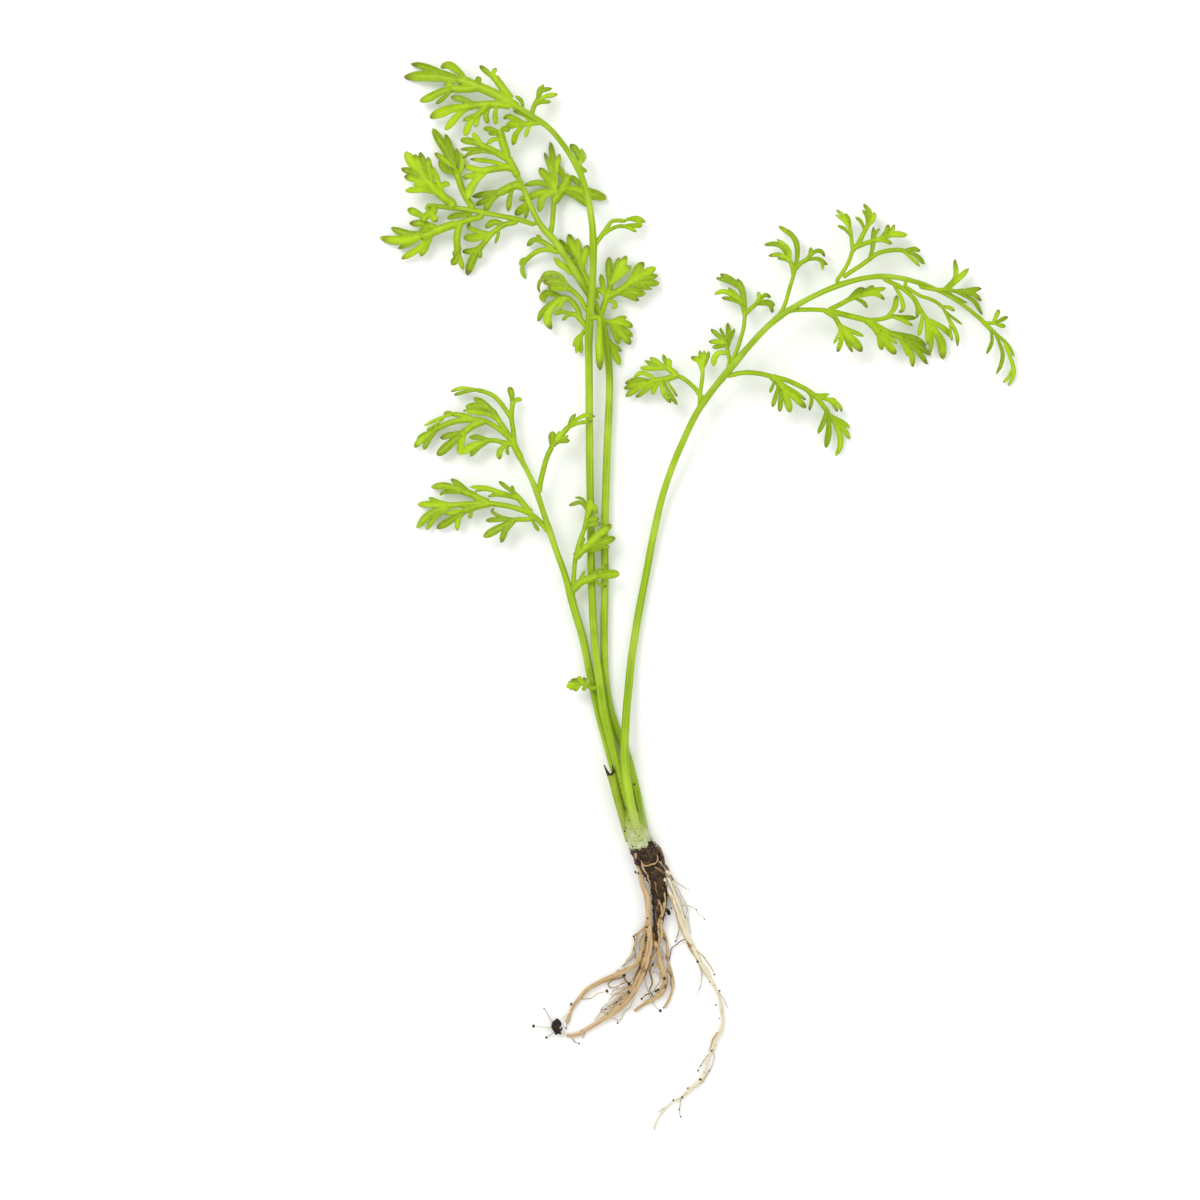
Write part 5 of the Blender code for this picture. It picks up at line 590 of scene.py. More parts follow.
leaflet("branch_leaflet_2", 0.6,
    stalk(1.4, (-43.8, 165.6), (-46, 165), (-48.4, 164.2), (-50.4, 163.6)),
    stalk(1.6, (-48.8, 164.2), (-49.4, 162), (-49.7, 159.6), (-49.4, 157)),
    lobe(0.9, (-49.6, 158.4), (-50, 157), (-50.7, 156)),
    lobe(1.6, (-49.5, 157.4), (-49.8, 155.2), (-51.1, 153.6)),
    lobe(1.1, (-49.4, 157.4), (-48.8, 154.6), (-48.1, 152.4)),
    stalk(1.9, (-50, 163.8), (-53, 162.8), (-56, 161.6), (-58, 160.8)),
    lobe(1.9, (-57, 161.2), (-62, 160), (-66, 159.9), (-69, 160.6)),
    lobe(1.6, (-56.4, 161.6), (-61, 161.3), (-64, 162), (-66.2, 163)),
    lobe(1.1, (-58, 160.7), (-61.5, 159), (-64.4, 157.8)),
    lobe(1.4, (-57, 160.8), (-59.4, 157.6), (-63.6, 155.2)),
    lobe(1.6, (-56, 161.2), (-57.4, 158.4), (-58.8, 155.8)),
    lobe(1.6, (-54, 162.6), (-58, 163.8), (-61.6, 164)),
    lobe(1.0, (-56, 162), (-58, 162.4), (-59, 161.4)))
leaflet("branch_leaflet_3", 3.6,
    lobe(1.3, (-46.5, 166.2), (-49, 166), (-52.2, 165.2)))
leaflet("branch_leaflet_4", 1.2,
    stalk(1.5, (-46, 168.3), (-47.4, 170.4), (-48.6, 173), (-49.4, 175.6), (-50.2, 178)),
    lobe(1.8, (-50, 177.4), (-52.4, 182), (-54.2, 185), (-55.8, 187.8)),
    lobe(1.4, (-50.2, 178), (-51.2, 182), (-52.6, 186.4)),
    lobe(1.2, (-50, 177.6), (-53, 180), (-55.3, 181.7)),
    lobe(1.1, (-50, 177.4), (-49.8, 180.4), (-49.8, 182.8)),
    lobe(1.3, (-49.6, 175.6), (-48.4, 178.6), (-48.6, 181.6)),
    lobe(1.4, (-49.8, 176.4), (-52.6, 177.4), (-54.2, 179.8)),
    arch=-0.6)
leaflet("branch_leaflet_5", 3.8,
    stalk(2.0, (-51, 168.9), (-53, 170.4), (-55, 172.2), (-57, 174.2)),
    lobe(2.3, (-56.4, 173.6), (-59.6, 177.4), (-62.6, 181.8)),
    lobe(1.4, (-57, 174.4), (-59, 178), (-60.2, 181.2)),
    lobe(1.5, (-56.6, 174), (-57.8, 178), (-58.9, 181.7)),
    lobe(1.5, (-56, 173.4), (-56.6, 177.4), (-56.9, 180.4)),
    lobe(1.5, (-57, 174.2), (-60.4, 176.4), (-63.6, 177.6)),
    lobe(1.5, (-56.6, 173.6), (-60, 174.8), (-62.8, 175.6)),
    lobe(1.0, (-55.8, 172.8), (-58.4, 173.6), (-60.6, 173.5)),
    lobe(1.2, (-53, 170.8), (-54.2, 173.8), (-55.8, 178)),
    lobe(1.2, (-54.4, 171.6), (-52.8, 173.6), (-51.4, 173.4)),
    lobe(1.4, (-54.6, 171.6), (-58.6, 172.3), (-62.6, 172)))
leaflet("branch_leaflet_6", 5.4,
    stalk(1.6, (-55.5, 167), (-57, 166), (-58.4, 164.6)),
    lobe(1.7, (-57.8, 165.4), (-59.6, 166.4), (-62, 167.4)),
    lobe(1.6, (-56.4, 166.4), (-55.6, 165.4), (-54.6, 164.4)))
# young leaf beside the tall stalk
leaflet("young_leaf", 5.0,
    stalk(0.9, (-16, 48.0), (-17.4, 48.9), (-18.6, 49.1), (-20.2, 49), (-21.4, 48.8)),
    lobe(1.0, (-20.8, 48.9), (-21.6, 48.6), (-22.4, 48.4)),
    lobe(0.9, (-20.4, 49), (-21.3, 49.3), (-22, 49.4)),
    lobe(1.0, (-19.6, 49.1), (-20.6, 49.9), (-21.3, 50)),
    lobe(1.0, (-19, 49.2), (-19.9, 50), (-20.3, 50.4)),
    lobe(1.0, (-18.4, 49.2), (-19, 50.2), (-19.4, 51)),
    lobe(1.0, (-17.6, 49), (-17.8, 50), (-18, 50.7)),
    lobe(0.9, (-20.2, 48.9), (-21, 48.2), (-21.6, 47.6)),
    lobe(1.0, (-19, 48.9), (-19.8, 48), (-20.5, 47.4)),
    lobe(1.0, (-17.4, 48.8), (-17.9, 48), (-18.4, 47.5)))


STALKS = {"left": LEFT_STALK, "right": RIGHT_STALK, "tall": TALL_STALK,
          "middle": MIDDLE_STALK, "branch": BRANCH_STALK}
ROOTS = {"thick_root": THICK_ROOT, "upper_root": UPPER_ROOT, "middle_root": MIDDLE_ROOT,
         "side_root": SIDE_ROOT, "long_root": LONG_ROOT, "fine_root": FINE_ROOT}

SWAY_SEED = 2                        # starts the noise that sways the strands, the same each run

# Strands of the root mass beside the main roots, as (look, radius, points from the crown outwards); one dark brown
# strand among them is painted shade.
# A point without a height lies on whatever is below it.
STRANDS = (
    ("tan", 0.36, (-5.2, 6.8), (-4.7, 4.6, 3.7), (-4.2, 2.6, 3.5), (-3.6, 0.6, 3.4), (-2.9, -1.6, 3.3),
     (-2.5, -4, 3.2)),
    ("brown", 0.3, (-5.6, 7.5, 3.0), (-5.0, 5.0, 2.8), (-4.5, 3.4, 2.6), (-3.9, 1.2, 2.5), (-3.0, -1.2, 2.5)),
    ("tan", 0.24, (-3.5, 4.4), (-2.9, 2.6), (-2.2, 1.2), (-1.7, -0.4), (-1.4, -2.4)),
    ("tan", 0.2, (-3.7, 5.2), (-3.2, 4.2), (-2.2, 3.9), (-1.2, 4.2), (-0.3, 4.3), (0.3, 5.2), (0.2, 6.4)),
    ("brown", 0.34, (0.3, 8.4), (0.9, 7.2), (1.5, 5.8), (2.1, 4.2), (2.8, 2.8), (3.6, 1.2, 2.9), (4.2, 0.0, 2.6)),
    ("tan", 0.2, (0.6, 4.8), (1.4, 3.8), (2.2, 2.6), (3.0, 1.6), (3.7, 0.4, 3.0)),
    ("brown", 0.26, (-0.4, 3.4), (0.6, 3.0), (1.6, 2.0), (2.5, 0.9), (3.0, -0.4)),
    ("grey", 0.12, (-0.4, 9.6), (0.7, 8.6), (1.4, 7.4), (1.8, 6.4, 3.6)),
    ("grey", 0.09, (0.0, 9.0), (1.1, 7.9), (1.8, 6.6, 3.4), (2.1, 5.4, 3.0)),
    ("pale", 0.2, (0.8, 2.6), (2.2, 1.6), (3.8, 0.6, 3.4)),
    ("pale", 0.42, (2.0, 0.4), (2.6, -1.0), (3.2, -2.6, 3.1), (4.0, -4.2, 2.7), (4.7, -6, 2.3), (5.7, -9, 1.9),
     (6.9, -12.5, 1.5), (8.4, -15.6, 1.2), (10.2, -19, 1.0), (11.6, -21.4, 0.9)),
    ("pale", 0.34, (3.0, 0.8, 3.4), (3.7, -1, 3.1), (4.3, -2.8, 2.8), (5.1, -4.8, 2.4), (6.2, -7.4, 1.9),
     (7.1, -10, 1.5), (7.9, -12.8, 1.3), (8.9, -15.5, 1.1), (10.6, -18.2, 0.8)),
    ("tan", 0.3, (2.3, -0.8), (2.8, -2.4), (3.4, -3.6, 2.9), (4.2, -5.4, 2.5), (5.0, -8, 2.0), (5.9, -11.2, 1.6),
     (7.2, -14.2, 1.2), (8.6, -17.2, 1.0), (10.4, -20.4, 0.9)),
    ("tan", 0.24, (2.8, -3.4), (3.6, -4.0, 2.9), (4.6, -4.8, 2.6), (5.6, -6.6, 2.1)),
    ("grey", 0.11, (4, 0.3, 2.8), (5.3, -0.6, 2.4), (6.8, -1.7, 2.0), (8.3, -2.6, 1.6)),
    ("grey", 0.1, (4.9, -1.3, 2.4), (5.7, -2.7, 1.9), (6.6, -4.2, 1.5), (7.5, -5.6, 1.2), (7.9, -8, 0.9),
     (8.2, -10.6, 0.7), (8.7, -13.4, 0.4)),
    ("grey", 0.12, (4.3, -1.0, 2.7), (5.0, -2.6, 2.3), (5.9, -4.2, 1.9), (6.5, -6.6, 1.3), (6.8, -8.0, 1.1),
     (7.3, -9.4, 1.0)),
    ("grey", 0.1, (6.6, -6.2, 1.4), (8.2, -6.4, 1.1), (9.6, -6.9, 0.8), (10.1, -7.7, 0.6), (10.8, -8.7, 0.5),
     (11.9, -9.1, 0.4), (12.2, -9.9, 0.3)),
    ("grey", 0.09, (6.0, -4.4, 1.7), (7.4, -6.4, 1.2), (7.7, -8.6, 0.9), (7.9, -10.4, 0.9)),
    ("grey", 0.14, (5.5, -9.4, 1.6), (5.7, -12, 0.9), (5.3, -14, 0.6), (4.8, -15.6, 0.4)),
    ("brown", 0.13, (7.9, -15.0, 1.1), (6.6, -15.2, 0.8), (5.2, -15.9, 0.6), (4.0, -17.0, 0.5), (3.7, -18.2, 0.5),
     (3.3, -19.8, 0.5), (2.9, -21.4, 0.6), (2.7, -23.0, 0.8)),
    ("rosy", 0.42, (2.1, -5.4), (1.9, -7.4), (1.3, -9.4), (1.2, -11.6), (1.5, -13.4, 1.8), (0.8, -15.6, 1.7),
     (0.1, -17.6, 1.8), (-0.9, -20.0, 1.9)),
    ("tan", 0.3, (0.5, -4.6), (1.2, -6.2), (1.5, -8.0), (0.9, -9.8), (0.5, -12.2), (0.7, -14.6, 2.2),
     (-0.1, -16.8, 2.2)),
    ("brown", 0.2, (-0.4, -0.2), (0.2, -2.4), (0.6, -4.4), (0.4, -6.6), (-0.2, -8.6), (0.1, -10.8), (-0.5, -13)),
    ("tan", 0.22, (2.0, -3.0), (2.4, -4.6), (2.3, -6.2), (2.5, -7.6)),
    # Painted shade: this dark brown strand lies along the right side of the root bundle, where shade falls.
    ("brown", 0.3, (-0.7, -11.6), (-0.5, -14, 2.3), (-0.8, -16.6, 2.2), (-1.2, -19, 2.0), (-2.0, -21.6, 1.9),
     (-3.0, -24.4, 1.7)),
    ("tan", 0.45, (-2.4, -10.4, 2.3), (-2.9, -13.4, 2.0), (-3.4, -16, 1.9), (-4.0, -18.4, 1.8), (-4.9, -20.4, 1.6),
     (-6.4, -22.2, 1.5), (-8.4, -23.0, 1.4)),
    ("rosy", 0.4, (-1.5, -11), (-1.3, -14, 3.0), (-1.4, -17, 2.8), (-1.9, -19.8, 2.5), (-2.9, -22.8, 2.4),
     (-4.0, -25.4, 2.3), (-5.6, -28, 2.1), (-8.0, -30.6, 1.9)),
    ("tan", 0.34, (-2.6, -18, 2.2), (-3.3, -21, 2.2), (-4.8, -24.6, 2.2), (-6.4, -27.6, 2.0), (-8.8, -30.8, 1.8),
     (-11.6, -33.2, 1.5), (-14.6, -35.2, 1.0)),
    ("brown", 0.22, (-2.3, -12.4, 2.9), (-2.4, -15.4, 2.6), (-2.9, -18.2, 2.3), (-3.8, -20.6, 2.1),
     (-4.9, -23.2, 1.9), (-5.6, -25.4, 1.8)),
    ("brown", 0.15, (-3.1, -12, 2.0), (-4.6, -13.2, 1.4), (-5.5, -14.2, 1.0), (-5.2, -15.5, 0.9),
     (-5.4, -17.5, 0.8), (-5.2, -19, 0.8), (-4.9, -20.4, 0.9)),
    ("grey", 0.26, (-5.3, -17.8, 0.8), (-6.0, -18.9, 0.7), (-7.1, -20.3, 0.6), (-8.5, -21.8, 0.5)),
    ("grey", 0.13, (-3.2, -12.8, 1.9), (-3.8, -14.6, 1.5), (-4.4, -17, 1.2), (-4.3, -19.4, 1.2), (-4.1, -21, 1.2)),
    ("tan", 0.2, (-2.9, -13.2, 2.1), (-3.5, -15.2, 1.8), (-3.9, -17.4, 1.6), (-4.4, -19.6, 1.4)),
    ("brown", 0.13, (-2.8, -12.6, 2.2), (-3.0, -14.6, 2.0), (-3.2, -16.4, 1.9)),
    ("rosy", 0.22, (0.3, -17.6, 1.6), (0.9, -18.6, 1.4), (0.6, -20.4, 1.3), (1.2, -22.6, 1.6), (2.3, -24.4, 1.6)),
    ("grey", 0.14, (0.9, -16.2, 1.3), (1.5, -17.8, 1.0), (1.7, -19.4, 0.9), (1.4, -21.2, 1.0)),
    ("brown", 0.14, (1.7, -14, 1.3), (2.4, -15.4, 0.9), (2.7, -17.4, 0.7), (2.4, -19.8, 0.6)),
    ("brown", 0.24, (-0.6, -20.6, 1.5), (-1.4, -22.4, 1.2), (-1.3, -24, 1.1), (-0.9, -26, 1.1), (-1.4, -27.6, 1.0),
     (-0.7, -29.2, 0.9)),
    ("tan", 0.18, (0.9, -23.4, 1.4), (1.0, -25, 1.1), (0.0, -26.6, 1.1), (-0.8, -28.2, 1.0)),
    ("tan", 0.2, (1.4, -21, 1.7), (0.2, -21.4, 1.6), (-1.0, -21.4, 1.6), (-1.9, -22.6, 1.6)),
    ("rosy", 0.16, (-1.6, -23.2, 1.3), (-0.4, -22.9, 1.3), (0.6, -23.4, 1.3), (1.6, -23.0, 1.5)),
    ("grey", 0.12, (-3.2, -23.2, 1.4), (-2.7, -25, 1.0), (-2.5, -26.6, 0.8), (-1.9, -28, 0.7), (-1.3, -29.6, 0.6),
     (-0.4, -31.2, 0.4), (0.6, -32.4, 0.4), (1.1, -32.6, 0.4)),
    ("brown", 0.17, (2.9, -22.8, 1.0), (3.7, -24, 0.8), (3.8, -25.6, 0.7), (4.0, -27.2, 0.7), (3.6, -28.8, 0.5),
     (2.8, -30.6, 0.4), (1.9, -31.9, 0.35)),
    ("brown", 0.22, (-1.2, -28.2, 1.0), (-2.6, -28.6, 0.8), (-3.5, -29.6, 0.6)),
    ("tan", 0.3, (1.9, -24.6, 1.6), (2.4, -26.2, 1.4), (1.5, -28, 1.3), (-0.3, -29.6, 1.2), (-2.8, -30.7, 1.0),
     (-5.2, -32.4, 0.7)),
    ("brown", 0.15, (-7.6, -23.6, 1.5), (-8.6, -24.3, 1.2), (-10, -24.6, 1.0), (-11.2, -25.2, 0.9),
     (-12, -26.2, 0.8), (-11.4, -27, 0.8), (-10, -26.6, 0.9), (-8.6, -26, 1.1), (-7.2, -25.2, 1.4)),
    ("brown", 0.22, (-8.6, -23.4, 1.5), (-7.8, -24.6, 1.4), (-7.2, -25.6, 1.4), (-6.2, -26.2, 1.5),
     (-5.2, -25.4, 1.7)),
    ("tan", 0.26, (-4.2, -21.8, 1.9), (-5, -23.4, 1.7), (-5.8, -24.8, 1.6), (-6.8, -26, 1.5), (-7.6, -27, 1.4)),
    ("tan", 0.19, (-4.9, -24.6, 1.8), (-6.4, -26.6, 1.5), (-8, -27.4, 1.3), (-9.6, -28.2, 1.1), (-11, -29.4, 0.9),
     (-11.8, -30.2, 0.7)),
    ("rosy", 0.17, (-5.6, -26.2, 1.7), (-7.4, -28, 1.4), (-9.2, -29, 1.2), (-10.4, -30.3, 0.9), (-11.6, -31.6, 0.7),
     (-13, -32.4, 0.5)),
    ("tan", 0.15, (-6.2, -27.2, 1.7), (-8.2, -29.4, 1.2), (-10, -30.6, 0.9), (-11.4, -32, 0.7), (-13.8, -32.8, 0.4)),
    ("rosy", 0.13, (-7.4, -24.8, 1.4), (-9.2, -26.2, 1.1), (-10.4, -27.4, 0.9), (-11.2, -28.6, 0.8)),
    ("rosy", 0.13, (-6.4, -26.4, 1.5), (-7.8, -26.8, 1.3), (-9.4, -27.1, 1.1), (-10.8, -28, 0.9)),
    ("tan", 0.13, (-7.0, -28.2, 1.4), (-9, -28.2, 1.2), (-10.4, -28.8, 1.0), (-11.6, -28.6, 0.8)),
    ("brown", 0.13, (-8.6, -29.0, 1.2), (-9.9, -30.4, 0.9), (-11, -31.1, 0.7), (-12.2, -31.3, 0.5)),
    ("tan", 0.12, (-19.0, -29.7, 0.7), (-17.8, -29.8, 0.5), (-16, -29.2, 0.6), (-14.2, -28.3, 0.6),
     (-12.4, -27.8, 0.7)),
    ("grey", 0.12, (-11.2, -30.2, 0.8), (-12.6, -31.2, 0.6), (-13.8, -32.6, 0.4), (-12.4, -33.2, 0.4),
     (-11.2, -32.9, 0.6)),
    ("grey", 0.14, (-13.5, -32.4, 0.4), (-14.4, -33.6, 0.35), (-15.4, -34.8, 0.3)),
    ("grey", 0.13, (-5.4, -29.6, 1.2), (-6.4, -31.6, 0.8), (-7.6, -32.6, 0.6), (-8.3, -33.6, 0.5),
     (-8.4, -34.6, 0.4), (-9.5, -35.7, 0.35)),
    ("grey", 0.11, (-11, -34.4, 0.7), (-9.8, -34.9, 0.5), (-8.6, -34.7, 0.4)),
    ("tan", 0.26, (-5.6, -21.6, 1.9), (-9, -23.3, 1.6), (-12.4, -24.6, 1.4), (-16, -26.4, 1.2), (-18.6, -28.6, 1.1),
     (-20.6, -31.2, 1.0), (-21.4, -33.4, 0.8), (-22.4, -35.8, 0.7)),
    ("grey", 0.2, (-9.8, -22.6, 1.1), (-8, -22.3, 1.3), (-6, -21.4, 1.6)),
    ("grey", 0.16, (-20.8, -30.8, 0.8), (-21.5, -33, 0.7), (-22.0, -35, 0.6), (-22.5, -37, 0.4)),
    ("pale", 0.16, (-21.4, -33, 0.8), (-22.6, -33.8, 0.9), (-23.6, -34.9, 1.0)),
    ("tan", 0.2, (-13.4, -34.6, 1.1), (-15.6, -36.2, 0.9), (-17.2, -37.2, 0.7), (-17.9, -38.6, 0.5),
     (-18.4, -39.6, 0.35)),
    ("pale", 0.24, (-15, -36, 0.9), (-17.2, -37.4, 0.8), (-19.6, -38.2, 0.8), (-21.8, -38.6, 0.7), (-24, -38, 0.8)),
    ("grey", 0.13, (-21.4, -38.8, 0.5), (-20.6, -40.2, 0.4), (-19.2, -40.8, 0.3)),
    ("grey", 0.12, (-25.4, -36, 1.2), (-26.6, -34.2, 0.8), (-28, -32.1, 0.4)),
    ("pale", 0.16, (-25.4, -36.9, 1.2), (-28, -36.7, 0.8), (-30.3, -36.5, 0.5)),
    ("grey", 0.15, (-25, -37.6, 1.0), (-26.4, -38.7, 0.6), (-27.4, -39.3, 0.4)),
    ("tan", 0.14, (10.2, -17.6, 1.0), (12.2, -19.6, 0.9), (13.7, -21.8, 0.7), (14.6, -23.8, 0.5)),
    ("pale", 0.3, (10.8, -20, 1.0), (12.2, -21.9, 1.1), (13.1, -23.6, 1.1), (14.4, -25.8, 0.9), (15.6, -28, 0.8)),
    ("tan", 0.22, (11.2, -21.6, 0.8), (12.6, -23.8, 0.7), (13.9, -25.2, 0.7)),
    ("grey", 0.12, (10.6, -20.6, 0.7), (11.4, -23.6, 0.5), (11.2, -26, 0.4), (10.4, -28.5, 0.3)),
    ("grey", 0.11, (15.9, -28, 0.6), (17, -30, 0.4), (18.2, -32.3, 0.3)),
    ("pale", 0.22, (15.9, -30, 0.9), (16.3, -33, 0.9), (16.9, -36, 0.7), (16.4, -37.6, 0.7), (15.2, -39.6, 0.9),
     (14.9, -41.6, 0.9), (14.2, -42.8, 0.8)),
    ("tan", 0.18, (15.6, -38, 1.0), (14.3, -39.8, 1.1), (13.8, -41.4, 0.9), (13.3, -42.8, 0.7)),
    ("grey", 0.14, (14.2, -42, 0.6), (14.5, -44.2, 0.5), (14.0, -46.4, 0.4), (12.9, -48.4, 0.4), (11.6, -50.4, 0.5),
     (9.8, -51.9, 0.5)),
    ("tan", 0.13, (13.0, -43.6, 0.8), (12.0, -45, 0.6), (11.1, -46.5, 0.5), (10.5, -47.6, 0.35)),
    ("pale", 0.2, (11.6, -49.2, 1.0), (10.3, -50.8, 1.0), (8.6, -52.0, 0.9), (7.4, -53.4, 0.7), (6.4, -54.4, 0.6)),
    ("tan", 0.15, (10.9, -49.6, 0.9), (9.6, -51.2, 0.8), (8.0, -52.2, 0.7)),
    ("grey", 0.12, (6.4, -54.4, 0.6), (6.0, -56, 0.4), (5.8, -57.5, 0.35), (6.1, -59.2, 0.3)),
    ("grey", 0.1, (3.4, -56, 0.4), (2, -57.2, 0.35), (0.3, -58.1, 0.3)),
)

# Crumbs of soil, dark root nodes and dots of painted shade, as (x, y, radius); each sits on what is below it.
CRUMBS_AND_SHADE_DOTS = (
    (-5.2, 2.0, 0.28), (-4.4, 1.7, 0.28), (3.9, -7.0, 0.2), (7.2, -9.3, 0.28), (-5.6, -14.1, 0.28),
    (-2.5, -15, 0.3), (-3.0, -17.9, 0.26), (10.4, -20.3, 0.32), (14.6, -23.6, 0.24), (13.4, -25.4, 0.24),
    (15.9, -27.7, 0.24), (14.9, -31.2, 0.2), (15.8, -34.6, 0.18), (13.9, -42.6, 0.26), (11.2, -46.4, 0.22),
    (10.5, -47.6, 0.22), (11.1, -49.8, 0.36), (8.0, -52.1, 0.3), (6.5, -54.3, 0.3), (4.3, -55, 0.26),
    (5.8, -57.3, 0.2), (6.1, -59.1, 0.2), (1.1, -32.6, 0.36), (1.9, -31.9, 0.22), (-12.3, -27.8, 0.38),
    (-8.0, -23.8, 0.4), (-6.8, -25.9, 0.4), (-6.8, -27.9, 0.4), (0.5, -27.4, 0.34), (-0.1, -27.8, 0.3),
    (2.1, -24.5, 0.38), (-3.6, -29.7, 0.3), (-9.6, -35.7, 0.24), (-19.2, -40.8, 0.22), (-27.4, -39.3, 0.28),
    (-28, -32.1, 0.22), (-30.6, -36.5, 0.4), (-21.2, -31, 0.28), (-22.5, -37, 0.24), (-0.9, -21.2, 0.3),
    (10.1, -7.4, 0.2), (12.1, -9.8, 0.18), (4.9, -15.2, 0.26), (-9.9, -30.5, 0.26), (3.2, -8.2, 0.5),
    (2.7, -7.6, 0.5), (-0.3, -5.8, 0.3), (0.4, -8.0, 0.3), (-0.3, -9.0, 0.3), (0.2, -11.4, 0.34),
    (-0.5, -12.8, 0.3), (0.0, -10.2, 0.26), (-2.3, -11.6, 0.3), (-2.1, -9.4, 0.26), (-2.4, -14.2, 0.34),
    (1.0, 5.6, 0.7), (0.7, 6.5, 0.4), (-4.9, 5.0, 0.36), (-3.3, 6.9, 0.3), (-5.9, 8.6, 0.22),
    # The small dots listed from (-7.9, 12.4) to (-4.9, 13.0) lie along the foot of the stalks. They are partly
    # painted shade, the shadow line between the old and the tall stalk, and partly the dark dashes along the foot's
    # edge.
    (-7.9, 12.4, 0.24), (-7.6, 13.2, 0.2), (-9.2, 25.4, 0.16), (-9.0, 24.2, 0.16), (-8.8, 22.8, 0.14),
    (-8.6, 21.2, 0.18), (-8.4, 20.4, 0.14), (-8.2, 18.8, 0.12), (-7.4, 16.6, 0.12), (-6.8, 15.1, 0.16),
    (-5.4, 12.3, 0.16), (-5.1, 11.8, 0.14), (-4.4, 11.2, 0.16), (-4.9, 13.0, 0.12), (-5.4, 24.0, 0.3),
)

# Knobs and old leaf scars on the root stock: (x, y, size, height above the body).
SCARS = ((-2.6, 6.1, 0.9, 0.25), (-0.9, 3.9, 0.8, 0.2), (0.6, 5.6, 0.9, 0.35), (-0.6, 2.0, 0.8, 0.25),
         (2.4, -5.4, 0.9, 0.5), (2.7, -7.8, 0.7, 0.55), (1.6, -0.8, 1.0, 0.25), (-1.7, 5.2, 0.7, 0.2))


# ---- shapes

def smooth_path(points, step):
    """Points about a step apart on a smooth curve through the given ones."""
    rows = [Vector(p) for p in points]
    rows = [2 * rows[0] - rows[1]] + rows + [2 * rows[-1] - rows[-2]]
    path = []
    for a, b, c, d in zip(rows, rows[1:], rows[2:], rows[3:]):
        count = max(1, round((c - b).length / step))
        for k in range(count):
            t = k / count
            path.append(0.5 * (2 * b + (c - a) * t + (2 * a - 5 * b + 4 * c - d) * t ** 2
                               + (3 * b - a - 3 * c + d) * t ** 3))
    path.append(rows[-2])
    return path


def nearest(axis, x, y):
    """A stalk's axis point, with its radius, nearest to (x, y)."""
    return min(smooth_path(axis, 0.5), key=lambda p: (p[0] - x) ** 2 + (p[1] - y) ** 2)


def rolled_tube(path, sides, radius, cap=True):
    """A closed tube along a path: a grid rolled round it and welded along its seam.

    radius(k, angle, point) gives the wall's distance from the axis in millimetres.
    """
    count = len(path) - 1
    bm = bmesh.new()
    bmesh.ops.create_grid(bm, x_segments=count, y_segments=sides, size=1)
    cell = {v: (round((v.co.x + 1) / 2 * count), round((v.co.y + 1) / 2 * sides)) for v in bm.verts}
    length = [0.0]
    for a, b in zip(path, path[1:]):
        length.append(length[-1] + (Vector(b[:3]) - Vector(a[:3])).length)
    uv = bm.loops.layers.uv.new("along_and_round")
    for face in bm.faces:
        for loop in face.loops:
            k, side = cell[loop.vert]
            loop[uv].uv = (length[k] / 10, side / sides)
    for v, (k, side) in cell.items():
        here = Vector(path[k][:3])
        ahead = Vector(path[min(k + 1, count)][:3]) - Vector(path[max(k - 1, 0)][:3])
        across = ahead.cross(Vector((0, 0, 1))).normalized()
        up = across.cross(ahead).normalized()
        angle = 2 * pi * (side % sides) / sides
        v.co = (here + (across * cos(angle) + up * sin(angle)) * radius(k, angle, here)) * MM
    bmesh.ops.remove_doubles(bm, verts=bm.verts, dist=1e-7)
    if cap:
        bmesh.ops.holes_fill(bm, edges=[e for e in bm.edges if e.is_boundary], sides=0)
    bmesh.ops.recalc_face_normals(bm, faces=bm.faces)
    return bm


def merge_into(bm, other):
    """Adds another bmesh's shape to bm."""
    mesh = bpy.data.meshes.new("part")
    other.to_mesh(mesh)
    other.free()
    bm.from_mesh(mesh)
    bpy.data.meshes.remove(mesh)


def add_piece(name, bm, material, replaced=()):
    """Makes the object of a finished shape, smooth, riding on the plant."""
    mesh = bpy.data.meshes.new(name)
    bm.to_mesh(mesh)
    bm.free()
    mesh.shade_smooth()
    mesh.materials.append(material)
    piece = bpy.data.objects.new(name, mesh)
    bpy.context.scene.collection.objects.link(piece)
    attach(piece, BODY)
    if replaced:
        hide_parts(*replaced)
    return piece


# ---- leaflets

def half_width(kind, width, share):
    """Half a ribbon's width: a lobe swells past its foot and ends in a blunt round tip."""
    if kind == "stalk":
        return width / 2 * (1.08 if share < 0.97 else 0.7)
    swell = 0.70 + 0.44 * min(1.0, share / 0.6)
    taper = max(0.0, 1 - (max(0.0, share - 0.66) / 0.34) ** 2.2) ** 0.55
    return max(0.04, width / 2 * swell * taper)


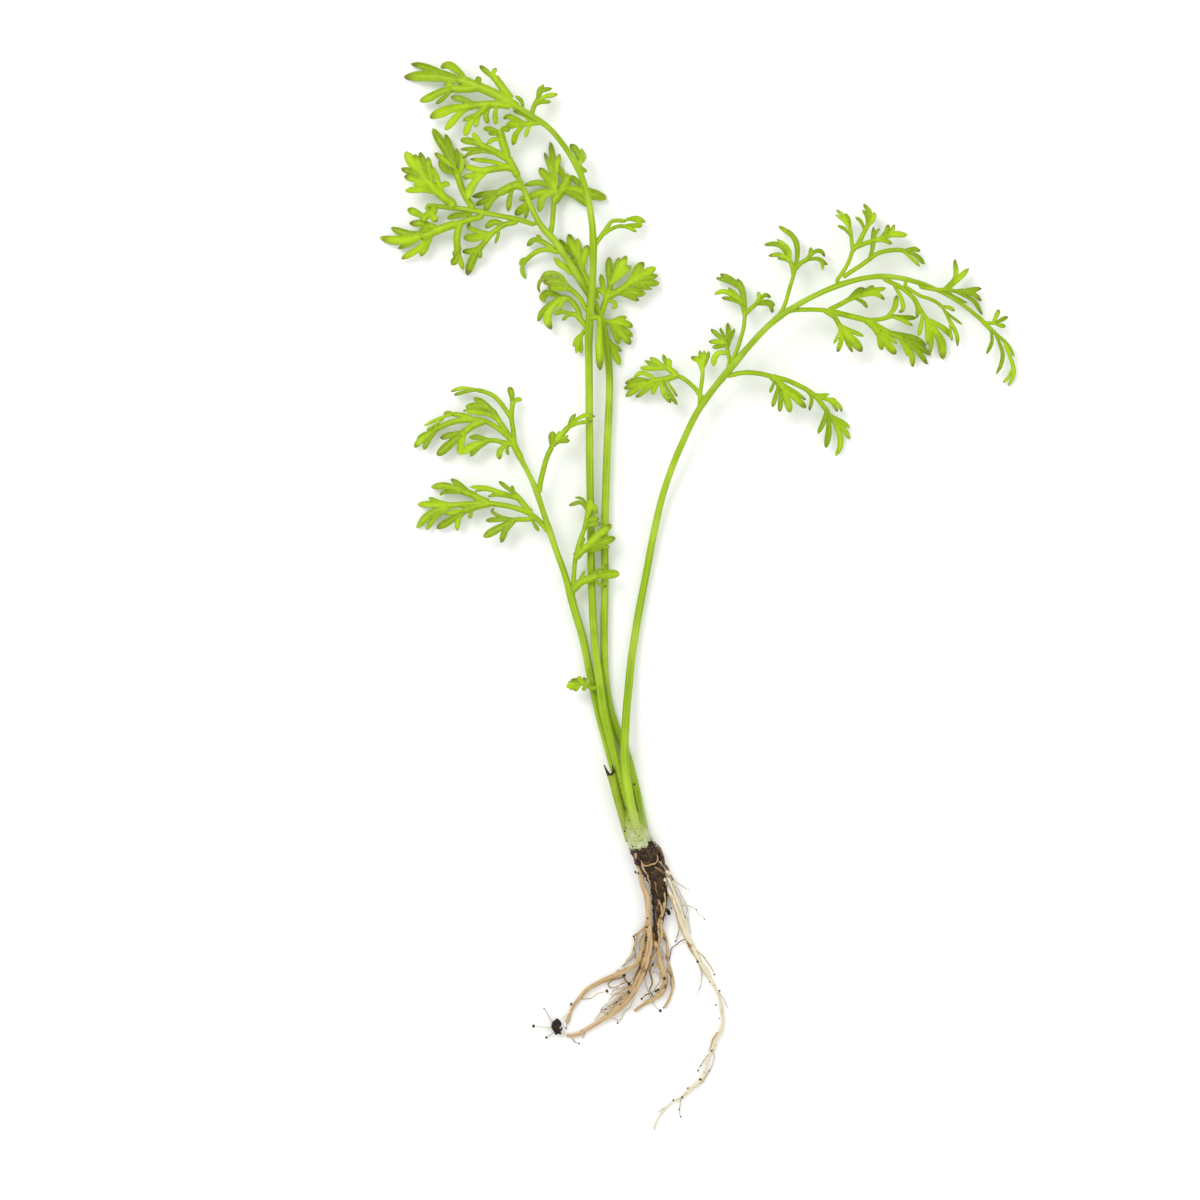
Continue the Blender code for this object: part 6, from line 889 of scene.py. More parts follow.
class Ribbon:
    """One stalk or lobe of a leaflet: its midrib, widths, and how it folds and bends."""

    def __init__(self, kind, width, points, luck, foot=None):
        self.kind = kind
        self.width = width
        self.path = smooth_path(([foot] if foot else []) + list(points), 0.3)
        last = len(self.path) - 1
        self.half = [half_width(kind, width, k / last) for k in range(last + 1)]
        self.ways = []
        for k in range(last + 1):
            ahead = self.path[min(k + 1, last)] - self.path[max(k - 1, 0)]
            self.ways.append(Vector((-ahead.y, ahead.x)).normalized())
        is_lobe = kind == "lobe"
        self.fold = luck.uniform(0.10, 0.30) * min(1.3, width) if is_lobe else 0.06
        self.tilt = luck.uniform(-0.42, 0.42) if is_lobe else luck.uniform(-0.1, 0.1)
        self.lift = luck.uniform(-0.5, 0.7) if is_lobe else 0.0
        self.tone = luck.uniform(0, 1) if is_lobe else 0.5

    def prism(self):
        """The ribbon's outline as an upright slab 1 mm high."""
        last = len(self.path) - 1
        bm = bmesh.new()
        bmesh.ops.create_grid(bm, x_segments=last, y_segments=1, size=1)
        for v in bm.verts:
            k = round((v.co.x + 1) / 2 * last)
            place = self.path[k] + self.ways[k] * (self.half[k] * (1 if v.co.y > 0 else -1))
            v.co = (place.x * MM, place.y * MM, 0)
        return raised(bm, MM)


def raised(bm, height):
    """Turns a flat sheet into a slab by extruding it straight up."""
    made = bmesh.ops.extrude_face_region(bm, geom=bm.faces[:])["geom"]
    tops = [item for item in made if isinstance(item, bmesh.types.BMVert)]
    bmesh.ops.translate(bm, verts=tops, vec=(0, 0, height))
    bmesh.ops.recalc_face_normals(bm, faces=bm.faces)
    return bm


def helper_object(name, bm):
    mesh = bpy.data.meshes.new(name)
    bm.to_mesh(mesh)
    bm.free()
    made = bpy.data.objects.new(name, mesh)
    bpy.context.scene.collection.objects.link(made)
    return made


def fused_sheet(name, ribbons, cell):
    """The outline of all ribbons together, as one flat sheet cut into small cells."""
    slabs = [helper_object(name + "_slab", ribbon.prism()) for ribbon in ribbons]
    xs = [p.x for ribbon in ribbons for p in ribbon.path]
    ys = [p.y for ribbon in ribbons for p in ribbon.path]
    low = Vector((min(xs) - 2, min(ys) - 2))
    size = Vector((max(xs) + 2, max(ys) + 2)) - low
    columns = max(2, round(size.x / cell))
    rows = max(2, round(size.y / cell))
    bm = bmesh.new()
    bmesh.ops.create_grid(bm, x_segments=columns, y_segments=rows, size=1)
    for v in bm.verts:
        v.co = ((low.x + (v.co.x + 1) / 2 * size.x) * MM, (low.y + (v.co.y + 1) / 2 * size.y) * MM, 0.3 * MM)
    slabs.append(helper_object(name + "_plate", raised(bm, 0.4 * MM)))
    whole = slabs[0]
    for slab in slabs[1:]:
        joint = whole.modifiers.new("Join", "BOOLEAN")
        joint.operation = "INTERSECT" if slab is slabs[-1] else "UNION"
        joint.solver = "MANIFOLD"
        joint.object = slab
    bpy.context.view_layer.update()
    made = bpy.data.meshes.new_from_object(whole.evaluated_get(bpy.context.evaluated_depsgraph_get()))
    for slab in slabs:
        bpy.data.objects.remove(slab)
    bm = bmesh.new()
    bm.from_mesh(made)
    bpy.data.meshes.remove(made)
    lower = [face for face in bm.faces if face.calc_center_median().z < 0.699 * MM]
    bmesh.ops.delete(bm, geom=lower, context="FACES")
    bmesh.ops.remove_doubles(bm, verts=bm.verts, dist=0.03 * MM)
    if not bm.faces:
        raise RuntimeError(name + " came out empty")
    for face in bm.faces:
        if face.normal.z < 0:
            face.normal_flip()
    return bm


def shape_leaf(mesh, ribbons, start, from_z, tips_z, arch):
    """Bends the flat sheet to its heights and stores what the material reads."""
    count = len(mesh.vertices)
    place = np.empty(count * 3, np.float32)
    mesh.vertices.foreach_get("co", place)
    place = place.reshape(-1, 3) / MM
    reach = max((p - start).length for ribbon in ribbons for p in ribbon.path)
    share = np.minimum(1, np.hypot(place[:, 0] - start.x, place[:, 1] - start.y) / reach)
    z = from_z + (tips_z - from_z) * share + 4 * arch * min(1.0, reach / 20) * share * (1 - share)
    total = np.zeros(count)
    bend = np.zeros(count)
    tone = np.zeros(count)
    tip = np.zeros(count)
    margin = np.full(count, 9.0)
    body = np.zeros(count)
    setting = bpy.context.scene.sprite_leaf
    for ribbon in ribbons:
        path = np.array([tuple(p) for p in ribbon.path])
        ways = np.array([tuple(w) for w in ribbon.ways])
        gap = np.hypot(place[:, None, 0] - path[None, :, 0], place[:, None, 1] - path[None, :, 1])
        near = gap.argmin(1)
        far = gap[np.arange(count), near]
        along = near / (len(path) - 1)
        half = np.array(ribbon.half)[near]
        off = (place[:, 0] - path[near, 0]) * ways[near, 0] + (place[:, 1] - path[near, 1]) * ways[near, 1]
        ratio = far / (ribbon.width / 2)
        weight = np.exp(-2.2 * ratio ** 2) + 1e-9
        margin = np.minimum(margin, far / np.maximum(half, 0.12))
        if ribbon.kind == "stalk":
            rise = 0.85 * ribbon.width * np.sqrt(np.clip(1 - (far / (ribbon.width * 0.56)) ** 2, 0, 1))
        else:
            rise = setting.margin + (setting.thickness - setting.margin) * np.exp(-(far / 0.22) ** 2)
        body = np.maximum(body, np.where(far < half + 0.3, rise, 0))
        if ribbon.kind == "stalk":
            along = along * 0
        bend += weight * (ribbon.fold * np.minimum(ratio, 1.5) ** 2 + ribbon.tilt * off
                          + ribbon.lift * along ** 2 * min(1.0, ribbon.width))
        tone += weight * ribbon.tone
        tip += weight * along
        total += weight
    body = np.clip(body, setting.margin, 1.6)
    z = np.maximum(z + bend / total, body / 2 + 0.03)
    place[:, 2] = z
    mesh.vertices.foreach_set("co", (place * MM).astype(np.float32).ravel())
    for key, values in (("margin", np.clip(margin, 0, 1)), ("tone", tone / total), ("tip", tip / total)):
        layer = mesh.attributes.new(key, "FLOAT", "POINT")
        layer.data.foreach_set("value", values.astype(np.float32))
    mesh.update()
    return body


def make_leaflet(name, tips_z, readings, arch, material):
    """One leaflet, bent and given its thickness, in place of its solid."""
    setting = bpy.context.scene.sprite_leaf
    axis = TALL_STALK if name == "young_leaf" else STALKS[name.split("_")[0]]
    luck = random.Random(name)
    start = Vector(readings[0][2][0])
    joint = nearest(axis, *start)
    foot = tuple(joint[:2]) if (joint.xy - start).length > 0.25 else None
    ribbons = [Ribbon(kind, width, points, luck, None if n else foot)
               for n, (kind, width, points) in enumerate(readings)]
    bm = fused_sheet(name, ribbons, setting.cell)
    piece = add_piece(name.replace("leaflet", "cut_leaf").replace("end_leaf", "end_cut_leaf").replace(
        "young_leaf", "young_cut_leaf"), bm, material, [name])
    body = shape_leaf(piece.data, ribbons, start, joint[2], tips_z, arch)
    group = piece.vertex_groups.new(name="blade")
    for k, value in enumerate(body):
        group.add([k], float(value / 1.6), "REPLACE")
    shell = piece.modifiers.new("Blade thickness", "SOLIDIFY")
    shell.thickness = 1.6 * MM
    shell.offset = 0
    shell.vertex_group = "blade"
    shell.thickness_vertex_group = 0.0
    return piece


# ---- materials

def linear(text):
    """Linear colour of an sRGB hex value."""
    channels = [int(text[k:k + 2], 16) / 255 for k in (1, 3, 5)]
    return tuple(c / 12.92 if c <= 0.04045 else ((c + 0.055) / 1.055) ** 2.4 for c in channels)


def node(tree, kind, settings=None, links=None):
    """Adds a node; a setting goes to its socket if there is one by that key, else to itself."""
    made = tree.nodes.new(kind)
    for key, value in (settings or {}).items():
        if isinstance(key, int) or key in made.inputs:
            made.inputs[key].default_value = value
        else:
            setattr(made, key, value)
    for key, source in (links or {}).items():
        tree.links.new(source, made.inputs[key])
    return made


def new_material(name, **settings):
    """A node material and its surface shader, with values that are the same all over."""
    made = bpy.data.materials.new(name)
    made.use_nodes = True
    shader = made.node_tree.nodes["Principled BSDF"]
    for key, value in settings.items():
        shader.inputs[key.replace("_", " ")].default_value = value
    return made, made.node_tree, shader


def mix(tree, amount, first, second):
    """Colour output between two colours, each a colour or an output."""
    made = node(tree, "ShaderNodeMix", {"data_type": "RGBA"})
    for key, value in ((0, amount), (6, first), (7, second)):
        if isinstance(value, bpy.types.NodeSocket):
            tree.links.new(value, made.inputs[key])
        elif key == 0:
            made.inputs[key].default_value = value
        else:
            made.inputs[key].default_value = (*value[:3], 1)
    return made.outputs[2]


def spread(tree, value, low, high, to_low=0.0, to_high=1.0):
    """A value's range stretched to another one, with soft ends."""
    return node(tree, "ShaderNodeMapRange", {"interpolation_type": "SMOOTHSTEP", "From Min": low,
                                             "From Max": high, "To Min": to_low, "To Max": to_high},
                {"Value": value}).outputs["Result"]


def speckle(tree, where, size_mm, detail=3.0, **more):
    """Noise whose patches are about size_mm across."""
    return node(tree, "ShaderNodeTexNoise", {"Scale": 1 / (size_mm * MM), "Detail": detail, **more},
                {"Vector": where}).outputs["Fac"]


def product(tree, first, second):
    return node(tree, "ShaderNodeMath", {"operation": "MULTIPLY"}, {0: first, 1: second}).outputs[0]


def frond_material(setting):
    """Living fern blade: thin, soft and waxy, so it is satin with a paler midrib and darker tips; the paler centres
    are partly painted light and the darker margins are painted shade.
    """
    made, tree, shader = new_material("living_frond_blade", Roughness=0.48, IOR=1.45,
                                      Specular_IOR_Level=0.25)
    where = node(tree, "ShaderNodeTexCoord").outputs["Object"]
    margin = node(tree, "ShaderNodeAttribute", {"attribute_name": "margin"}).outputs["Fac"]
    tone = node(tree, "ShaderNodeAttribute", {"attribute_name": "tone"}).outputs["Fac"]
    tip = node(tree, "ShaderNodeAttribute", {"attribute_name": "tip"}).outputs["Fac"]
    patches = speckle(tree, where, 5.0)
    grain = speckle(tree, where, 0.7)
    blade = mix(tree, spread(tree, tone, 0.25, 0.8), setting.blade, setting.shade)
    blade = mix(tree, spread(tree, patches, 0.42, 0.68, 0, 0.7), blade, setting.shade)
    # Paler along the midrib: partly the midrib's own colour, partly painted light on the lobe's raised centre.
    blade = mix(tree, spread(tree, margin, 0.35, 0.0, 0, 0.55), blade, setting.midrib)
    # Painted shade: the margins darkened towards the shade colour.
    blade = mix(tree, spread(tree, margin, 0.6, 1.0, 0, 0.45), blade, setting.shade)
    worn = product(tree, spread(tree, tip, 0.72, 1.0), spread(tree, patches, 0.38, 0.6, 0.1, 1.0))
    blade = mix(tree, worn, blade, setting.tip)
    blade = mix(tree, spread(tree, grain, 0.35, 0.75, 0, 0.25), blade, setting.midrib)
    tree.links.new(blade, shader.inputs["Base Color"])
    bump = node(tree, "ShaderNodeBump", {"Strength": 0.25, "Distance": 0.05 * MM}, {"Height": grain})
    tree.links.new(bump.outputs[0], shader.inputs["Normal"])
    return made


def stalk_material(setting):
    """Living fern stalk: smooth juicy skin with fine ribs along it, glossier than the blades."""
    made, tree, shader = new_material("living_ribbed_stalk", Roughness=0.40, IOR=1.45,
                                      Specular_IOR_Level=0.3)
    where = node(tree, "ShaderNodeTexCoord").outputs["Object"]
    along = node(tree, "ShaderNodeTexCoord").outputs["UV"]
    lines = node(tree, "ShaderNodeMapping", {"Scale": (0.35, 26, 1)}, {"Vector": along}).outputs[0]
    ribs = node(tree, "ShaderNodeTexNoise", {"Scale": 1.0, "Detail": 3.0}, {"Vector": lines}).outputs["Fac"]
    patches = speckle(tree, where, 9.0)
    height = node(tree, "ShaderNodeSeparateXYZ", {}, {0: where}).outputs["Y"]
    skin = mix(tree, spread(tree, ribs, 0.38, 0.62), setting.shade, setting.skin)
    skin = mix(tree, spread(tree, ribs, 0.55, 0.75, 0, 0.75), skin, setting.pale)
    skin = mix(tree, spread(tree, patches, 0.4, 0.7, 0, 0.5), skin, setting.pale)
    skin = mix(tree, spread(tree, height, 0.022, 0.010, 0, 0.75), skin, setting.foot)
    specks = product(tree, spread(tree, speckle(tree, where, 0.5, 2.0), 0.70, 0.76),
                     spread(tree, height, 0.03, 0.012))
    skin = mix(tree, specks, skin, setting.speck)
    tree.links.new(skin, shader.inputs["Base Color"])
    bump = node(tree, "ShaderNodeBump", {"Strength": 0.4, "Distance": 0.08 * MM}, {"Height": ribs})
    tree.links.new(bump.outputs[0], shader.inputs["Normal"])
    return made


def sheath_material(setting):
    """Papery foot of the stalks: pale grey-green, matte, with olive and brown flecks."""
    made, tree, shader = new_material("papery_stalk_foot", Roughness=0.55, IOR=1.45, Specular_IOR_Level=0.3)
    where = node(tree, "ShaderNodeTexCoord").outputs["Object"]
    height = node(tree, "ShaderNodeSeparateXYZ", {}, {0: where}).outputs["Y"]
    patches = speckle(tree, where, 1.6)
    flecks = speckle(tree, where, 0.55, 2.0)
    streak = spread(tree, patches, 0.35, 0.65)
    upper = mix(tree, streak, setting.shade, linear("#8E9C30"))
    lower = mix(tree, streak, setting.foot, linear("#BCC4A0"))
    skin = mix(tree, spread(tree, height, 0.0095, 0.0160), lower, upper)
    skin = mix(tree, spread(tree, flecks, 0.66, 0.72, 0, 0.9), skin, setting.speck)
    skin = mix(tree, spread(tree, height, 0.0084, 0.0074), skin, linear("#3B2A18"))
    tree.links.new(skin, shader.inputs["Base Color"])
    bump = node(tree, "ShaderNodeBump", {"Strength": 0.5, "Distance": 0.1 * MM}, {"Height": patches})
    tree.links.new(bump.outputs[0], shader.inputs["Normal"])
    return made


def root_material(name, body, fibres, dark, streaks):
    """Washed root skin: matte and fibrous, with darker soil stains along it."""
    made, tree, shader = new_material(name, Roughness=0.7, IOR=1.4, Specular_IOR_Level=0.3)
    where = node(tree, "ShaderNodeTexCoord").outputs["Object"]
    along = node(tree, "ShaderNodeTexCoord").outputs["UV"]
    lines = node(tree, "ShaderNodeMapping", {"Scale": (2.2, 9, 1)}, {"Vector": along}).outputs[0]
    fibre = node(tree, "ShaderNodeTexNoise", {"Scale": 1.0, "Detail": 5.0}, {"Vector": lines}).outputs["Fac"]
    stain = speckle(tree, where, 2.6, 4.0)
    skin = mix(tree, spread(tree, fibre, 0.35, 0.65, 0, 0.8), body, fibres)
    skin = mix(tree, spread(tree, stain, 0.66 - streaks, 0.8 - streaks, 0, 0.9), skin, dark)
    tree.links.new(skin, shader.inputs["Base Color"])
    bump = node(tree, "ShaderNodeBump", {"Strength": 0.6, "Distance": 0.12 * MM}, {"Height": fibre})
    tree.links.new(bump.outputs[0], shader.inputs["Normal"])
    return made


def rhizome_material(setting):
    """Old root stock: rough, damp, nearly black, with brown scales and paler scars."""
    made, tree, shader = new_material("rough_root_stock", Roughness=0.72, IOR=1.45,
                                      Specular_IOR_Level=0.3)
    where = node(tree, "ShaderNodeTexCoord").outputs["Object"]
    patches = speckle(tree, where, 1.5, 6.0)
    grit = speckle(tree, where, 0.4, 4.0)
    skin = mix(tree, spread(tree, patches, 0.40, 0.64), setting.dark, setting.brown)
    skin = mix(tree, spread(tree, grit, 0.54, 0.74, 0, 0.7), skin, setting.scar)
    tree.links.new(skin, shader.inputs["Base Color"])
    both = node(tree, "ShaderNodeMath", {"operation": "ADD"}, {0: patches, 1: grit}).outputs[0]
    bump = node(tree, "ShaderNodeBump", {"Strength": 0.9, "Distance": 0.25 * MM}, {"Height": both})
    tree.links.new(bump.outputs[0], shader.inputs["Normal"])
    return made


def soil_material(setting):
    """Damp pond soil: crumbly and almost black, with brown grit."""
    made, tree, shader = new_material("damp_soil_crumb", Roughness=0.9)
    where = node(tree, "ShaderNodeTexCoord").outputs["Object"]
    grit = speckle(tree, where, 0.35, 5.0)
    skin = mix(tree, spread(tree, grit, 0.45, 0.7), setting.soil, setting.brown)
    tree.links.new(skin, shader.inputs["Base Color"])
    bump = node(tree, "ShaderNodeBump", {"Strength": 1.0, "Distance": 0.2 * MM}, {"Height": grit})
    tree.links.new(bump.outputs[0], shader.inputs["Normal"])
    return made


# ---- settings

def colour(name, text, description):
    return bpy.props.FloatVectorProperty(name=name, description=description, subtype="COLOR", size=3,
                                         min=0.0, max=1.0, default=linear(text))


class SpriteLeafSettings(bpy.types.PropertyGroup):
    cell: bpy.props.FloatProperty(
        name="Cell", description="Size of a blade's mesh cells in millimetres", default=0.28,
        min=0.15, max=1.0)
    thickness: bpy.props.FloatProperty(
        name="Thickness", description="Blade thickness at the midrib in millimetres", default=0.42,
        min=0.1, max=1.0)
    margin: bpy.props.FloatProperty(
        name="Margin", description="Blade thickness at the margin in millimetres", default=0.18,
        min=0.05, max=1.0)
    blade: colour("Blade", "#9DBE00", "Blade colour of the brighter lobes")
    # On the margins this colour is painted shade.
    shade: colour("Shade", "#769400", "Blade colour of the darker lobes and margins")
    # On the lobes' centres this colour is partly painted light.
    midrib: colour("Midrib", "#B6CE2E", "Colour along the midribs")
    tip: colour("Tip", "#5A5A10", "Colour of worn lobe tips")


class SpriteStalkSettings(bpy.types.PropertyGroup):
    sides: bpy.props.IntProperty(name="Sides", description="Corners round a stalk", default=24, min=8, max=64)
    step: bpy.props.FloatProperty(
        name="Step", description="Spacing of a stalk's rings in millimetres", default=0.8, min=0.2, max=5.0)
    skin: colour("Skin", "#94B400", "Stalk colour")
    shade: colour("Shade", "#779600", "Stalk colour in its grooves")
    pale: colour("Pale", "#B2CC3C", "Stalk colour on its ribs")
    foot: colour("Foot", "#A9AE72", "Pale colour at the foot of the stalks")
    speck: colour("Speck", "#4E5420", "Flecks near the foot")


class SpriteRootSettings(bpy.types.PropertyGroup):
    sides: bpy.props.IntProperty(name="Sides", description="Corners round a root", default=16, min=6, max=48)
    step: bpy.props.FloatProperty(
        name="Step", description="Spacing of a root's rings in millimetres", default=0.4, min=0.1, max=3.0)
    long_share: bpy.props.FloatProperty(
        name="Long root share", description="Thickness of the long root's core in its bundle of strands",
        default=0.72, min=0.3, max=1.0, subtype="FACTOR")
    straw: colour("Straw", "#A98C5C", "Main root colour")
    pale: colour("Pale", "#CBB488", "Fibres of the tan roots")
    rosy: colour("Rosy", "#B2946E", "Colour of the thick root")
    cream: colour("Cream", "#CFC5A6", "Colour of the young long root")
    light: colour("Light", "#E0D8C2", "Fibres of the long root")
    hair: colour("Hair", "#A39C86", "Colour of the finest rootlets")
    stain: colour("Stain", "#5E4322", "Soil stains on the roots")
    brown: colour("Brown", "#4C3520", "Brown scales of the root stock")
    dark: colour("Dark", "#22180E", "Body of the root stock")
    scar: colour("Scar", "#8A7252", "Scars and worn spots of the root stock")
    soil: colour("Soil", "#140D08", "Soil")


class SpriteStageSettings(bpy.types.PropertyGroup):
    table: colour("Table", "#F4F4F2", "Table top")
    frame_mm: bpy.props.FloatProperty(
        name="Frame", description="Width of the photograph's frame on the table in millimetres",
        default=300.0, min=50.0, max=2000.0)
    lens: bpy.props.FloatProperty(
        name="Lens", description="Focal length of the camera in millimetres", default=200.0,
        min=20.0, max=400.0)
    key_power: bpy.props.FloatProperty(
        name="Key light", description="Power of the large light overhead in watts", default=5.0,
        min=0.0, max=200.0)
    sky: bpy.props.FloatProperty(
        name="Sky", description="Strength of the even surrounding light", default=0.95, min=0.0, max=5.0)


# ---- operators

def swollen(axis, name):
    """How much fuller a stalk is at (x, y), where leaflets leave it."""
    joints = [ribbons[0][2][0] for leaf, tips_z, ribbons, arch in LEAFLETS if leaf.startswith(name)]

    def extra(x, y):
        near = min(((x - p[0]) ** 2 + (y - p[1]) ** 2 for p in joints), default=99.0)
        return 0.12 * exp(-near / 6)

    return extra


def grown(name, axis):
    """A stalk's axis, run back into the stalk it leaves and on into its last leaf."""
    points = list(axis)
    if name == "branch":
        joint = nearest(MIDDLE_STALK, *axis[0][:2])
        points = [(joint[0] + 0.3, joint[1] - 0.8, joint[2], 0.5), (*joint[:3], 0.5)] + points
    end = Vector(axis[-1][:2])
    leaf, tips_z, ribbons, arch = min(
        (item for item in LEAFLETS if item[0].startswith(name) and item[2][0][0] == "stalk"),
        key=lambda item: (Vector(item[2][0][2][0]) - end).length)
    start = Vector(ribbons[0][2][0])
    if (start - end).length < 2.5:
        reach = max((Vector(p) - start).length for kind, width, row in ribbons for p in row)
        for far, size in ((1.2, 0.85), (3.0, 0.66), (5.0, 0.4)):
            path = smooth_path(ribbons[0][2], 0.3)
            here = min(path, key=lambda p: abs((p - start).length - far))
            share = (here - start).length / reach
            rise = axis[-1][2] + (tips_z - axis[-1][2]) * share + 4 * arch * min(1, reach / 20) * share * (1 - share)
            points.append((here.x, here.y, rise - 0.1, axis[-1][3] * size))
    return points


class SPRITE_OT_stalks(bpy.types.Operator):
    """Make the four long stalks and the side branch, ribbed and slightly grooved on top"""
    bl_idname = "sprite.stalks"
    bl_label = "Stalks"

    def execute(self, context):
        setting = context.scene.sprite_stalk
        look = stalk_material(setting)
        for name, axis in STALKS.items():
            path = smooth_path(grown(name, axis), setting.step)
            extra = swollen(axis, name)

            def radius(k, angle, here):
                rib = 0.035 * sin(7 * angle + here.y * 0.03) - 0.10 * exp(-((angle - pi / 2) / 0.35) ** 2)
                wave = 0.05 * noise.noise(Vector((cos(angle), here.y * 0.15, sin(angle))))
                return path[k][3] * (1 + rib + wave) + extra(here.x, here.y)

            bm = rolled_tube(path, setting.sides, radius)
            add_piece(name + "_ribbed_stalk", bm, look, [name + "_stalk"])
        return {"FINISHED"}


class SPRITE_OT_old_stalk(bpy.types.Operator):
    """Make the old stalk, hollow and torn open at its end"""
    bl_idname = "sprite.old_stalk"
    bl_label = "Old torn stalk"

    def execute(self, context):
        setting = context.scene.sprite_stalk
        look = stalk_material(setting)
        look.name = "old_torn_stalk"
        tree = look.node_tree
        shader = tree.nodes["Principled BSDF"]
        skin = shader.inputs["Base Color"].links[0].from_socket
        torn = node(tree, "ShaderNodeAttribute", {"attribute_name": "torn"}).outputs["Fac"]
        where = node(tree, "ShaderNodeTexCoord").outputs["Object"]
        ragged = node(tree, "ShaderNodeMath", {"operation": "MULTIPLY_ADD", 1: 0.6, 2: -0.3},
                      {0: speckle(tree, where, 0.9)}).outputs[0]
        edge = node(tree, "ShaderNodeMath", {"operation": "ADD"}, {0: torn, 1: ragged}).outputs[0]
        worn = mix(tree, speckle(tree, where, 2.5), skin, linear("#7C8420"))
        tree.links.new(mix(tree, spread(tree, edge, 0.45, 0.75), worn, linear("#2E1C10")),
                       shader.inputs["Base Color"])
        path = smooth_path(list(OLD_STALK[:-1]) + [(-10.9, 25.4, 4.75, 1.05), (-11.2, 26.4, 4.9, 1.1)], 0.4)
        count = len(path) - 1

        def radius(k, angle, here):
            return path[k][3] * (1 + 0.03 * sin(6 * angle))

        bm = rolled_tube(path, 24, radius, cap=False)
        layer = bm.verts.layers.float.new("torn")
        middle = Vector(path[count][:3])
        rim = [e for e in bm.edges if e.is_boundary and min(v.co.y for v in e.verts) > 0.02]
        foot = [e for e in bm.edges if e.is_boundary and e not in rim]
        bmesh.ops.holes_fill(bm, edges=foot, sides=0)
        for v in bm.verts:
            v[layer] = max(0.0, 1 - (v.co / MM - middle).length / 1.9)
        for stretch in (0.5, 0.5):
            made = bmesh.ops.extrude_edge_only(bm, edges=rim)["geom"]
            rim = [item for item in made if isinstance(item, bmesh.types.BMEdge) and item.is_boundary]
            for v in {v for e in rim for v in e.verts}:
                off = v.co / MM - middle
                angle = atan2(off.z, off.x)
                prong = (2.5 if cos(angle) < 0 else 1.9) * abs(cos(angle)) ** 2.4
                longer = 0.25 + prong + 0.3 * noise.noise(Vector((2.4 * angle, 2.0, 0.5)))
                v.co += Vector((-0.3, 0.95, 0.04)) * longer * stretch * MM
                v[layer] = 1.0
        bmesh.ops.recalc_face_normals(bm, faces=bm.faces)
        piece = add_piece("old_torn_stalk", bm, look, ["old_stalk"])
        wall = piece.modifiers.new("Wall", "SOLIDIFY")
        wall.thickness = 0.3 * MM
        wall.offset = -1
        return {"FINISHED"}


class SPRITE_OT_leaflets(bpy.types.Operator):
    """Make every cut leaf: lobes fused to their ribs, bent, folded and thin at the margin"""
    bl_idname = "sprite.leaflets"
    bl_label = "Cut leaves"

    def execute(self, context):
        look = frond_material(context.scene.sprite_leaf)
        for name, tips_z, ribbons, arch in LEAFLETS:
            make_leaflet(name, tips_z, ribbons, arch, look)
        return {"FINISHED"}


class SPRITE_OT_foot(bpy.types.Operator):
    """Make the pale papery foot that wraps the stalks above the root stock"""
    bl_idname = "sprite.foot"
    bl_label = "Foot of the stalks"

    def execute(self, context):
        rings = ((-3.3, 7.3, 3.1, 2.0), (-3.5, 7.6, 3.1, 2.6), (-3.9, 8.6, 3.2, 2.85), (-4.3, 10, 3.4, 2.95),
                 (-4.8, 11.6, 3.6, 3.0), (-5.3, 13.4, 3.75, 2.85), (-5.9, 15.4, 3.9, 2.35),
                 (-6.4, 17, 4.0, 1.7), (-6.8, 18.4, 4.0, 0.9))
        path = smooth_path(rings, 0.3)

        def radius(k, angle, here):
            fibre = noise.noise(Vector((4 * cos(angle), 4 * sin(angle), here.y * 0.12)))
            return path[k][3] * (1 + 0.05 * fibre - 0.04 * sin(angle) ** 2)

        bm = rolled_tube(path, 56, radius)
        add_piece("papery_foot", bm, sheath_material(context.scene.sprite_stalk), [])
        return {"FINISHED"}


class SPRITE_OT_rhizome(bpy.types.Operator):
    """Make the knobbly root stock with its scars and small scales"""
    bl_idname = "sprite.rhizome"
    bl_label = "Root stock"

    def execute(self, context):
        path = smooth_path(CROWN, 0.3)

        def radius(k, angle, here):
            wall = here + Vector((cos(angle), 0, sin(angle))) * path[k][3]
            rough = 0.16 * noise.noise(wall * 0.8) + 0.10 * noise.noise(wall * 2.1)
            knob = sum(high * exp(-((wall.x - x) ** 2 + (wall.y - y) ** 2) / (0.5 * size * size))
                       for x, y, size, high in SCARS) if sin(angle) > -0.2 else 0.0
            return path[k][3] * (0.97 + rough) + knob

        bm = rolled_tube(path, 56, radius)
        for v in bm.verts:
            v.co.z = max(v.co.z, 0.01 * MM)
        luck = random.Random("scales")
        skin = [v.co.copy() for v in bm.verts if v.co.z > 1.2 * MM]
        middle = [Vector(p[:3]) * MM for p in path]
        for number in range(150):
            foot = luck.choice(skin)
            core = min(middle, key=lambda p: (p - foot).length)
            away = (foot - core).normalized()
            way = (Vector((luck.uniform(-0.5, 0.5), luck.choice((-1, 1)) * luck.uniform(0.4, 1), 0))
                   + away * luck.uniform(0.15, 0.6)).normalized()
            length = luck.uniform(0.5, 1.5) * MM
            scale = bmesh.ops.create_cone(bm, cap_ends=True, segments=5, radius1=luck.uniform(0.08, 0.2) * MM,
                                          radius2=0.01 * MM, depth=length)["verts"]
            turn = way.to_track_quat("Z", "Y").to_matrix()
            bmesh.ops.rotate(bm, verts=scale, matrix=turn)
            bmesh.ops.translate(bm, verts=scale, vec=foot + way * length * 0.35)
        for v in bm.verts:
            v.co.z = max(v.co.z, 0.01 * MM)
        add_piece("rough_root_stock", bm, rhizome_material(context.scene.sprite_root), ["rhizome"])
        return {"FINISHED"}


